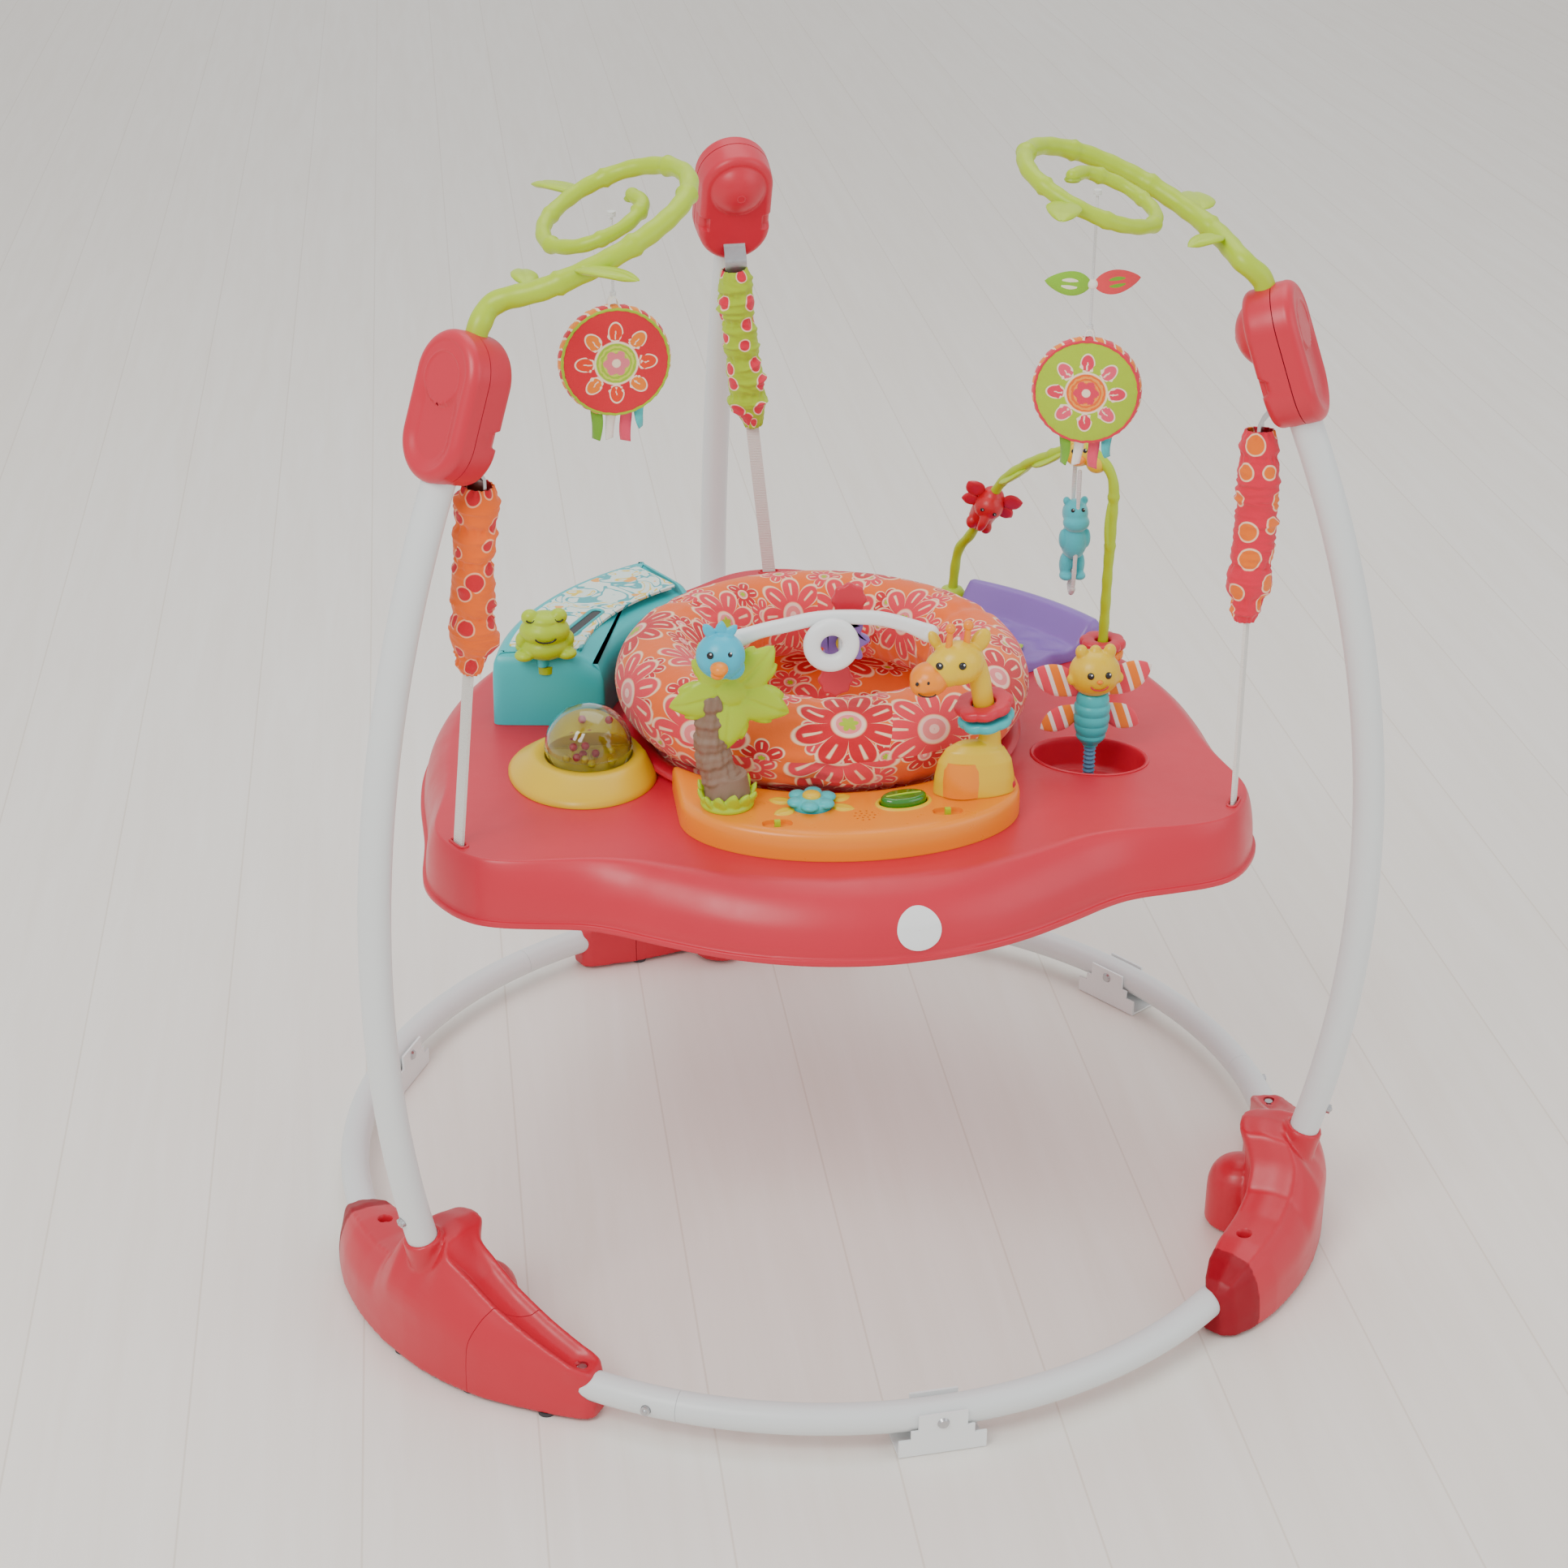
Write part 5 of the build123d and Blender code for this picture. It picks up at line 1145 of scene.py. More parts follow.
for side in ("left", "right"):
    o0, ux, uy, nn = disc_xf(side)
    body = "disc_l" if side == "left" else "disc_r"
    R, nrm, fn = 42.6, 120, vnoise(31 if side == "left" else 37)

    def face_side(sgn, side=side, o0=o0, ux=ux, uy=uy, nn=nn, fn=fn):
        rr = np.concatenate([[0.0], np.linspace(2, 36, 18), np.linspace(37, 40.2, 6)])
        P = np.zeros((nrm, len(rr), 3))
        UV = np.zeros((nrm, len(rr), 2))
        for i in range(nrm):
            t = 2 * pi * i / nrm
            for j, r in enumerate(rr):
                h = 5.2 + 3.6 * math.sqrt(max(0, 1 - (r / 41) ** 2)) + 0.28 * fn(t * 3, r * 0.12) * (r / 40) + 0.35 * math.sin(23 * t + fn(t, 1) * 3) * (r / 41) ** 8
                P[i, j] = o0 + ux * r * math.cos(t) + uy * r * math.sin(t) + nn * h * sgn
                UV[i, j] = (r * math.cos(t) / 40.2, r * math.sin(t) / 40.2)
        v, f, _ = grid(P, cu=True)
        uv = []
        nv = len(rr)
        for i in range(nrm):
            for j in range(nv - 1):
                a = (i + 1) % nrm
                uv.append((UV[i, j], UV[a, j], UV[a, j + 1], UV[i, j + 1]))
        return v, f, uv

    fv = face_side(1)
    bv = face_side(-1)
    prof = []
    P = np.zeros((240, 13, 3))
    for i in range(240):
        t = 2 * pi * i / 240
        for j in range(13):
            s = -1 + j / 6
            pk = 0.42 * math.sin(34 * t + 2.2 * fn(t, 2)) * (abs(s)) ** 0.6
            r = 40.2 + 2.9 * math.sqrt(max(0, 1 - s * s * 0.92)) + pk + 0.25 * fn(5 * t, s * 2)
            P[i, j] = o0 + (ux * math.cos(t) + uy * math.sin(t)) * r + nn * s * 5.4
    gv, gf, guv = grid(P, cu=True, su=2 * pi * 41 / 1000 / 240, sv=0.018 / 12)
    v, f, uv = join((fv[0], fv[1], fv[2]), (bv[0], bv[1], bv[2]), (gv, gf, guv))
    fm = [0] * (len(fv[1]) + len(bv[1])) + [1] * len(gf)
    o = make("padded_disc_" + side, (v, f, uv), body, None, "plush_multi", rep=("hanging_disc_" + side,), mats=[FACES[side], GUS[side]], face_mat=fm, angle=60, weld=1.2)
    for sgn in (-1, 1):
        ring = [o0 + (ux * math.cos(t) + uy * math.sin(t)) * (40.6 + 0.2 * math.sin(34 * t)) + nn * sgn * 5.6 for t in np.linspace(0, 2 * pi, 121)[:-1]]
        Pp = np.zeros((120, 8, 3))
        for i, q in enumerate(ring):
            t = 2 * pi * i / 120
            rad_ = ux * math.cos(t) + uy * math.sin(t)
            for k in range(8):
                Pp[i, k] = q + rad_ * 1.15 * math.cos(k * pi / 4) + nn * 1.15 * math.sin(k * pi / 4)
        make("disc_piping_%s_%s" % (side, "front" if sgn > 0 else "back"), grid(Pp, cu=True, cv=True), body, None, "plush_multi", mats=[PIPE[side]], angle=60)
    # loop at the top and ribbons at the bottom
    loop = []
    for k in range(25):
        t = pi * k / 24
        loop.append(o0 + uy * (41 + 9.0 * math.sin(t)) + ux * 4.2 * math.cos(t))
    Pp = np.array([[q + nn * w for w in (-4.5, 4.5)] for q in loop])
    lo = make("disc_loop_" + side, grid(Pp, su=0.002, sv=0.009), body, None, mats=[RIBBONS[1]], angle=60)
    md = lo.modifiers.new("t", "SOLIDIFY")
    md.thickness = 0.0008
    for k, (x0, ln, wd, mt, sw) in enumerate(((-15, 25, 9, 0, 3), (-4, 22, 8, 1, -2), (8, 26, 9, 2, 2), (18, 19, 8, 3, -3))):
        rows = []
        for j in range(22):
            t = j / 21
            y = -(R * math.sqrt(max(0, 1 - (x0 / R) ** 2)) - 3.5) - ln * t
            dn = sw * math.sin(3.0 * t + k) * t + 1.2 * math.sin(7 * t + k)
            c = o0 + uy * y + ux * (x0 + 1.3 * math.sin(4 * t + k) * t) + nn * dn
            wv = unit(ux * math.cos(0.35 * t * sw) + nn * math.sin(0.35 * t * sw))
            rows.append([c + wv * wd * s for s in (-0.5, -0.17, 0.17, 0.5)])
        rb = make("disc_ribbon_%s_%d" % (side, k), grid(np.array(rows), su=0.0012, sv=0.003), body, None, mats=[RIBBONS[mt]], angle=60)
        md = rb.modifiers.new("t", "SOLIDIFY")
        md.thickness = 0.0007

LEAFM = fabric("felt_leaf", (146, 190, 60))
LEAFB = fabric("felt_leaf_edge", (240, 236, 214))
LEAFC = fabric("felt_leaf_coral", (232, 92, 100))
c, e1, e2 = vine_frame("right")
lc = arr(c[0], c[1], 843)
for k, (sx, mt) in enumerate(((-1, LEAFM), (1, LEAFC))):
    base, tip = lc + arr(sx * 1.0, 0, -0.5), lc + arr(sx * 38, 0.4 * sx, 4)
    lb = leaf(base, tip, 19.5, 3.4, up=(0, -1, 0), bend=1.4, rib=0.0, blunt=0.8)
    make("hanging_leaf_%d" % k, lb, "string_r", None, "plush_multi" if k == 0 else None, rep=("hanging_leaf_pair",) if k == 0 else (), mats=[mt], angle=60)
    b2 = leaf(base + (tip - base) * 0.10, base + (tip - base) * 0.9, 13.5, 4.0, up=(0, -1, 0), bend=1.4, rib=0.5, blunt=0.8)
    make("hanging_leaf_patch_%d" % k, b2, "string_r", None, mats=[LEAFB if k == 0 else RIBBONS[0]], angle=60)
make("hanging_leaf_knot", ell(lc, (4.2, 3.0, 4.0)), "string_r", None, mats=[RIBBONS[1]], angle=60)

# ------------------------------------------------------------------ tray: one moulded skin, outside and inside
KD = [0, 4, 7, 10, 13, 17, 22, 30, 40, 50, 60]
RIM_FRONT = [378, 376, 368, 352, 337, 320, 313, 312, 315, 317, 318]
RIM_SIDE = [378, 376, 369, 361, 353, 346, 342, 340, 340, 340, 340]
TOP_FRONT = [369.5, 367, 354, 334, 314, 296, 284, 279, 277, 276, 275]
TOP_SIDE = [369.5, 367, 358, 346, 336, 326, 319, 314, 312, 311, 310]


def tab(T, d):
    return np.interp(d, KD, T)


def tray_r(th, mix):
    d = min(abs((th - c + 180) % 360 - 180) for c in LOBE.values())
    d = math.sqrt(d * d + 1.2) - 0.5
    t = (th + 180) % 360 - 180
    w = sstep((t + 156) / 12.0) * sstep((-24 - t) / 12.0)
    rim = tab(RIM_FRONT, d) * w + tab(RIM_SIDE, d) * (1 - w)
    top = tab(TOP_FRONT, d) * w + tab(TOP_SIDE, d) * (1 - w)
    return rim * (1 - mix) + top * mix


NT_ = 360
PR = np.array([[tray_r(i * 360 / NT_, m) for i in range(NT_)] for m in (0, 1)])
for k in range(2):
    q = np.concatenate([PR[k][-6:], PR[k], PR[k][:6]])
    PR[k] = np.convolve(q, np.ones(5) / 5, "same")[6:-6]


def tray_ring(mix, grow, z):
    r = PR[0] * (1 - mix) + PR[1] * mix + grow
    t = np.arange(NT_) * 2 * pi / NT_
    return np.c_[r * np.cos(t), r * np.sin(t), np.full(NT_, z)]


rows = [tray_ring(0, -2.6, 380.2), tray_ring(0, 2.4, 380.0), tray_ring(0, 3.0, 380.8), tray_ring(0, 3.0, 384.0), tray_ring(0, 2.4, 384.8), tray_ring(0, 0.6, 385.2), tray_ring(0.01, 0, 386.5)]
sh = curve([(0.015, 389), (0.05, 395), (0.17, 407), (0.35, 417), (0.55, 424.5), (0.75, 429.5), (0.9, 432.2), (1.02, 433.0), (1.14, 433.0)], 4)
rows += [tray_ring(m, 0, z) for m, z in sh]
rt = tray_ring(1.14, 0, 433.0)
t_ = np.arange(NT_) * 2 * pi / NT_
lipo = np.c_[168 * np.cos(t_), 168 * np.sin(t_), np.full(NT_, 433.0)]
for q in np.linspace(0.08, 1, 16):
    rows.append(rt * (1 - q) + lipo * q)
for r, z in ((166.5, 433.9), (165, 434.6), (163.2, 434.4), (161.5, 433.2), (160.0, 431.5), (158.6, 429.0), (158.2, 426), (158.2, 403.5), (158.6, 402.2), (160.8, 402.0), (161.0, 404), (161.0, 427.5), (163, 429.6)):
    rows.append(np.c_[r * np.cos(t_), r * np.sin(t_), np.full(NT_, z)])
inn = tray_ring(1.08, -3, 429.8)
w0 = rows[-1]
for q in (0.25, 0.5, 0.75, 1.0):
    rows.append(w0 * (1 - q) + inn * q)
for m, z in ((0.98, 429.6), (0.75, 426.6), (0.35, 414.2), (0.05, 393.5), (0.0, 384)):
    rows.append(tray_ring(m, -3, z))
P = np.array(rows).transpose(1, 0, 2)
v, f, uv = grid(P, cu=True, cv=True)
shell = (v, f)
cutters = []
cu_ = [(CUP[0] + 47.5 * math.cos(t) * cs(-20)[0] - 35.5 * math.sin(t) * cs(-20)[1], CUP[1] + 47.5 * math.cos(t) * cs(-20)[1] + 35.5 * math.sin(t) * cs(-20)[0]) for t in np.linspace(0, 2 * pi, 73)[:-1]]
cutters.append(prism(cu_, 400, 450, 0.01, 1))
cutters.append(lathe([(35.2, 0), (35.2, 40)], (BALL[0], BALL[1], 415), n=64, cap0=True, cap1=True))
for side, a in LOBE.items():
    q = pol(361.5, a, 0)
    u, w = arr(*cs(a), 0), arr(-cs(a)[1], cs(a)[0], 0)
    cutters.append(prism([tuple((q + u * x + w * y)[:2]) for x, y in ((-3.0, -9), (3.0, -9), (3.0, 9), (-3.0, 9))], 420, 445, 0.01, 1))
shell = cut(shell, cutters)
make("tray_moulding", shell, "tray", "coral", "coral_plastic", rep=("tray_shell",), angle=40)
# oval cup and slot collars
cup = []
for s, z in ((50.2, 432.6), (50.2, 433.6), (48.9, 434.3), (47.4, 433.7), (46.6, 432.0), (46.0, 428), (45.2, 411), (43.6, 407.2), (40.0, 405.2), (30, 404.6), (10, 404.5), (0.2, 404.5)):
    k = s / 47.5
    cup.append([(CUP[0] + k * 47.5 * math.cos(t) * cs(-20)[0] - (k * 47.5 - 12 * min(1, k)) * math.sin(t) * cs(-20)[1], CUP[1] + k * 47.5 * math.cos(t) * cs(-20)[1] + (k * 47.5 - 12 * min(1, k)) * math.sin(t) * cs(-20)[0], z) for t in np.linspace(0, 2 * pi, 73)[:-1]])
cup = np.array(cup).transpose(1, 0, 2)
cv_, cf_, _ = grid(cup, cu=True)
cupo = make("tray_cup", (cv_, cf_), "tray", "coral", "coral_plastic", angle=50, weld=0.3, recalc=True)
mdc = cupo.modifiers.new("t", "SOLIDIFY")
mdc.thickness = 0.002
for side, a in LOBE.items():
    q = pol(361.5, a, 433.0)
    u, w = arr(*cs(a), 0), arr(-cs(a)[1], cs(a)[0], 0)
    rows = []
    for gx, gz in ((4.6, -0.4), (4.6, 0.9), (3.9, 1.5), (3.0, 1.3), (2.6, 0.6), (2.6, -6.0)):
        ring = []
        for t in np.linspace(0, 2 * pi, 49)[:-1]:
            sx, sy = math.cos(t), math.sin(t)
            ring.append(q + u * np.sign(sx) * abs(sx) ** 0.5 * gx + w * np.sign(sy) * abs(sy) ** 0.5 * (gx + 6.0) + arr(0, 0, gz))
        rows.append(ring)
    make("strap_slot_collar_" + side, grid(np.array(rows).transpose(1, 0, 2), cu=True), "tray", "coral", "coral_plastic", angle=50)
    # a black sheet inside each strap slot, below the tray skin: painted shade in the slot opening
    make("strap_slot_painted_shade_" + side, prism([tuple((q + u * x + w * y)[:2]) for x, y in ((-3.2, -9), (3.2, -9), (3.2, 9), (-3.2, 9))], 424, 425, 0.01, 1), "tray", "dark")
# screw bosses under the deck stay hidden behind the retainer ring
bs = [lathe([(5, 0), (5, 34.6)], (176 * cs(10 + 60 * k)[0], 176 * cs(10 + 60 * k)[1], 395), n=24, cap0=True, cap1=True) for k in range(6)]
make("tray_bosses", join(*bs), "tray", "coral", "coral_plastic")

# ------------------------------------------------------------------ seat: red ring, floral bolster with gathers, fabric sling
make("seat_turning_ring", lathe([(150, 396.2), (160.0, 396.2), (160.4, 397), (160.4, 400), (157.2, 402.4), (157, 434), (157.6, 434.6), (166.0, 435.0), (169.2, 436.4), (170.2, 438.6), (169.0, 441.0), (165.0, 442.2), (158, 441.4), (150.6, 438.5), (150, 437)], n=180, closed=True), "seat", "coral", "coral_plastic", rep=("seat_ring",), angle=50)
fn1, fn2, fn3 = vnoise(101), vnoise(102), vnoise(103)
NU, NVV = 300, 84
seams = [0.35, 2.45, 4.55]
P = np.zeros((NU, NVV, 3))
for i in range(NU):
    t = 2 * pi * i / NU
    sd = min(abs((t - s + pi) % (2 * pi) - pi) for s in seams)
    g = math.exp(-(sd / 0.05) ** 2)
    g2 = math.exp(-(sd / 0.22) ** 2)
    for j in range(NVV):
        a = 2 * pi * j / NVV
        ca, sa = math.cos(a), math.sin(a)
        r = 37.4 + 0.9 * fn1(2 * t, a) + 0.55 * fn2(5 * t, 2 * a)
        # gathers run across the roll at its two lines of stitching
        inner = math.exp(-((a - pi * 1.12) / 0.65) ** 2)
        outer = math.exp(-(((a + pi) % (2 * pi) - pi + 1.05) / 0.45) ** 2)
        pk = math.sin(58 * t + 4 * fn3(t * 4, 1.0)) + 0.5 * math.sin(97 * t + 5 * fn3(t * 3, 2.0))
        r += 1.25 * pk * (inner + 0.9 * outer) * (0.55 + 0.45 * fn2(3 * t, 0.3) ** 2)
        r += 0.8 * g2 * math.sin(16 * a + 3 * fn1(t * 8, a)) * (0.5 + 0.5 * abs(ca))
        r -= 2.4 * g
        r = min(r, 39.6)
        rr, zz = 138.0 + r * ca, 482.5 + r * sa * 1.0
        zz = max(zz, 443.0 + 0.6 * fn2(5 * t, a)) if rr > 128 else zz
        P[i, j] = (rr * math.cos(t), rr * math.sin(t), zz)
v, f, uv = grid(P, cu=True, cv=True, su=2 * pi * 138 / 1000 / NU, sv=2 * pi * 38 / 1000 / NVV)
o = make("seat_bolster", (v, f, uv), "seat", "floral", "seat_orange", rep=("seat_cushion",), angle=80)

# sling: wrinkled cloth bowl with two leg holes
prof = curve([(148, 446), (147.6, 436), (146.6, 426), (138, 411), (126, 399.5), (115, 382), (101.5, 361.5), (90, 349), (77, 338), (56, 333.5), (30, 331), (0.5, 330)], 6)
holes = []
for sx in (-1, 1):
    d = unit((sx * 0.62, -0.72, -0.31))
    holes.append((arr(sx * 20, -20, 372), d))
NS = 200
P = np.zeros((NS, len(prof), 3))
for i in range(NS):
    t = 2 * pi * i / NS
    for j, (r, z) in enumerate(prof):
        k = r / 148
        w = 1.2 * fn1(3 * t, z * 0.05) + 1.0 * math.sin(22 * t + 2 * fn2(t, 1)) * k ** 3 + 0.8 * fn2(8 * t, z * 0.12)
        w *= min(1, r / 40) * (0.25 if z > 425 else 1)
        P[i, j] = ((r + w * 0.8) * math.cos(t), (r + w * 0.8) * math.sin(t), z + w * 0.5)
v, f, uv = grid(P, cu=True, su=2 * pi * 120 / 1000 / NS, sv=0.27 / len(prof))
keep, kuv = [], []
V_ = v.copy()
for base, d in holes:
    rel = V_ - base
    ax = rel @ d
    per = rel - ax[:, None] * d
    dist = np.linalg.norm(per, axis=1)
    near = (ax > 0) & (np.abs(dist - 42) < 2.6)
    for i in np.where(near)[0]:
        V_[i] = base + d * ax[i] + per[i] / dist[i] * 42.0
for q, u in zip(f, uv):
    c = V_[list(q)].mean(0)
    inside = False
    for base, d in holes:
        rel = c - base
        ax = rel @ d
        if ax > 0 and np.linalg.norm(rel - ax * d) < 42.0:
            inside = True
    if not inside:
        keep.append(q)
        kuv.append(u)
o = make("seat_sling_cloth", (V_, keep, kuv), "seat", "floral", "seat_orange", rep=("seat_sling",), angle=80)
md = o.modifiers.new("t", "SOLIDIFY")
md.thickness = 0.0012
md.offset = 0.0
o if SHEETS else None

# ------------------------------------------------------------------ slide unit and frog
FROG0 = arr(-232, 36, 0)
FD = arr(0.5, 0.866, 0)
FN = arr(-0.866, 0.5, 0)


def sector(r0, r1, a0, a1, prof, n=90, lean=0.0):
    """block over a ring sector; prof is (inset, z) from the foot up, closed on top"""
    rows = []
    for ins, z in prof:
        ring = []
        out = []
        for a in np.linspace(a0, a1, n):
            out.append((r1, a))
        side1 = [(r, a1) for r in np.linspace(r1, r0, 24)[1:-1]]
        inn_ = [(r0, a) for a in np.linspace(a1, a0, n)]
        side0 = [(r, a0) for r in np.linspace(r0, r1, 24)[1:-1]]
        for r, a in out + side1 + inn_ + side0:
            ring.append(pol(r, a, z)[:2])
        ring = np.array(ring)
        m = len(ring)
        for _ in range(4):
            ring = 0.5 * ring + 0.25 * (np.roll(ring, 1, 0) + np.roll(ring, -1, 0))
        e = np.roll(ring, -1, 0) - np.roll(ring, 1, 0)
        nr = np.c_[-e[:, 1], e[:, 0]]
        nr /= np.linalg.norm(nr, axis=1)[:, None]
        q = ring + nr * ins
        rows.append(np.c_[q, np.full(m, z)])
    P = np.array(rows).transpose(1, 0, 2)
    return grid(P, cu=True, cap0=True, cap1=True)


blk = sector(184, 281, 117.5, 172.5, [(0, 433.3), (0, 440), (0.6, 478), (1.6, 488), (4.2, 494.5), (8, 497.4), (11, 498)])
v, f, _ = blk
v = v.copy()
r_ = np.hypot(v[:, 0], v[:, 1])
drop = sstep((214 - r_) / 30.0) * 14 * sstep((v[:, 2] - 440) / 40)
v[:, 2] -= drop
blk = (v, f)
make("slide_block", blk, "tray", "aqua", "aqua_plastic", rep=("slide_unit",), angle=35)


def slot_outline(L, W, n=20):
    out = []
    for k in range(n + 1):
        t = -pi / 2 + pi * k / n
        out.append((L / 2 - W / 2 + W / 2 * math.cos(t), W / 2 * math.sin(t)))
    for k in range(n + 1):
        t = pi / 2 + pi * k / n
        out.append((-L / 2 + W / 2 + W / 2 * math.cos(t), W / 2 * math.sin(t)))
    return [tuple((FROG0 + FD * (46 + x) + FN * y)[:2]) for x, y in out]


# a black sheet filling the slider slot just under its lip: painted shade in the slot
make("slide_slot_painted_shade", prism(slot_outline(114, 10.5), 497.6, 498.3, 0.01, 1), "tray", "dark")
lipz = np.array([[(p[0], p[1], z) for p in slot_outline(L, W)] for L, W, z in ((118, 14.4, 497.6), (117.4, 13.8, 499.2), (115.6, 12, 499.9), (113.4, 9.8, 499.4), (112.2, 8.6, 497.6), (112.2, 8.6, 489))]).transpose(1, 0, 2)
make("slide_slot_lip", grid(lipz, cu=True), "tray", "aqua", "aqua_plastic", angle=50)
# printed top panel and its generic squiggle
PAN = new_mat("slide_panel_print")
m, nt, b = PAN
vec = coords(nt)
w1 = noise(nt, vec, 26.0, 2.0, 0.5, 1.2)
w2 = noise(nt, vec, 44.0, 1.0, 0.5, 0.6)
base = mixc(nt, w1, lin((206, 232, 230)), lin((236, 240, 228)))
line = ((w1 - 0.52).abs()).less(0.018, 0.01)
line2 = ((w1 - 0.44).abs()).less(0.012, 0.008)
c_ = mixc(nt, line, base, lin((36, 166, 172)))
c_ = mixc(nt, line2, c_, lin((232, 206, 44)))
c_ = mixc(nt, w2.step(0.66, 0.01), c_, lin((240, 176, 40)))
nt.links.new(c_, b.inputs["Base Color"])
b.inputs["Roughness"].default_value = 0.16
b.inputs["Coat Weight"].default_value = 0.5
pn = sector(205, 268, 121.5, 168.5, [(0, 496.4), (0, 498.6), (0.5, 499.0)])
pn = cut(pn, [prism(slot_outline(119, 15.2), 480, 520, 0.01, 1)])
make("slide_panel", pn, "tray", None, mats=[m], angle=30)

F0 = FROG0 + arr(0, 0, 0)
bodyf = fuse([ell(F0 + arr(0, 0, 506), (21, 19, 12)), ell(F0 + arr(0, -1, 520), (21.5, 18.5, 13)), ell(F0 + arr(0, -2, 530), (14, 13, 7)),
              ell(F0 + arr(-12, -3, 533), (7.6, 7, 7)), ell(F0 + arr(12, -3, 533), (7.6, 7, 7)),
              ell(F0 + arr(-18, -9, 501), (8.5, 8.5, 5)), ell(F0 + arr(18, -8, 501), (8.5, 8.5, 5)), ell(F0 + arr(-17, 10, 501), (8, 8, 5)), ell(F0 + arr(17, 10, 501), (8, 8, 5)),
              ell(F0 + arr(-20, -2, 512), (5, 6, 7)), ell(F0 + arr(20, -2, 512), (5, 6, 7)),
              lathe([(3.7, 488), (3.7, 500)], F0, n=24, cap0=True, cap1=True)], 0.9, 4)
make("frog_body", bodyf, "frog_slider", "lime", "lime_plastic", rep=("frog",), angle=60)
make("frog_foot", lathe([(7.2, 481), (7.2, 487.6)], F0, n=32, cap0=True, cap1=True), "frog_slider", "lime2", "lime_plastic")


def arc_line(c, r, a0, a1, nrm, up=(0, 0, 1), ry=None):
    a, b, d = basis(nrm, up)
    ry = r if ry is None else ry
    return [np.asarray(c, float) + a * r * math.cos(rad(t)) + b * ry * math.sin(rad(t)) for t in np.linspace(a0, a1, 15)]


make("frog_smile", tube(arc_line(F0 + arr(0, -20.4, 521), 9, 200, 340, (0, -1, 0), ry=5), 0.75, 8, 2), "frog_slider", "dark", angle=60)
for k, sx in enumerate((-1, 1)):
    make("frog_eyelid_%d" % k, tube(arc_line(F0 + arr(sx * 12, -10.2, 533.5), 3.4, 200, 340, (0, -1, 0), ry=2.6), 0.65, 8, 2), "frog_slider", "dark", angle=60)

# ------------------------------------------------------------------ clear bead ball in its sloped bezel
rows = []
A0, B0 = arr(BALL[0] - 4, BALL[1] - 6, 0), arr(BALL[0], BALL[1], 0)
for k, (q, z, g) in enumerate([(0, 433.2, 0), (0.0, 435.2, 0), (0.12, 438.4, 0), (0.3, 441.4, 0), (0.55, 445, 0.6), (0.8, 448.4, 0.6), (0.92, 450.4, 0.2), (1.0, 451.3, -1.6), (1.03, 451.1, -4.2), (1.05, 450.0, -6.4), (1.05, 446, -8.2), (1.05, 434, -9.0)]):
    ring = []
    for t in np.linspace(0, 2 * pi, 129)[:-1]:
        tear = 9.0 * max(0, math.cos(t - 2.2)) ** 3
        x = (60 + tear) * (1 - q) + 46 * min(q, 1) + g * (1 if q < 1 else 1)
        y = (64 + tear) * (1 - q) + 46 * min(q, 1) + g
        c = A0 * (1 - min(q, 1)) + B0 * min(q, 1)
        p = c + arr(x * math.cos(t), y * math.sin(t), z)
        rr = math.hypot(p[0], p[1])
        if rr < 169:
            p[0] *= 169 / rr
            p[1] *= 169 / rr
        ring.append(p)
    rows.append(ring)
make("bead_ball_bezel", grid(np.array(rows).transpose(1, 0, 2), cu=True), "tray", "yellow", "yellow_plastic", rep=("ball_bezel",), angle=45)
BC = arr(*BALL[:3])
sp = lathe([(0.05, -35.99)] + [(36 * math.sin(t), -36 * math.cos(t)) for t in np.linspace(0.06, pi - 0.06, 60)] + [(0.05, 35.99)], BC, (1, 0, 0), 96, cap0=True, cap1=True)
si = lathe([(0.05, -34.5)] + [(34.5 * math.sin(t), -34.5 * math.cos(t)) for t in np.linspace(0.06, pi - 0.06, 60)] + [(0.05, 34.5)], BC, (1, 0, 0), 96, cap0=True, cap1=True)
vs, fs, us = si
sb = join(sp, (vs, [q[::-1] for q in fs], us))
make("bead_ball_shell", sb, "ball", "clear", "clear_plastic", rep=("bead_ball",), angle=60, recalc=False)
make("bead_ball_seam", lathe([(36.0, -0.6), (36.45, -0.3), (36.45, 0.3), (36.0, 0.6)], BC, (0, 0, 1), 96), "ball", "clear", "clear_plastic", recalc=True)
plates = []
for rot in (45, 135):
    pl = prism([(x, y) for x, y in [(33 * math.cos(t), 33 * math.sin(t)) for t in np.linspace(0, 2 * pi, 49)[:-1]]], -0.9, 0.9, 0.3, 2, plane=((1, 0, 0), (0, cs(rot)[0], cs(rot)[1]), (0, -cs(rot)[1], cs(rot)[0])), at=BC, both=True)
    plates.append(pl)
make("bead_ball_plates", join(*plates), "ball", "yellow", "clear_plastic", angle=40)
make("bead_ball_axle", lathe([(2.4, -35), (2.4, 35)], BC, (1, 0, 0), 20, cap0=True, cap1=True), "ball", "yellow")
rs = np.random.RandomState(4)
bd, by_ = [], []
for k in range(26):
    q = 0
    ang = rs.uniform(0, 2 * pi)
    rr = rs.uniform(8, 27)
    x = rs.uniform(-22, 22)
    if math.hypot(x, rr) > 28:
        continue
    p = BC + arr(x, rr * math.cos(ang), rr * math.sin(ang))
    (bd if k % 2 else by_).append(ell(p, 3.4, 14, 9))
make("bead_ball_beads_red", join(*bd), "ball", "red", "coral_plastic", angle=60)
make("bead_ball_beads_yellow", join(*by_), "ball", "yellow", "yellow_plastic", angle=60)

# ------------------------------------------------------------------ music base, keys and switches


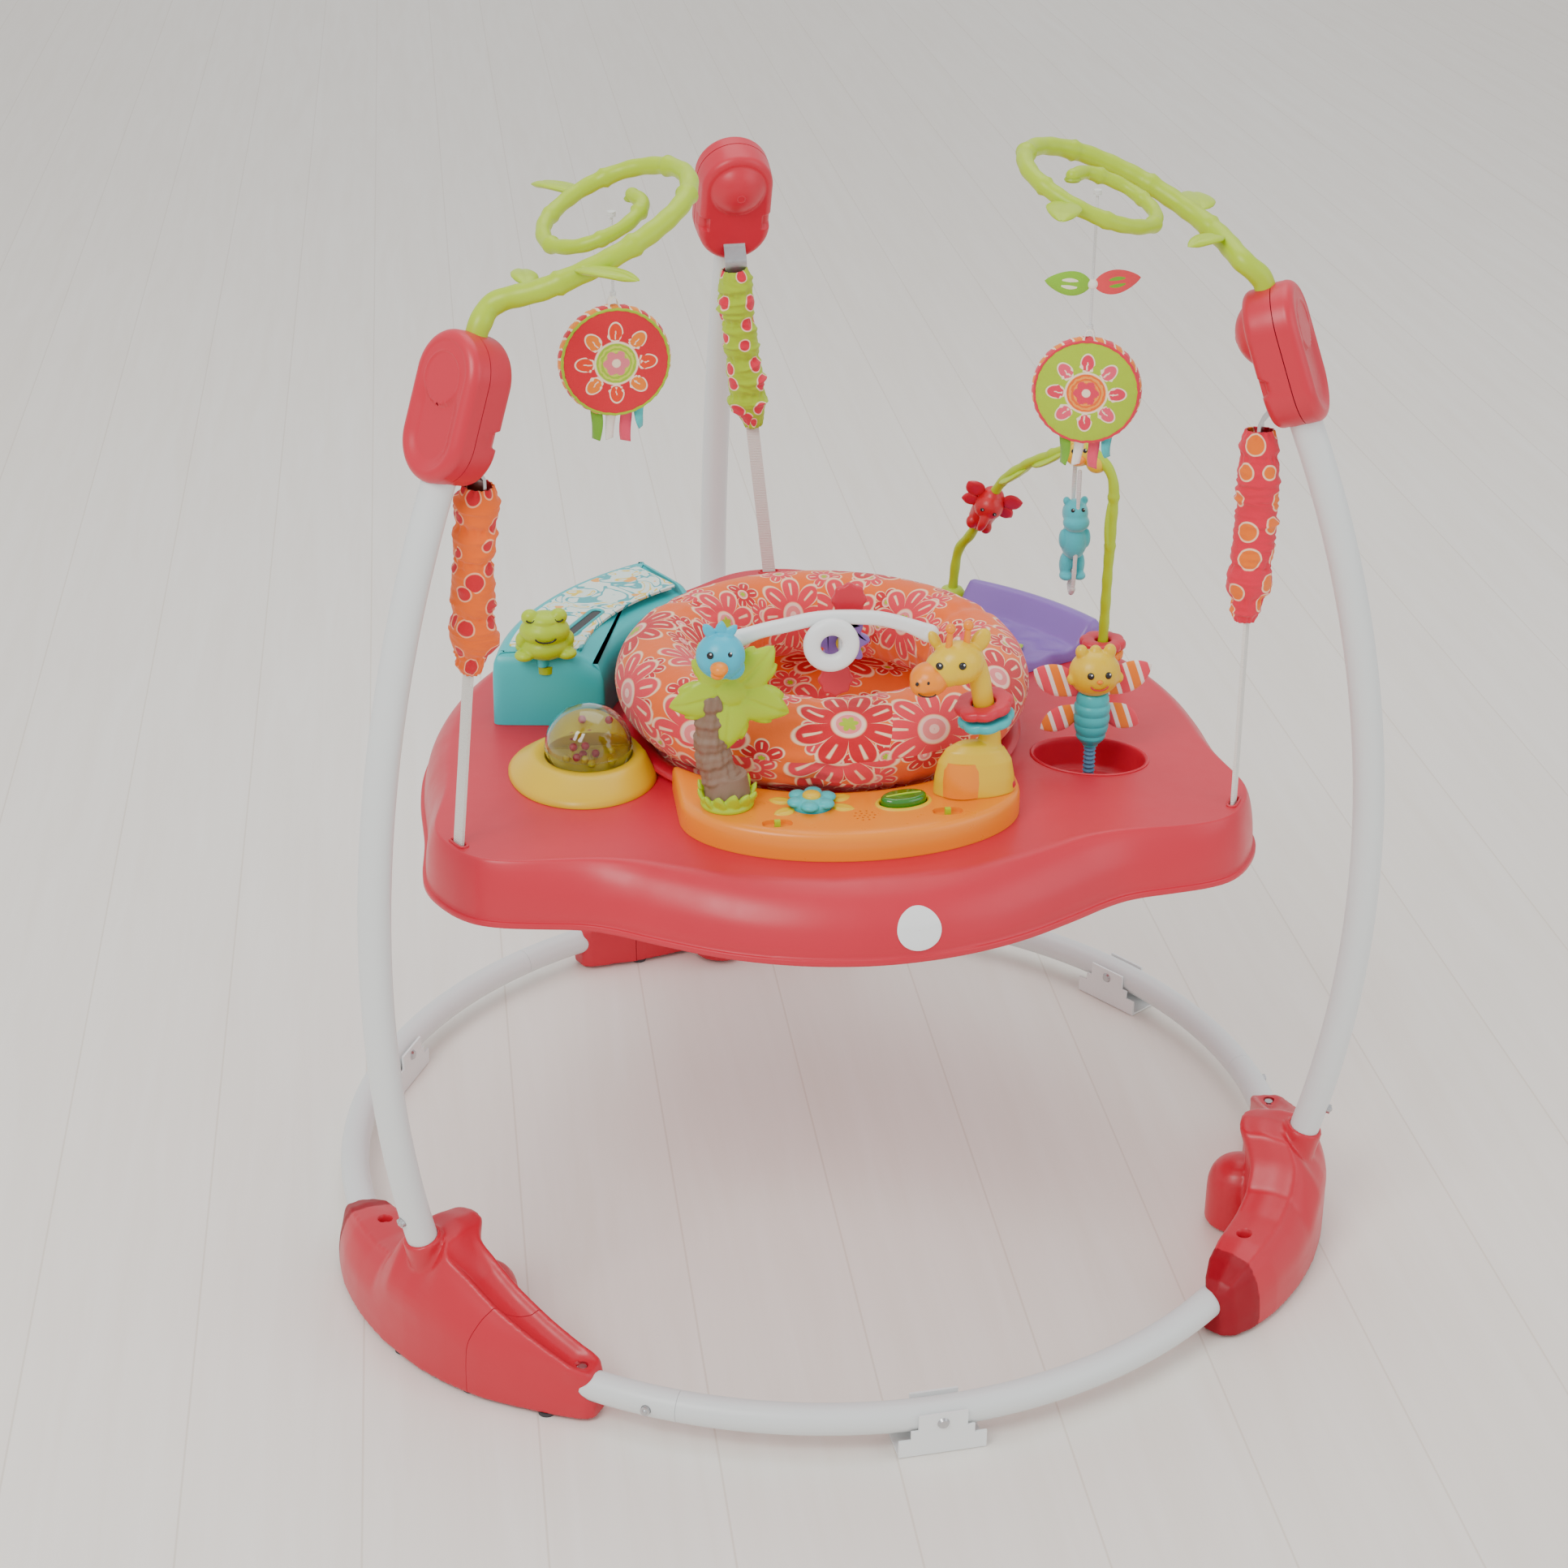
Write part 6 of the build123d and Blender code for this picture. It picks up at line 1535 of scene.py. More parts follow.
def music_ring(ins, z):
    pts = []
    a, bq = 138 - ins, 84 - ins
    tt = np.linspace(pi + 0.06, 2 * pi - 0.06, 90)
    lo = [(a * math.cos(t), -165 + bq * math.sin(t)) for t in tt]
    xr = lo[-1][0]
    R = 169.5 + ins
    a1 = math.asin(min(1, xr / R))
    up_ = [(R * math.sin(s), -R * math.cos(s)) for s in np.linspace(a1, -a1, 80)]
    lo = [p for p in lo if math.hypot(*p) > R + 0.2]
    o = np.array(lo + up_)
    d = np.r_[0, np.cumsum(np.linalg.norm(np.diff(np.vstack([o, o[:1]]), axis=0), axis=1))]
    s = np.linspace(0, d[-1], 221)[:-1]
    oo = np.vstack([o, o[:1]])
    o = np.c_[np.interp(s, d, oo[:, 0]), np.interp(s, d, oo[:, 1])]
    for _ in range(3):
        o = 0.5 * o + 0.25 * (np.roll(o, 1, 0) + np.roll(o, -1, 0))
    return np.c_[o, np.full(len(o), z)]


rows = [music_ring(i, z) for i, z in ((3, 433.2), (0.6, 433.2), (0, 433.8), (0, 440), (0.2, 449), (1.0, 453.0), (2.6, 455.2), (5, 456.2), (8, 456.5), (12, 456.5))]
P = np.array(rows).transpose(1, 0, 2)
ms = grid(P, cu=True, cap0=True, cap1=True)
FLOWER, LEAF_B, SW_L, SW_R = arr(-35, -192, 0), arr(38, -196, 0), arr(-66, -222, 0), arr(70, -216, 0)
tools = [lathe([(17.6, 452.0), (17.6, 470)], FLOWER, n=64, cap0=True, cap1=True)]
le = [(LEAF_B[0] + 19.8 * math.cos(t) * cs(12)[0] - 11.8 * math.sin(t) * cs(12)[1], LEAF_B[1] + 19.8 * math.cos(t) * cs(12)[1] + 11.8 * math.sin(t) * cs(12)[0]) for t in np.linspace(0, 2 * pi, 61)[:-1]]
tools.append(prism(le, 452.0, 470, 0.01, 1))
for p in (SW_L, SW_R):
    tools.append(prism([(p[0] + 12 * np.sign(math.cos(t)) * abs(math.cos(t)) ** 0.7, p[1] + 6.5 * np.sign(math.sin(t)) * abs(math.sin(t)) ** 0.7) for t in np.linspace(0, 2 * pi, 49)[:-1]], 453.0, 470, 0.01, 1))
for n_, rr in ((1, 0), (6, 4), (10, 8)):
    for k in range(n_):
        t = 2 * pi * k / n_
        tools.append(lathe([(1.0, 453.5), (1.0, 470)], (4 + rr * math.cos(t), -216 + rr * math.sin(t), 0), n=10, cap0=True, cap1=True))
ms = cut(ms, tools)
make("music_moulding", ms, "tray", "orange", "orange_plastic", rep=("music_base",), angle=35)
# raised leaf relief round the flower key
rl = []
for a in (20, 70, 110, 160, 205, 340):
    d = arr(*cs(a), 0)
    if (FLOWER + d * 36)[1] < -176 or a > 180:
        rl.append(leaf(FLOWER + d * 16 + arr(0, 0, 456.6), FLOWER + d * 35 + arr(0, 0, 456.4), 13, 3.6, blunt=0.9, rib=0.5, n=12, m=8))
make("music_leaf_relief", join(*rl), "tray", "yellow", "yellow_plastic", angle=50)
pet = []
for k in range(6):
    t = 2 * pi * k / 6 + 0.3
    pet.append(ell(FLOWER + arr(13.4 * math.cos(t), 13.4 * math.sin(t), 461.0), (7.4, 7.4, 3.4), 20, 10))
pet += [ell(FLOWER + arr(0, 0, 461.2), (12.5, 12.5, 3.6), 30, 12), lathe([(16.6, 452), (16.6, 459.6), (14, 460.4)], FLOWER, n=48, cap0=True, cap1=True)]
make("flower_key_cap", fuse(pet, 0.8, 2), "flower_key", "aqua", "aqua_plastic", rep=("flower_button",), angle=60)
make("flower_key_centre", lathe([(7.4, 463.2), (7.3, 465.2), (6.2, 466.4), (3.4, 467.2), (0.05, 467.3)], FLOWER, n=40, cap0=True, cap1=True), "flower_key", "yellow", "yellow_plastic", angle=60)
lk = prism([(LEAF_B[0] + 19.0 * math.cos(t) * cs(12)[0] - 11.0 * math.sin(t) * cs(12)[1], LEAF_B[1] + 19.0 * math.cos(t) * cs(12)[1] + 11.0 * math.sin(t) * cs(12)[0]) for t in np.linspace(0, 2 * pi, 61)[:-1]], 449, 463.4, 3.2, 5)
make("leaf_key_cap", lk, "leaf_key", "green", "lime_plastic", rep=("leaf_button",), angle=60)
dd = arr(cs(12)[0], cs(12)[1], 0)
make("leaf_key_rib", tube([LEAF_B - dd * 14 + arr(0, 0, 463.2), LEAF_B + arr(0, 0, 463.6), LEAF_B + dd * 14 + arr(0, 0, 463.2)], 0.9, 10, 6), "leaf_key", "lime", "lime_plastic")
lb = np.array([[(LEAF_B[0] + (19.8 + g) * math.cos(t) * cs(12)[0] - (11.8 + g) * math.sin(t) * cs(12)[1], LEAF_B[1] + (19.8 + g) * math.cos(t) * cs(12)[1] + (11.8 + g) * math.sin(t) * cs(12)[0], z) for t in np.linspace(0, 2 * pi, 61)[:-1]] for g, z in ((0, 454), (0.1, 456.8), (1.0, 457.8), (2.8, 457.8), (4.0, 456.2))]).transpose(1, 0, 2)
make("leaf_key_frame", grid(lb, cu=True), "tray", "yellow", "yellow_plastic", angle=60)

# ------------------------------------------------------------------ palm tree, bird, toy bar and spinner
trunk = lathe([(19, 456.3), (19.5, 462), (18, 470), (16.5, 478), (15.5, 484)], (-101, -183, 0), n=40, cap0=True, cap1=True)


def bark(s):
    return 0.9 * math.sin(s / 2.6) + 0.5 * math.sin(s / 1.1 + 2)


trunk2 = tube([(-101, -183, 462), (-106, -182.6, 480), (-112.5, -182, 502), (-114, -182.6, 524), (-114, -183, 546)], [16.5, 14.5, 13.5, 12.0, 11.5], 40, 12, ripple=bark)
v = trunk2[0].copy()
ang = np.arctan2(v[:, 1] + 182.5, v[:, 0] + 110)
v += np.c_[np.cos(ang), np.sin(ang), 0 * ang] * (0.8 * np.sin(7 * ang + v[:, 2] / 9.0) + 0.5 * np.sin(13 * ang - v[:, 2] / 5.0))[:, None]
make("palm_trunk", fuse([trunk, (v, trunk2[1])], 0.8, 2), "tray", "brown", "brown_plastic", rep=("palm_tree",), angle=70)
gr = []
for k in range(12):
    t = 2 * pi * k / 12
    gr.append(leaf(arr(-101 + 15 * math.cos(t), -183 + 15 * math.sin(t), 456.8), arr(-101 + 24 * math.cos(t + 0.15), -183 + 24 * math.sin(t + 0.15), 473 + 2.5 * math.sin(3 * t)), 14, 5.2, up=(math.cos(t), math.sin(t), 0.3), blunt=0.6, n=10, m=8, rib=0.3))
gr.append(lathe([(21, 456.3), (21.5, 459), (19.5, 462.5), (16, 464)], (-101, -183, 0), n=40, cap0=True, cap1=True))
make("palm_grass", fuse(gr, 0.8, 2), "tray", "lime", "lime_plastic", angle=60)
lv = []
for k in range(5):
    a = 72 * k - 96
    d = arr(cs(a)[0], 0, cs(a)[1])
    c = arr(-98, -187, 555)
    lv.append(leaf(c + d * 4, c + d * 50, 34, 9.5, up=(0, -1, 0), blunt=0.62, rib=1.2, bend=1.5, n=16, m=12))
    for s in (-1, 1):
        d2 = arr(cs(a + 17 * s)[0], 0, cs(a + 17 * s)[1])
        lv.append(leaf(c + d2 * 20, c + d2 * 42, 17, 8.0, up=(0, -1, 0), blunt=0.7, rib=0.6, n=10, m=8))
lv.append(ell((-98, -187, 555), (14, 6, 14)))
make("palm_leaves", fuse(lv, 0.9, 2), "tray", "lime", "lime_plastic", angle=60)
B = arr(-108, -203, 593)
make("bird_body", fuse([ell(B, (19, 17.5, 18.5)), ell(B + arr(9, 2, -11), (10, 9, 10)), leaf(B + arr(-6, 0, 16), B + arr(-13, 0, 27), 9, 5, up=(0, -1, 0)), leaf(B + arr(0, 0, 17), B + arr(1, 0, 29), 9, 5, up=(0, -1, 0)), leaf(B + arr(5, 0, 16), B + arr(13, 0, 25), 8, 5, up=(0, -1, 0)),
                       ell(B + arr(0, 12, -13), (10, 8, 12))], 0.9, 3), "tray", "blue", "aqua_plastic", angle=60)
make("bird_beak", fuse([ell(B + arr(-3, -18.5, -3), (7, 8.5, 5.4)), ell(B + arr(-4, -17, -8.5), (5.5, 6.0, 3.4))], 0.7, 3), "tray", "orange", "orange_plastic", angle=60)
for k, sx in enumerate((-9.5, 5.5)):
    eye("bird_eye_%d" % k, B + arr(sx, -14.4, 6.5), (sx * 0.05, -1, 0.4), 2.7, "tray")

bar = curve([(-93, 594), (-74, 600.2), (-55, 604), (-37, 607.6), (-19, 609), (0, 608.4), (20, 606), (40, 600), (58, 592)], 8)
wd = 5.5 + 1.6 * np.clip(1 - np.linspace(0, 1, len(bar)) * 9, 0, 1) + 1.6 * np.clip(np.linspace(0, 1, len(bar)) * 9 - 8, 0, 1)
Pb = []
tg = np.gradient(bar, axis=0)
tg /= np.linalg.norm(tg, axis=1)[:, None]
for k in range(len(bar)):
    nr = arr(-tg[k][1], 0, tg[k][0])
    c = arr(bar[k][0], -176, bar[k][1])
    Pb.append([c + nr * wd[k] * np.sign(math.cos(t)) * abs(math.cos(t)) ** 0.6 + arr(0, 4.4, 0) * np.sign(math.sin(t)) * abs(math.sin(t)) ** 0.6 for t in np.linspace(0, 2 * pi, 33)[:-1]])
Pb = np.array(Pb).transpose(1, 0, 2)
g_ = grid(Pb, cu=True, cap0=True, cap1=True)
endcaps = [ell((bar[0][0], -176, bar[0][1]), (8, 5.4, 7.6)), ell((bar[-1][0], -176, bar[-1][1]), (8, 5.4, 7.6))]
make("toy_bar_body", fuse([g_[:2], *endcaps], 0.8, 2), "tray", "white", "white_plastic", rep=("toy_bar",), angle=60)
Rg = []
for i in range(96):
    t = 2 * pi * i / 96
    c = arr(-20 + 15.2 * math.cos(t), -185.5, 590 + 15.2 * math.sin(t))
    d = arr(math.cos(t), 0, math.sin(t))
    Rg.append([c + d * 6.7 * np.sign(math.cos(s)) * abs(math.cos(s)) ** 0.75 + arr(0, 5.4, 0) * np.sign(math.sin(s)) * abs(math.sin(s)) ** 0.75 for s in np.linspace(0, 2 * pi, 25)[:-1]])
make("toy_bar_ring", grid(np.array(Rg), cu=True, cv=True), "tray", "white", "white_plastic", angle=70)
make("toy_bar_axle", lathe([(5.0, 0), (5.0, 1.0), (2.9, 1.4), (2.9, 16), (4.6, 16.6), (4.6, 24)], (-8, -156, 584), (0, -1, 0), 28, cap0=True, cap1=True), "tray", "white", "white_plastic")
make("toy_bar_bracket", prism([(-12.5, 580), (-3.5, 580), (-3.5, 607), (-12.5, 607)], 170, 178.6, 1.2, 3, plane=((1, 0, 0), (0, 0, 1), (0, -1, 0)), both=True), "tray", "white", "white_plastic")
sd = []
for a in (82, 262):
    c = (-8 + 34 * cs(a)[0], 584 + 34 * cs(a)[1])
    sd.append(prism(circle(13.4, 64, c, lobes=8, amp=0.06), 159.4, 165.6, 2.2, 4, plane=((1, 0, 0), (0, 0, 1), (0, -1, 0)), both=True))
arm = prism([(-8 + x * cs(82)[1] + y * cs(82)[0], 584 - x * cs(82)[0] + y * cs(82)[1]) for x, y in ((-6, -28), (6, -28), (6, 28), (-6, 28))], 160, 165, 1.2, 2, plane=((1, 0, 0), (0, 0, 1), (0, -1, 0)), both=True)
make("spinner_petals", fuse([*sd, arm], 0.7, 2), "spinner", "coral", "coral_plastic", rep=("flower_spinner",), angle=50)
make("spinner_star", prism(circle(18.5, 96, (-8, 584), lobes=8, amp=0.16), 158.6, 168.0, 2.6, 4, plane=((1, 0, 0), (0, 0, 1), (0, -1, 0)), both=True), "spinner", "purple", "purple_plastic", angle=50)
make("spinner_boss", lathe([(6, 0), (6, 2.6), (4.6, 3.8), (0.05, 4.0)], (-8, -168.0, 584), (0, -1, 0), 28, cap0=True, cap1=True), "spinner", "yellow", "yellow_plastic")

# ------------------------------------------------------------------ giraffe and its two neck rings
G = []
G.append(lathe([(1, 456.3), (1.0, 457), (0.98, 470), (0.9, 484), (0.72, 494), (0.45, 499.5), (0.05, 500.5)], (0, 0, 0), n=64, cap0=True, cap1=True))
gv = G[0][0] * arr(33, 15.5, 1) + arr(97, -183, 0)
G[0] = (gv, G[0][1])
G.append(tube([(104, -181, 478), (109, -180, 500), (105, -181.5, 520), (101, -183, 540), (97, -184, 558), (90, -186, 572)], [12.5, 9.0, 8.3, 8.3, 8.8, 11], 32, 8))
G += [ell((79, -188, 571), (21, 17.5, 18)), ell((70, -190, 568), (17, 16, 15))]
G += [ell((98, -181, 586), (7.5, 4.5, 11), rot=np.array(Matrix.Rotation(0.5, 3, "Y"))), ell((62, -181, 588), (4.5, 4.5, 9), rot=np.array(Matrix.Rotation(-0.5, 3, "Y")))]
make("giraffe_body", fuse(G, 0.95, 4), "tray", "yellow", "yellow_plastic", rep=("giraffe",), angle=60)
make("giraffe_muzzle", fuse([ell((56, -194, 561), (15.5, 15.5, 13.5)), ell((50, -198, 559), (10, 10.5, 10.5))], 0.9, 3), "tray", "orange", "orange_plastic", angle=60)
hn = []
for x, y in ((86, -186), (71, -191)):
    hn += [tube([(x, y, 584), (x + 1, y, 598)], [2.8, 2.4], 16, 4), ell((x + 1.2, y, 601.5), 4.2)]
make("giraffe_horns", join(*hn), "tray", "orange", "orange_plastic", angle=60)
for k, (x, y, dx) in enumerate(((62, -203.0, -0.5), (80, -205.2, 0.1))):
    eye("giraffe_eye_%d" % k, (x, y, 575.5), (dx, -1, 0.15), 3.0, "tray")
for k, dx in enumerate((-6, 3)):
    make("giraffe_nostril_%d" % k, ell((50 + dx, -208.2, 563.5), (1.4, 0.9, 1.8), 14, 8), "tray", "dark")
make("giraffe_smile", tube(arc_line(arr(52, -208.9, 556), 7, 200, 340, (-0.2, -1, 0), ry=3.5), 0.6, 8, 2), "tray", "dark", angle=60)
bl = lathe([(1, 457.5), (1.0, 470), (0.93, 480), (0.8, 486)], (0, 0, 0), n=48, cap0=True, cap1=True)
bl = (bl[0] * arr(19, 13.2, 1) + arr(88, -187.0, 0), bl[1])
make("giraffe_belly", bl, "tray", "orange", "orange_plastic", angle=60)
tr = [lathe([(7.5, 0), (7.2, 4.5), (5.0, 7), (0.05, 7.4)], (123 - 4 * k, -182, 462 + 13 * k), (1, -0.2, 0.5), 8, cap0=True, cap1=True) for k in range(3)]
make("giraffe_back_trim", fuse(tr, 0.8, 2), "tray", "coral", "coral_plastic", angle=60)
NB, NTP = arr(109, -180, 500), arr(97, -184, 560)
NK = unit(NTP - NB)
na, nb_, _ = basis(NK)
for k, (c, rr, mt) in enumerate(((28.0, 22.5, "coral"), (16.0, 21.5, "aqua"))):
    base = NB + NK * c
    rows = []
    for s in np.linspace(0, 2 * pi, 17)[:-1]:
        ring = []
        for t in np.linspace(0, 2 * pi, 145)[:-1]:
            Ro = rr + 1.9 * abs(math.sin(4 * t)) - 0.6
            mid, hw = (9.5 + Ro) / 2, (Ro - 9.5) / 2
            r = mid + hw * np.sign(math.cos(s)) * abs(math.cos(s)) ** 0.55
            ring.append(base + NK * (4.25 + 4.2 * np.sign(math.sin(s)) * abs(math.sin(s)) ** 0.7) + (na * math.cos(t) + nb_ * math.sin(t)) * r)
        rows.append(ring)
    make("neck_ring_%d" % k, grid(np.array(rows), cu=True, cv=True), "rings", mt, mt + "_plastic", rep=("neck_rings",) if k == 0 else (), angle=60)

# ------------------------------------------------------------------ bee on a flexible stalk in the oval cup
C3 = arr(CUP[0], CUP[1], 0)
make("bee_stalk_rubber", lathe([(9, 405.1), (9, 408.4), (7.5, 409.3)] + [(4.4 + 0.8 * math.cos(z * 1.6), z) for z in np.linspace(410, 443, 70)], C3, n=36, cap0=True, cap1=True), "stalk", "slate", "aqua_plastic", rep=("bee_stalk",), angle=50)
pr = [(6.4, 443.6), (6.6, 445)]
for z in np.linspace(446, 492, 90):
    env = np.interp(z, [446, 452, 464, 480, 492], [7.5, 11.5, 14.0, 14.2, 11.5])
    pr.append((env + 1.0 * abs(math.sin((z - 446) * pi / 9.2)) ** 0.8, z))
make("bee_body", lathe(pr, C3, n=48, cap0=True, cap1=True), "bee", "aqua", "aqua_plastic", rep=("bee_toy",), angle=60)
HD = C3 + arr(0, -1, 510)
make("bee_head", fuse([ell(HD, (21.5, 19.5, 20)), ell(HD + arr(-12, 0, 19), (5.2, 5.2, 6.2)), ell(HD + arr(12, 0, 19), (5.2, 5.2, 6.2)), ell(HD + arr(0, 1, 19), (5, 5, 5)), ell(HD + arr(-19, -3, -4), (5, 5, 5)), ell(HD + arr(19, -3, -4), (5, 5, 5))], 0.9, 4), "bee", "yellow", "yellow_plastic", angle=60)
for k, sx in enumerate((-7.5, 7.5)):
    eye("bee_eye_%d" % k, HD + arr(sx, -17.9, 4.5), (sx * 0.04, -1, 0.25), 2.9, "bee")
make("bee_smile", tube(arc_line(HD + arr(0, -19.6, -3), 7.5, 200, 340, (0, -1, 0), ry=5), 0.7, 8, 2), "bee", "coral", angle=60)
make("bee_nose", ell(HD + arr(0, -19.4, -0.5), (2.6, 2.0, 2.0), 18, 12), "bee", "orange", angle=60)
WING = striped("bee_wing_print", [((236, 92, 112), 0), ((246, 240, 232), 0.34), ((244, 150, 40), 0.5), ((246, 240, 232), 0.84)], 46.0, "x", 0.35)
for s in (-1, 1):
    for k, (bx, bz, tx, tz, w) in enumerate(((4, 488, 50, 512, 27), (4, 478, 42, 458, 22))):
        base, tip = C3 + arr(s * bx, 4.5, bz), C3 + arr(s * tx, 5.5, tz)
        lw = leaf(base, tip, w, 5.6, up=(0, -1, 0), blunt=1.25, rib=0.0, n=22, m=14)
        V__ = np.asarray(lw[0])
        uv = [[((V__[i][0]) / 1000.0, (V__[i][2]) / 1000.0) for i in q] for q in lw[1]]
        make("bee_wing_%s_%d" % ("l" if s < 0 else "r", k), (lw[0], lw[1], uv), "bee", None, mats=[WING], angle=60)

# ------------------------------------------------------------------ pond panel with relief waves
rr_ = np.r_[np.linspace(186, 305, 44)]
pz = np.interp(rr_, [186, 189, 194, 203, 240, 276, 284, 292, 297, 302, 305], [447, 449.5, 448, 442.4, 442.6, 444.2, 454, 463.6, 466, 465, 461])
aa = np.linspace(25, 55, 60)
Pp = []
for a in aa:
    e = min((a - 25) / 1.4, (55 - a) / 1.4, 1)
    row = [pol(rr_[0] + 0.4, a, 433.3)]
    for r, z in zip(rr_, pz):
        wv = 0
        if 205 < r < 276:
            wv = 1.3 * sstep((r - 205) / 8) * sstep((276 - r) / 8) * math.sin((r - 205) / 5.2 + 0.9 * math.sin(a * 0.9))
        row.append(pol(r, a, 433.6 + (z + wv - 433.6) * math.sqrt(max(0.0, 1 - (1 - e) ** 2))))
    row.append(pol(rr_[-1] - 0.2, a, 433.3))
    Pp.append(row)
v, f, _ = grid(np.array(Pp))
k = len(Pp[0])
f += [list(range(k)), [(len(Pp) - 1) * k + i for i in range(k)][::-1]]
make("pond_panel_moulding", (v, f), "tray", "purple", "purple_plastic", rep=("pond_panel",), angle=50)
lp = []
for a, r, ra in ((33, 232, 20), (45, 256, 80), (40, 215, 200)):
    c = pol(r, a, 444.8)
    d = arr(*cs(ra), 0)
    lp.append(leaf(c - d * 9, c + d * 9, 13, 3.6, blunt=0.9, rib=0.6, n=12, m=8))
make("pond_lily_leaves", join(*lp), "tray", "lime", "lime_plastic", angle=60)

# ------------------------------------------------------------------ leaf arch, its rings, elephant and hanging hippo
ARCH = [(265, 86, 434), (265.6, 86, 490), (266, 86, 537), (267.4, 87, 585), (266, 90, 616), (254, 100, 634), (240, 110, 640), (222, 138, 622), (206, 165, 604), (190, 198, 574), (174, 234, 516), (164, 250, 490), (160, 252, 447)]


def knot(s):
    return 0.25 * math.sin(s * 0.3) + 1.3 * sum(math.exp(-((s - q) / 3.0) ** 2) for q in (120, 165, 215, 262, 400))


make("arch_stem_rod", tube(ARCH, 4.5, 22, 14, ripple=knot), "tray", "lime", "lime_plastic", rep=("arch_stem",), angle=60)
make("arch_foot_front", lathe([(15, 433.3), (15, 441), (13.6, 444.5), (10, 446.6), (5, 447.2)], (265, 86, 0), n=44, cap0=True, cap1=True), "tray", "lime", "lime_plastic", angle=50)
make("arch_foot_back", lathe([(15, 433.3), (14.6, 441), (12.8, 448), (9.5, 453), (5, 454.4)], (160, 252, 0), n=44, cap0=True, cap1=True), "tray", "lime", "lime_plastic", angle=50)
al = []
for (x, y, z), d, ln, w in (((267, 87, 575), (0, 0.05, 1), 62, 17), ((222, 138, 620), (-0.5, 0.75, -0.55), 54, 30), ((199, 180, 590), (-0.45, 0.8, -0.6), 48, 30)):
    d = unit(d)
    nn = unit(np.cross(d, arr(1, 1, 0.2)))
    al.append(leaf(arr(x, y, z) - d * ln / 2, arr(x, y, z) + d * ln / 2, w * 1.05, 5.6, up=nn, blunt=0.8, rib=0.8, bend=1.5))
make("arch_leaves", fuse(al, 0.9, 2), "tray", "lime", "lime_plastic", angle=60)
CR = arr(240, 110, 634)
make("critter_body", fuse([ell(CR, (13.5, 12.5, 13)), ell(CR + arr(14, -10, -8), (9.5, 8.5, 8.5)), ell(CR + arr(-9, -2, 9), (4.2, 4.2, 4.6)), ell(CR + arr(6, -2, 11), (4.2, 4.2, 4.6))], 0.85, 3), "tray", "yellow", "yellow_plastic", angle=60)
make("critter_cheeks", ell(CR + arr(-3, -10.5, -3.5), (6.6, 4.8, 5.0)), "tray", "orange", "orange_plastic", angle=60)
for k, sx in enumerate((-7.5, 2.5)):
    eye("critter_eye_%d" % k, CR + arr(sx, -11.0, 4.5), (sx * 0.06, -1, 0.3), 2.1, "tray")
for k, (z, rr, mt) in enumerate(((448.6, 19.0, "orange"), (458.2, 20.5, "coral"))):
    rows = []
    for s in np.linspace(0, 2 * pi, 17)[:-1]:
        ring = []
        for t in np.linspace(0, 2 * pi, 145)[:-1]:
            Ro = rr * (0.93 + 0.09 * abs(math.sin(4 * t)) if k else 0.97 + 0.03 * math.sin(24 * t))
            mid, hw = (6.8 + Ro) / 2, (Ro - 6.8) / 2
            r = mid + hw * np.sign(math.cos(s)) * abs(math.cos(s)) ** 0.55
            ring.append((265.2 + r * math.cos(t), 86 + r * math.sin(t), z + 4.4 + 4.3 * np.sign(math.sin(s)) * abs(math.sin(s)) ** 0.7))
        rows.append(ring)
    make("arch_ring_%d" % k, grid(np.array(rows), cu=True, cv=True), "arch_ring_pair", mt, mt + "_plastic", rep=("arch_rings",) if k == 0 else (), angle=60)
E0, E1 = arr(190, 198, 574), arr(174, 234, 516)
ED = unit(E1 - E0)
EC = (E0 + E1) / 2
ex, ey, _ = basis(-ED)
front_ = unit(arr(-0.15, -1, 0.1) - ED * (arr(-0.15, -1, 0.1) @ ED))
sid = np.cross(ED, front_)
up_ = -ED
eb = [tube([EC - up_ * 15, EC, EC + up_ * 15], [11.5, 13, 11.5], 26, 5), ell(EC + up_ * 10 + front_ * 6, (13.5, 13, 13)),
      tube([EC + up_ * 8 + front_ * 15, EC + up_ * 1 + front_ * 21, EC - up_ * 6 + front_ * 20, EC - up_ * 9 + front_ * 15], [5.0, 4.2, 3.5, 3.2], 16, 6)]
for s in (-1, 1):
    eb.append(ell(EC - up_ * 15 + sid * s * 7 + front_ * 8, (5.5, 5.5, 6.5)))
make("elephant_body", fuse(eb, 0.9, 3), "elephant_bead", "red", "coral_plastic", rep=("elephant",), angle=60)
er = []
for s in (-1, 1):
    er.append(leaf(EC + up_ * 14 + sid * s * 8, EC + up_ * 24 + sid * s * 27, 19, 5, up=front_, blunt=1.1, rib=0, n=14, m=10))
    er.append(leaf(EC + up_ * 8 + sid * s * 8, EC + up_ * 1 + sid * s * 25, 16, 5, up=front_, blunt=1.1, rib=0, n=14, m=10))
make("elephant_ears", join(*er), "elephant_bead", "coral", "coral_plastic", angle=60)
for k, s in enumerate((-1, 1)):
    eye("elephant_eye_%d" % k, EC + up_ * 14 + front_ * 17.4 + sid * s * 6.0, front_, 1.9, "elephant_bead")
H = arr(240, 112, 0)
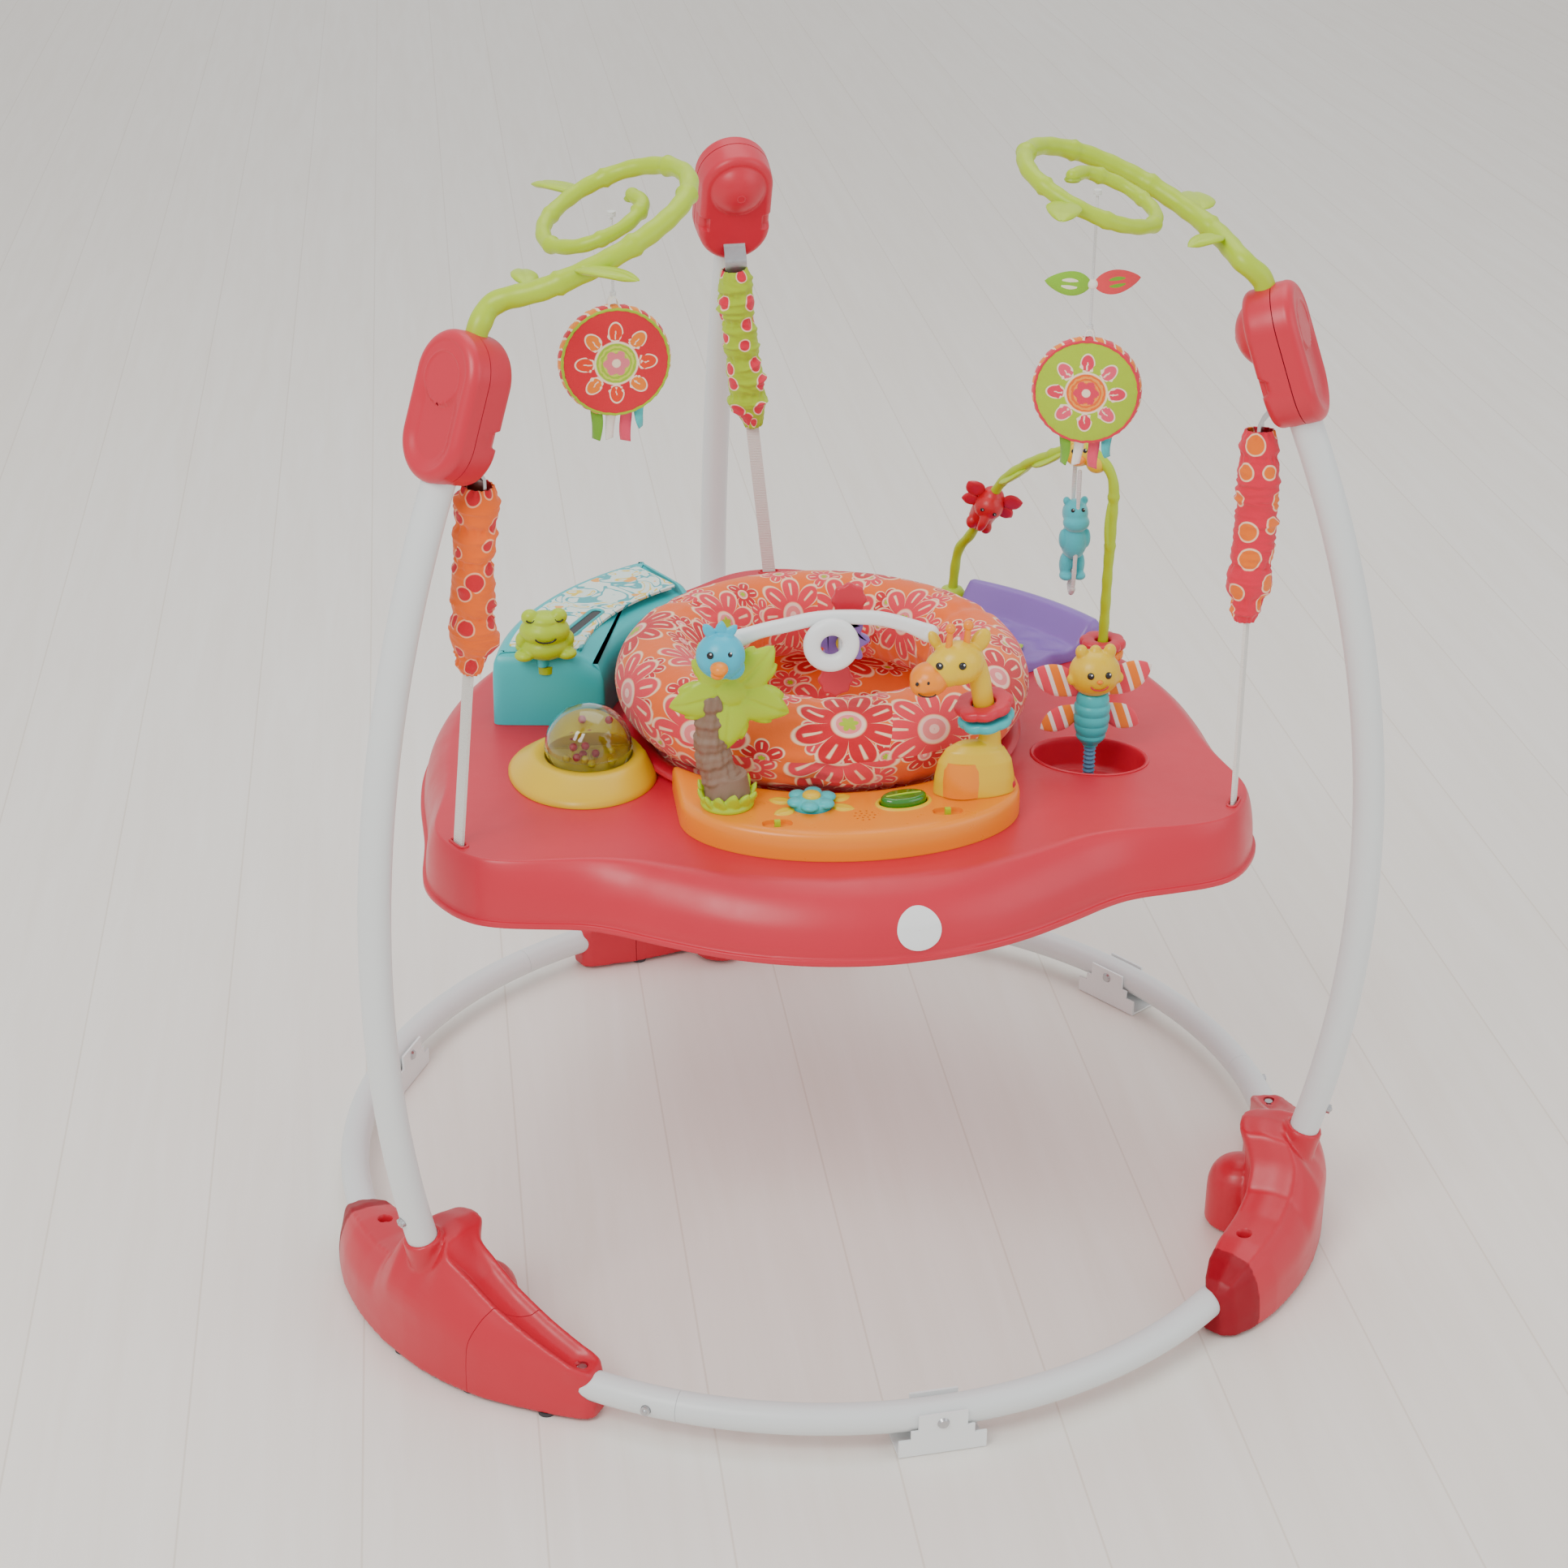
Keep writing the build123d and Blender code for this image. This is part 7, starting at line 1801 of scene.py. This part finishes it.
hb = [ell(H + arr(0, 0, 577), (11.5, 13.2, 12.5)), ell(H + arr(0, -6, 570), (12.0, 10.0, 8.5)), ell(H + arr(0, 0, 551), (12.0, 13.6, 17)), ell(H + arr(-6, 2, 528), (5.6, 6.4, 12)), ell(H + arr(6, 2, 528), (5.6, 6.4, 12)), ell(H + arr(-6, -2, 518.5), (6, 7.5, 4)), ell(H + arr(6, -2, 518.5), (6, 7.5, 4)),
      ell(H + arr(-8, 1, 588), (3.4, 3.2, 3.8)), ell(H + arr(8, 1, 588), (3.4, 3.2, 3.8)), ell(H + arr(-10.5, -3, 554), (3.8, 5, 9)), ell(H + arr(10.5, -3, 554), (3.8, 5, 9))]
PLUSH = fabric("hippo_plush", (84, 190, 200), sheen=0.6)
make("hippo_body", fuse(hb, 0.9, 3), "hippo_swing", None, "plush_multi", rep=("hippo",), mats=[PLUSH], angle=70)
for k, s in enumerate((-1, 1)):
    eye("hippo_eye_%d" % k, H + arr(s * 4.6, -10.6, 583), (s * 0.2, -1, 0.3), 1.8, "hippo_swing")
crd = []
for s in (-1, 1):
    crd.append(tube([H + arr(0, s * 9, 618), H + arr(0, s * 9.4, 596), H + arr(0, s * 9, 570), H + arr(0, s * 9, 530), H + arr(0, s * 6, 507)], 1.9, 12, 8, ripple=lambda q: 0.22 * math.sin(q * 2.4)))
crd.append(tube([H + arr(0, -6, 507), H + arr(0, 0, 501.5), H + arr(0, 6, 507)], 2.6, 12, 6))
make("hippo_cords", join(*crd), "hippo_swing", "cord", "webbing_white", angle=60)

# a plain round blank sticker on the front wall
st = []
for k in range(72):
    t = 2 * pi * k / 72
    st.append((17.5 * math.cos(t), 17.5 * math.sin(t)))
A_ = -84.0
i_ = int(round((A_ % 360) / 360 * NT_))
mz = 404.0
mlow = np.interp(mz, [395, 417], [0.05, 0.35])
pos_ = tray_ring(mlow, 0, mz)[i_]
pu = tray_ring(np.interp(mz + 8, [395, 417], [0.05, 0.35]), 0, mz + 8)[i_]
upv = unit(pu - pos_)
tv = unit(tray_ring(mlow, 0, mz)[(i_ + 3) % NT_] - tray_ring(mlow, 0, mz)[(i_ - 3) % NT_])
nv_ = unit(np.cross(tv, upv))
if nv_ @ pos_ < 0:
    nv_ = -nv_
rows = []
for s, h in ((1, 0.3), (1.0, 0.9), (0.98, 1.0), (0.8, 1.0), (0.6, 1.0), (0.4, 1.0), (0.2, 1.0), (0.01, 1.0)):
    ring = []
    for x, y in st:
        th = math.atan2(*(pos_ + tv * x * s)[1::-1])
        zz = mz + y * s * upv[2]
        m_ = np.interp(zz, [386.5, 389, 395, 407, 417, 424.5, 429.5], [0.01, 0.015, 0.05, 0.17, 0.35, 0.55, 0.75])
        r0 = np.interp((math.degrees(th) % 360) / 360 * NT_, np.arange(NT_), PR[0])
        r1 = np.interp((math.degrees(th) % 360) / 360 * NT_, np.arange(NT_), PR[1])
        r = r0 * (1 - m_) + r1 * m_ + h
        ring.append((r * math.cos(th), r * math.sin(th), zz))
    rows.append(ring)
make("front_sticker", grid(np.array(rows).transpose(1, 0, 2), cu=True), "tray", "white", "white_plastic", angle=50)


# ------------------------------------------------------------------ floor, world and soft studio light
def floor_mat():
    m, nt, b = new_mat("floor_wood")
    vec = coords(nt)
    sep = nt.nodes.new("ShaderNodeSeparateXYZ")
    nt.links.new(vec, sep.inputs[0])
    x, y = X(nt, sep.outputs[0]), X(nt, sep.outputs[1])
    plank = (x * 7.2).floor()
    edge = ((x * 7.2).frac() - 0.5).abs().step(0.494, 0.004)
    st = nt.nodes.new("ShaderNodeVectorMath")
    st.operation = "MULTIPLY"
    nt.links.new(vec, st.inputs[0])
    st.inputs[1].default_value = (22.0, 1.4, 1.0)
    g = noise(nt, st.outputs[0], 1.6, 6.0, 0.62, 0.7)
    sh = (plank * 12.9898).sin() * 0.5 + 0.5
    c = mixc(nt, g, lin((236, 230, 222)), lin((250, 248, 244)))
    c = mixc(nt, sh * 0.16, c, lin((214, 202, 188)))
    c = mixc(nt, edge * 0.4, c, lin((196, 184, 170)))
    nt.links.new(c, b.inputs["Base Color"])
    b.inputs["Roughness"].default_value = 0.42
    return m


me = bpy.data.meshes.new("floor")
me.from_pydata([(-14, -8, 0), (14, -8, 0), (14, 14, 0), (-14, 14, 0)], [], [(0, 1, 2, 3)])
me.materials.append(floor_mat())
fl = bpy.data.objects.new("floor", me)
fl.location = (0, 0, -0.0003)
bpy.context.scene.collection.objects.link(fl)

w = bpy.data.worlds.new("world")
bpy.context.scene.world = w
w.use_nodes = True
bg = w.node_tree.nodes["Background"]
bg.inputs[0].default_value = (1.0, 1.0, 1.0, 1)
bg.inputs[1].default_value = 0.92


def area(name, loc, target, size, power, col=(1, 1, 1)):
    d = bpy.data.lights.new(name, "AREA")
    d.shape = "RECTANGLE"
    d.size, d.size_y = size
    d.energy = power
    d.color = col
    o = bpy.data.objects.new(name, d)
    bpy.context.scene.collection.objects.link(o)
    o.location = loc
    o.rotation_euler = (Vector(target) - Vector(loc)).to_track_quat("-Z", "Y").to_euler()


area("key", (-1.7, -2.0, 2.9), (0, 0, 0.4), (1.5, 1.5), 62.0, (1.0, 0.985, 0.96))
area("fill", (2.4, -1.6, 1.8), (0, 0, 0.45), (2.0, 2.0), 17.0, (0.96, 0.98, 1.0))
area("top", (0.2, 0.9, 3.2), (0, 0, 0.4), (2.4, 2.0), 30.0)
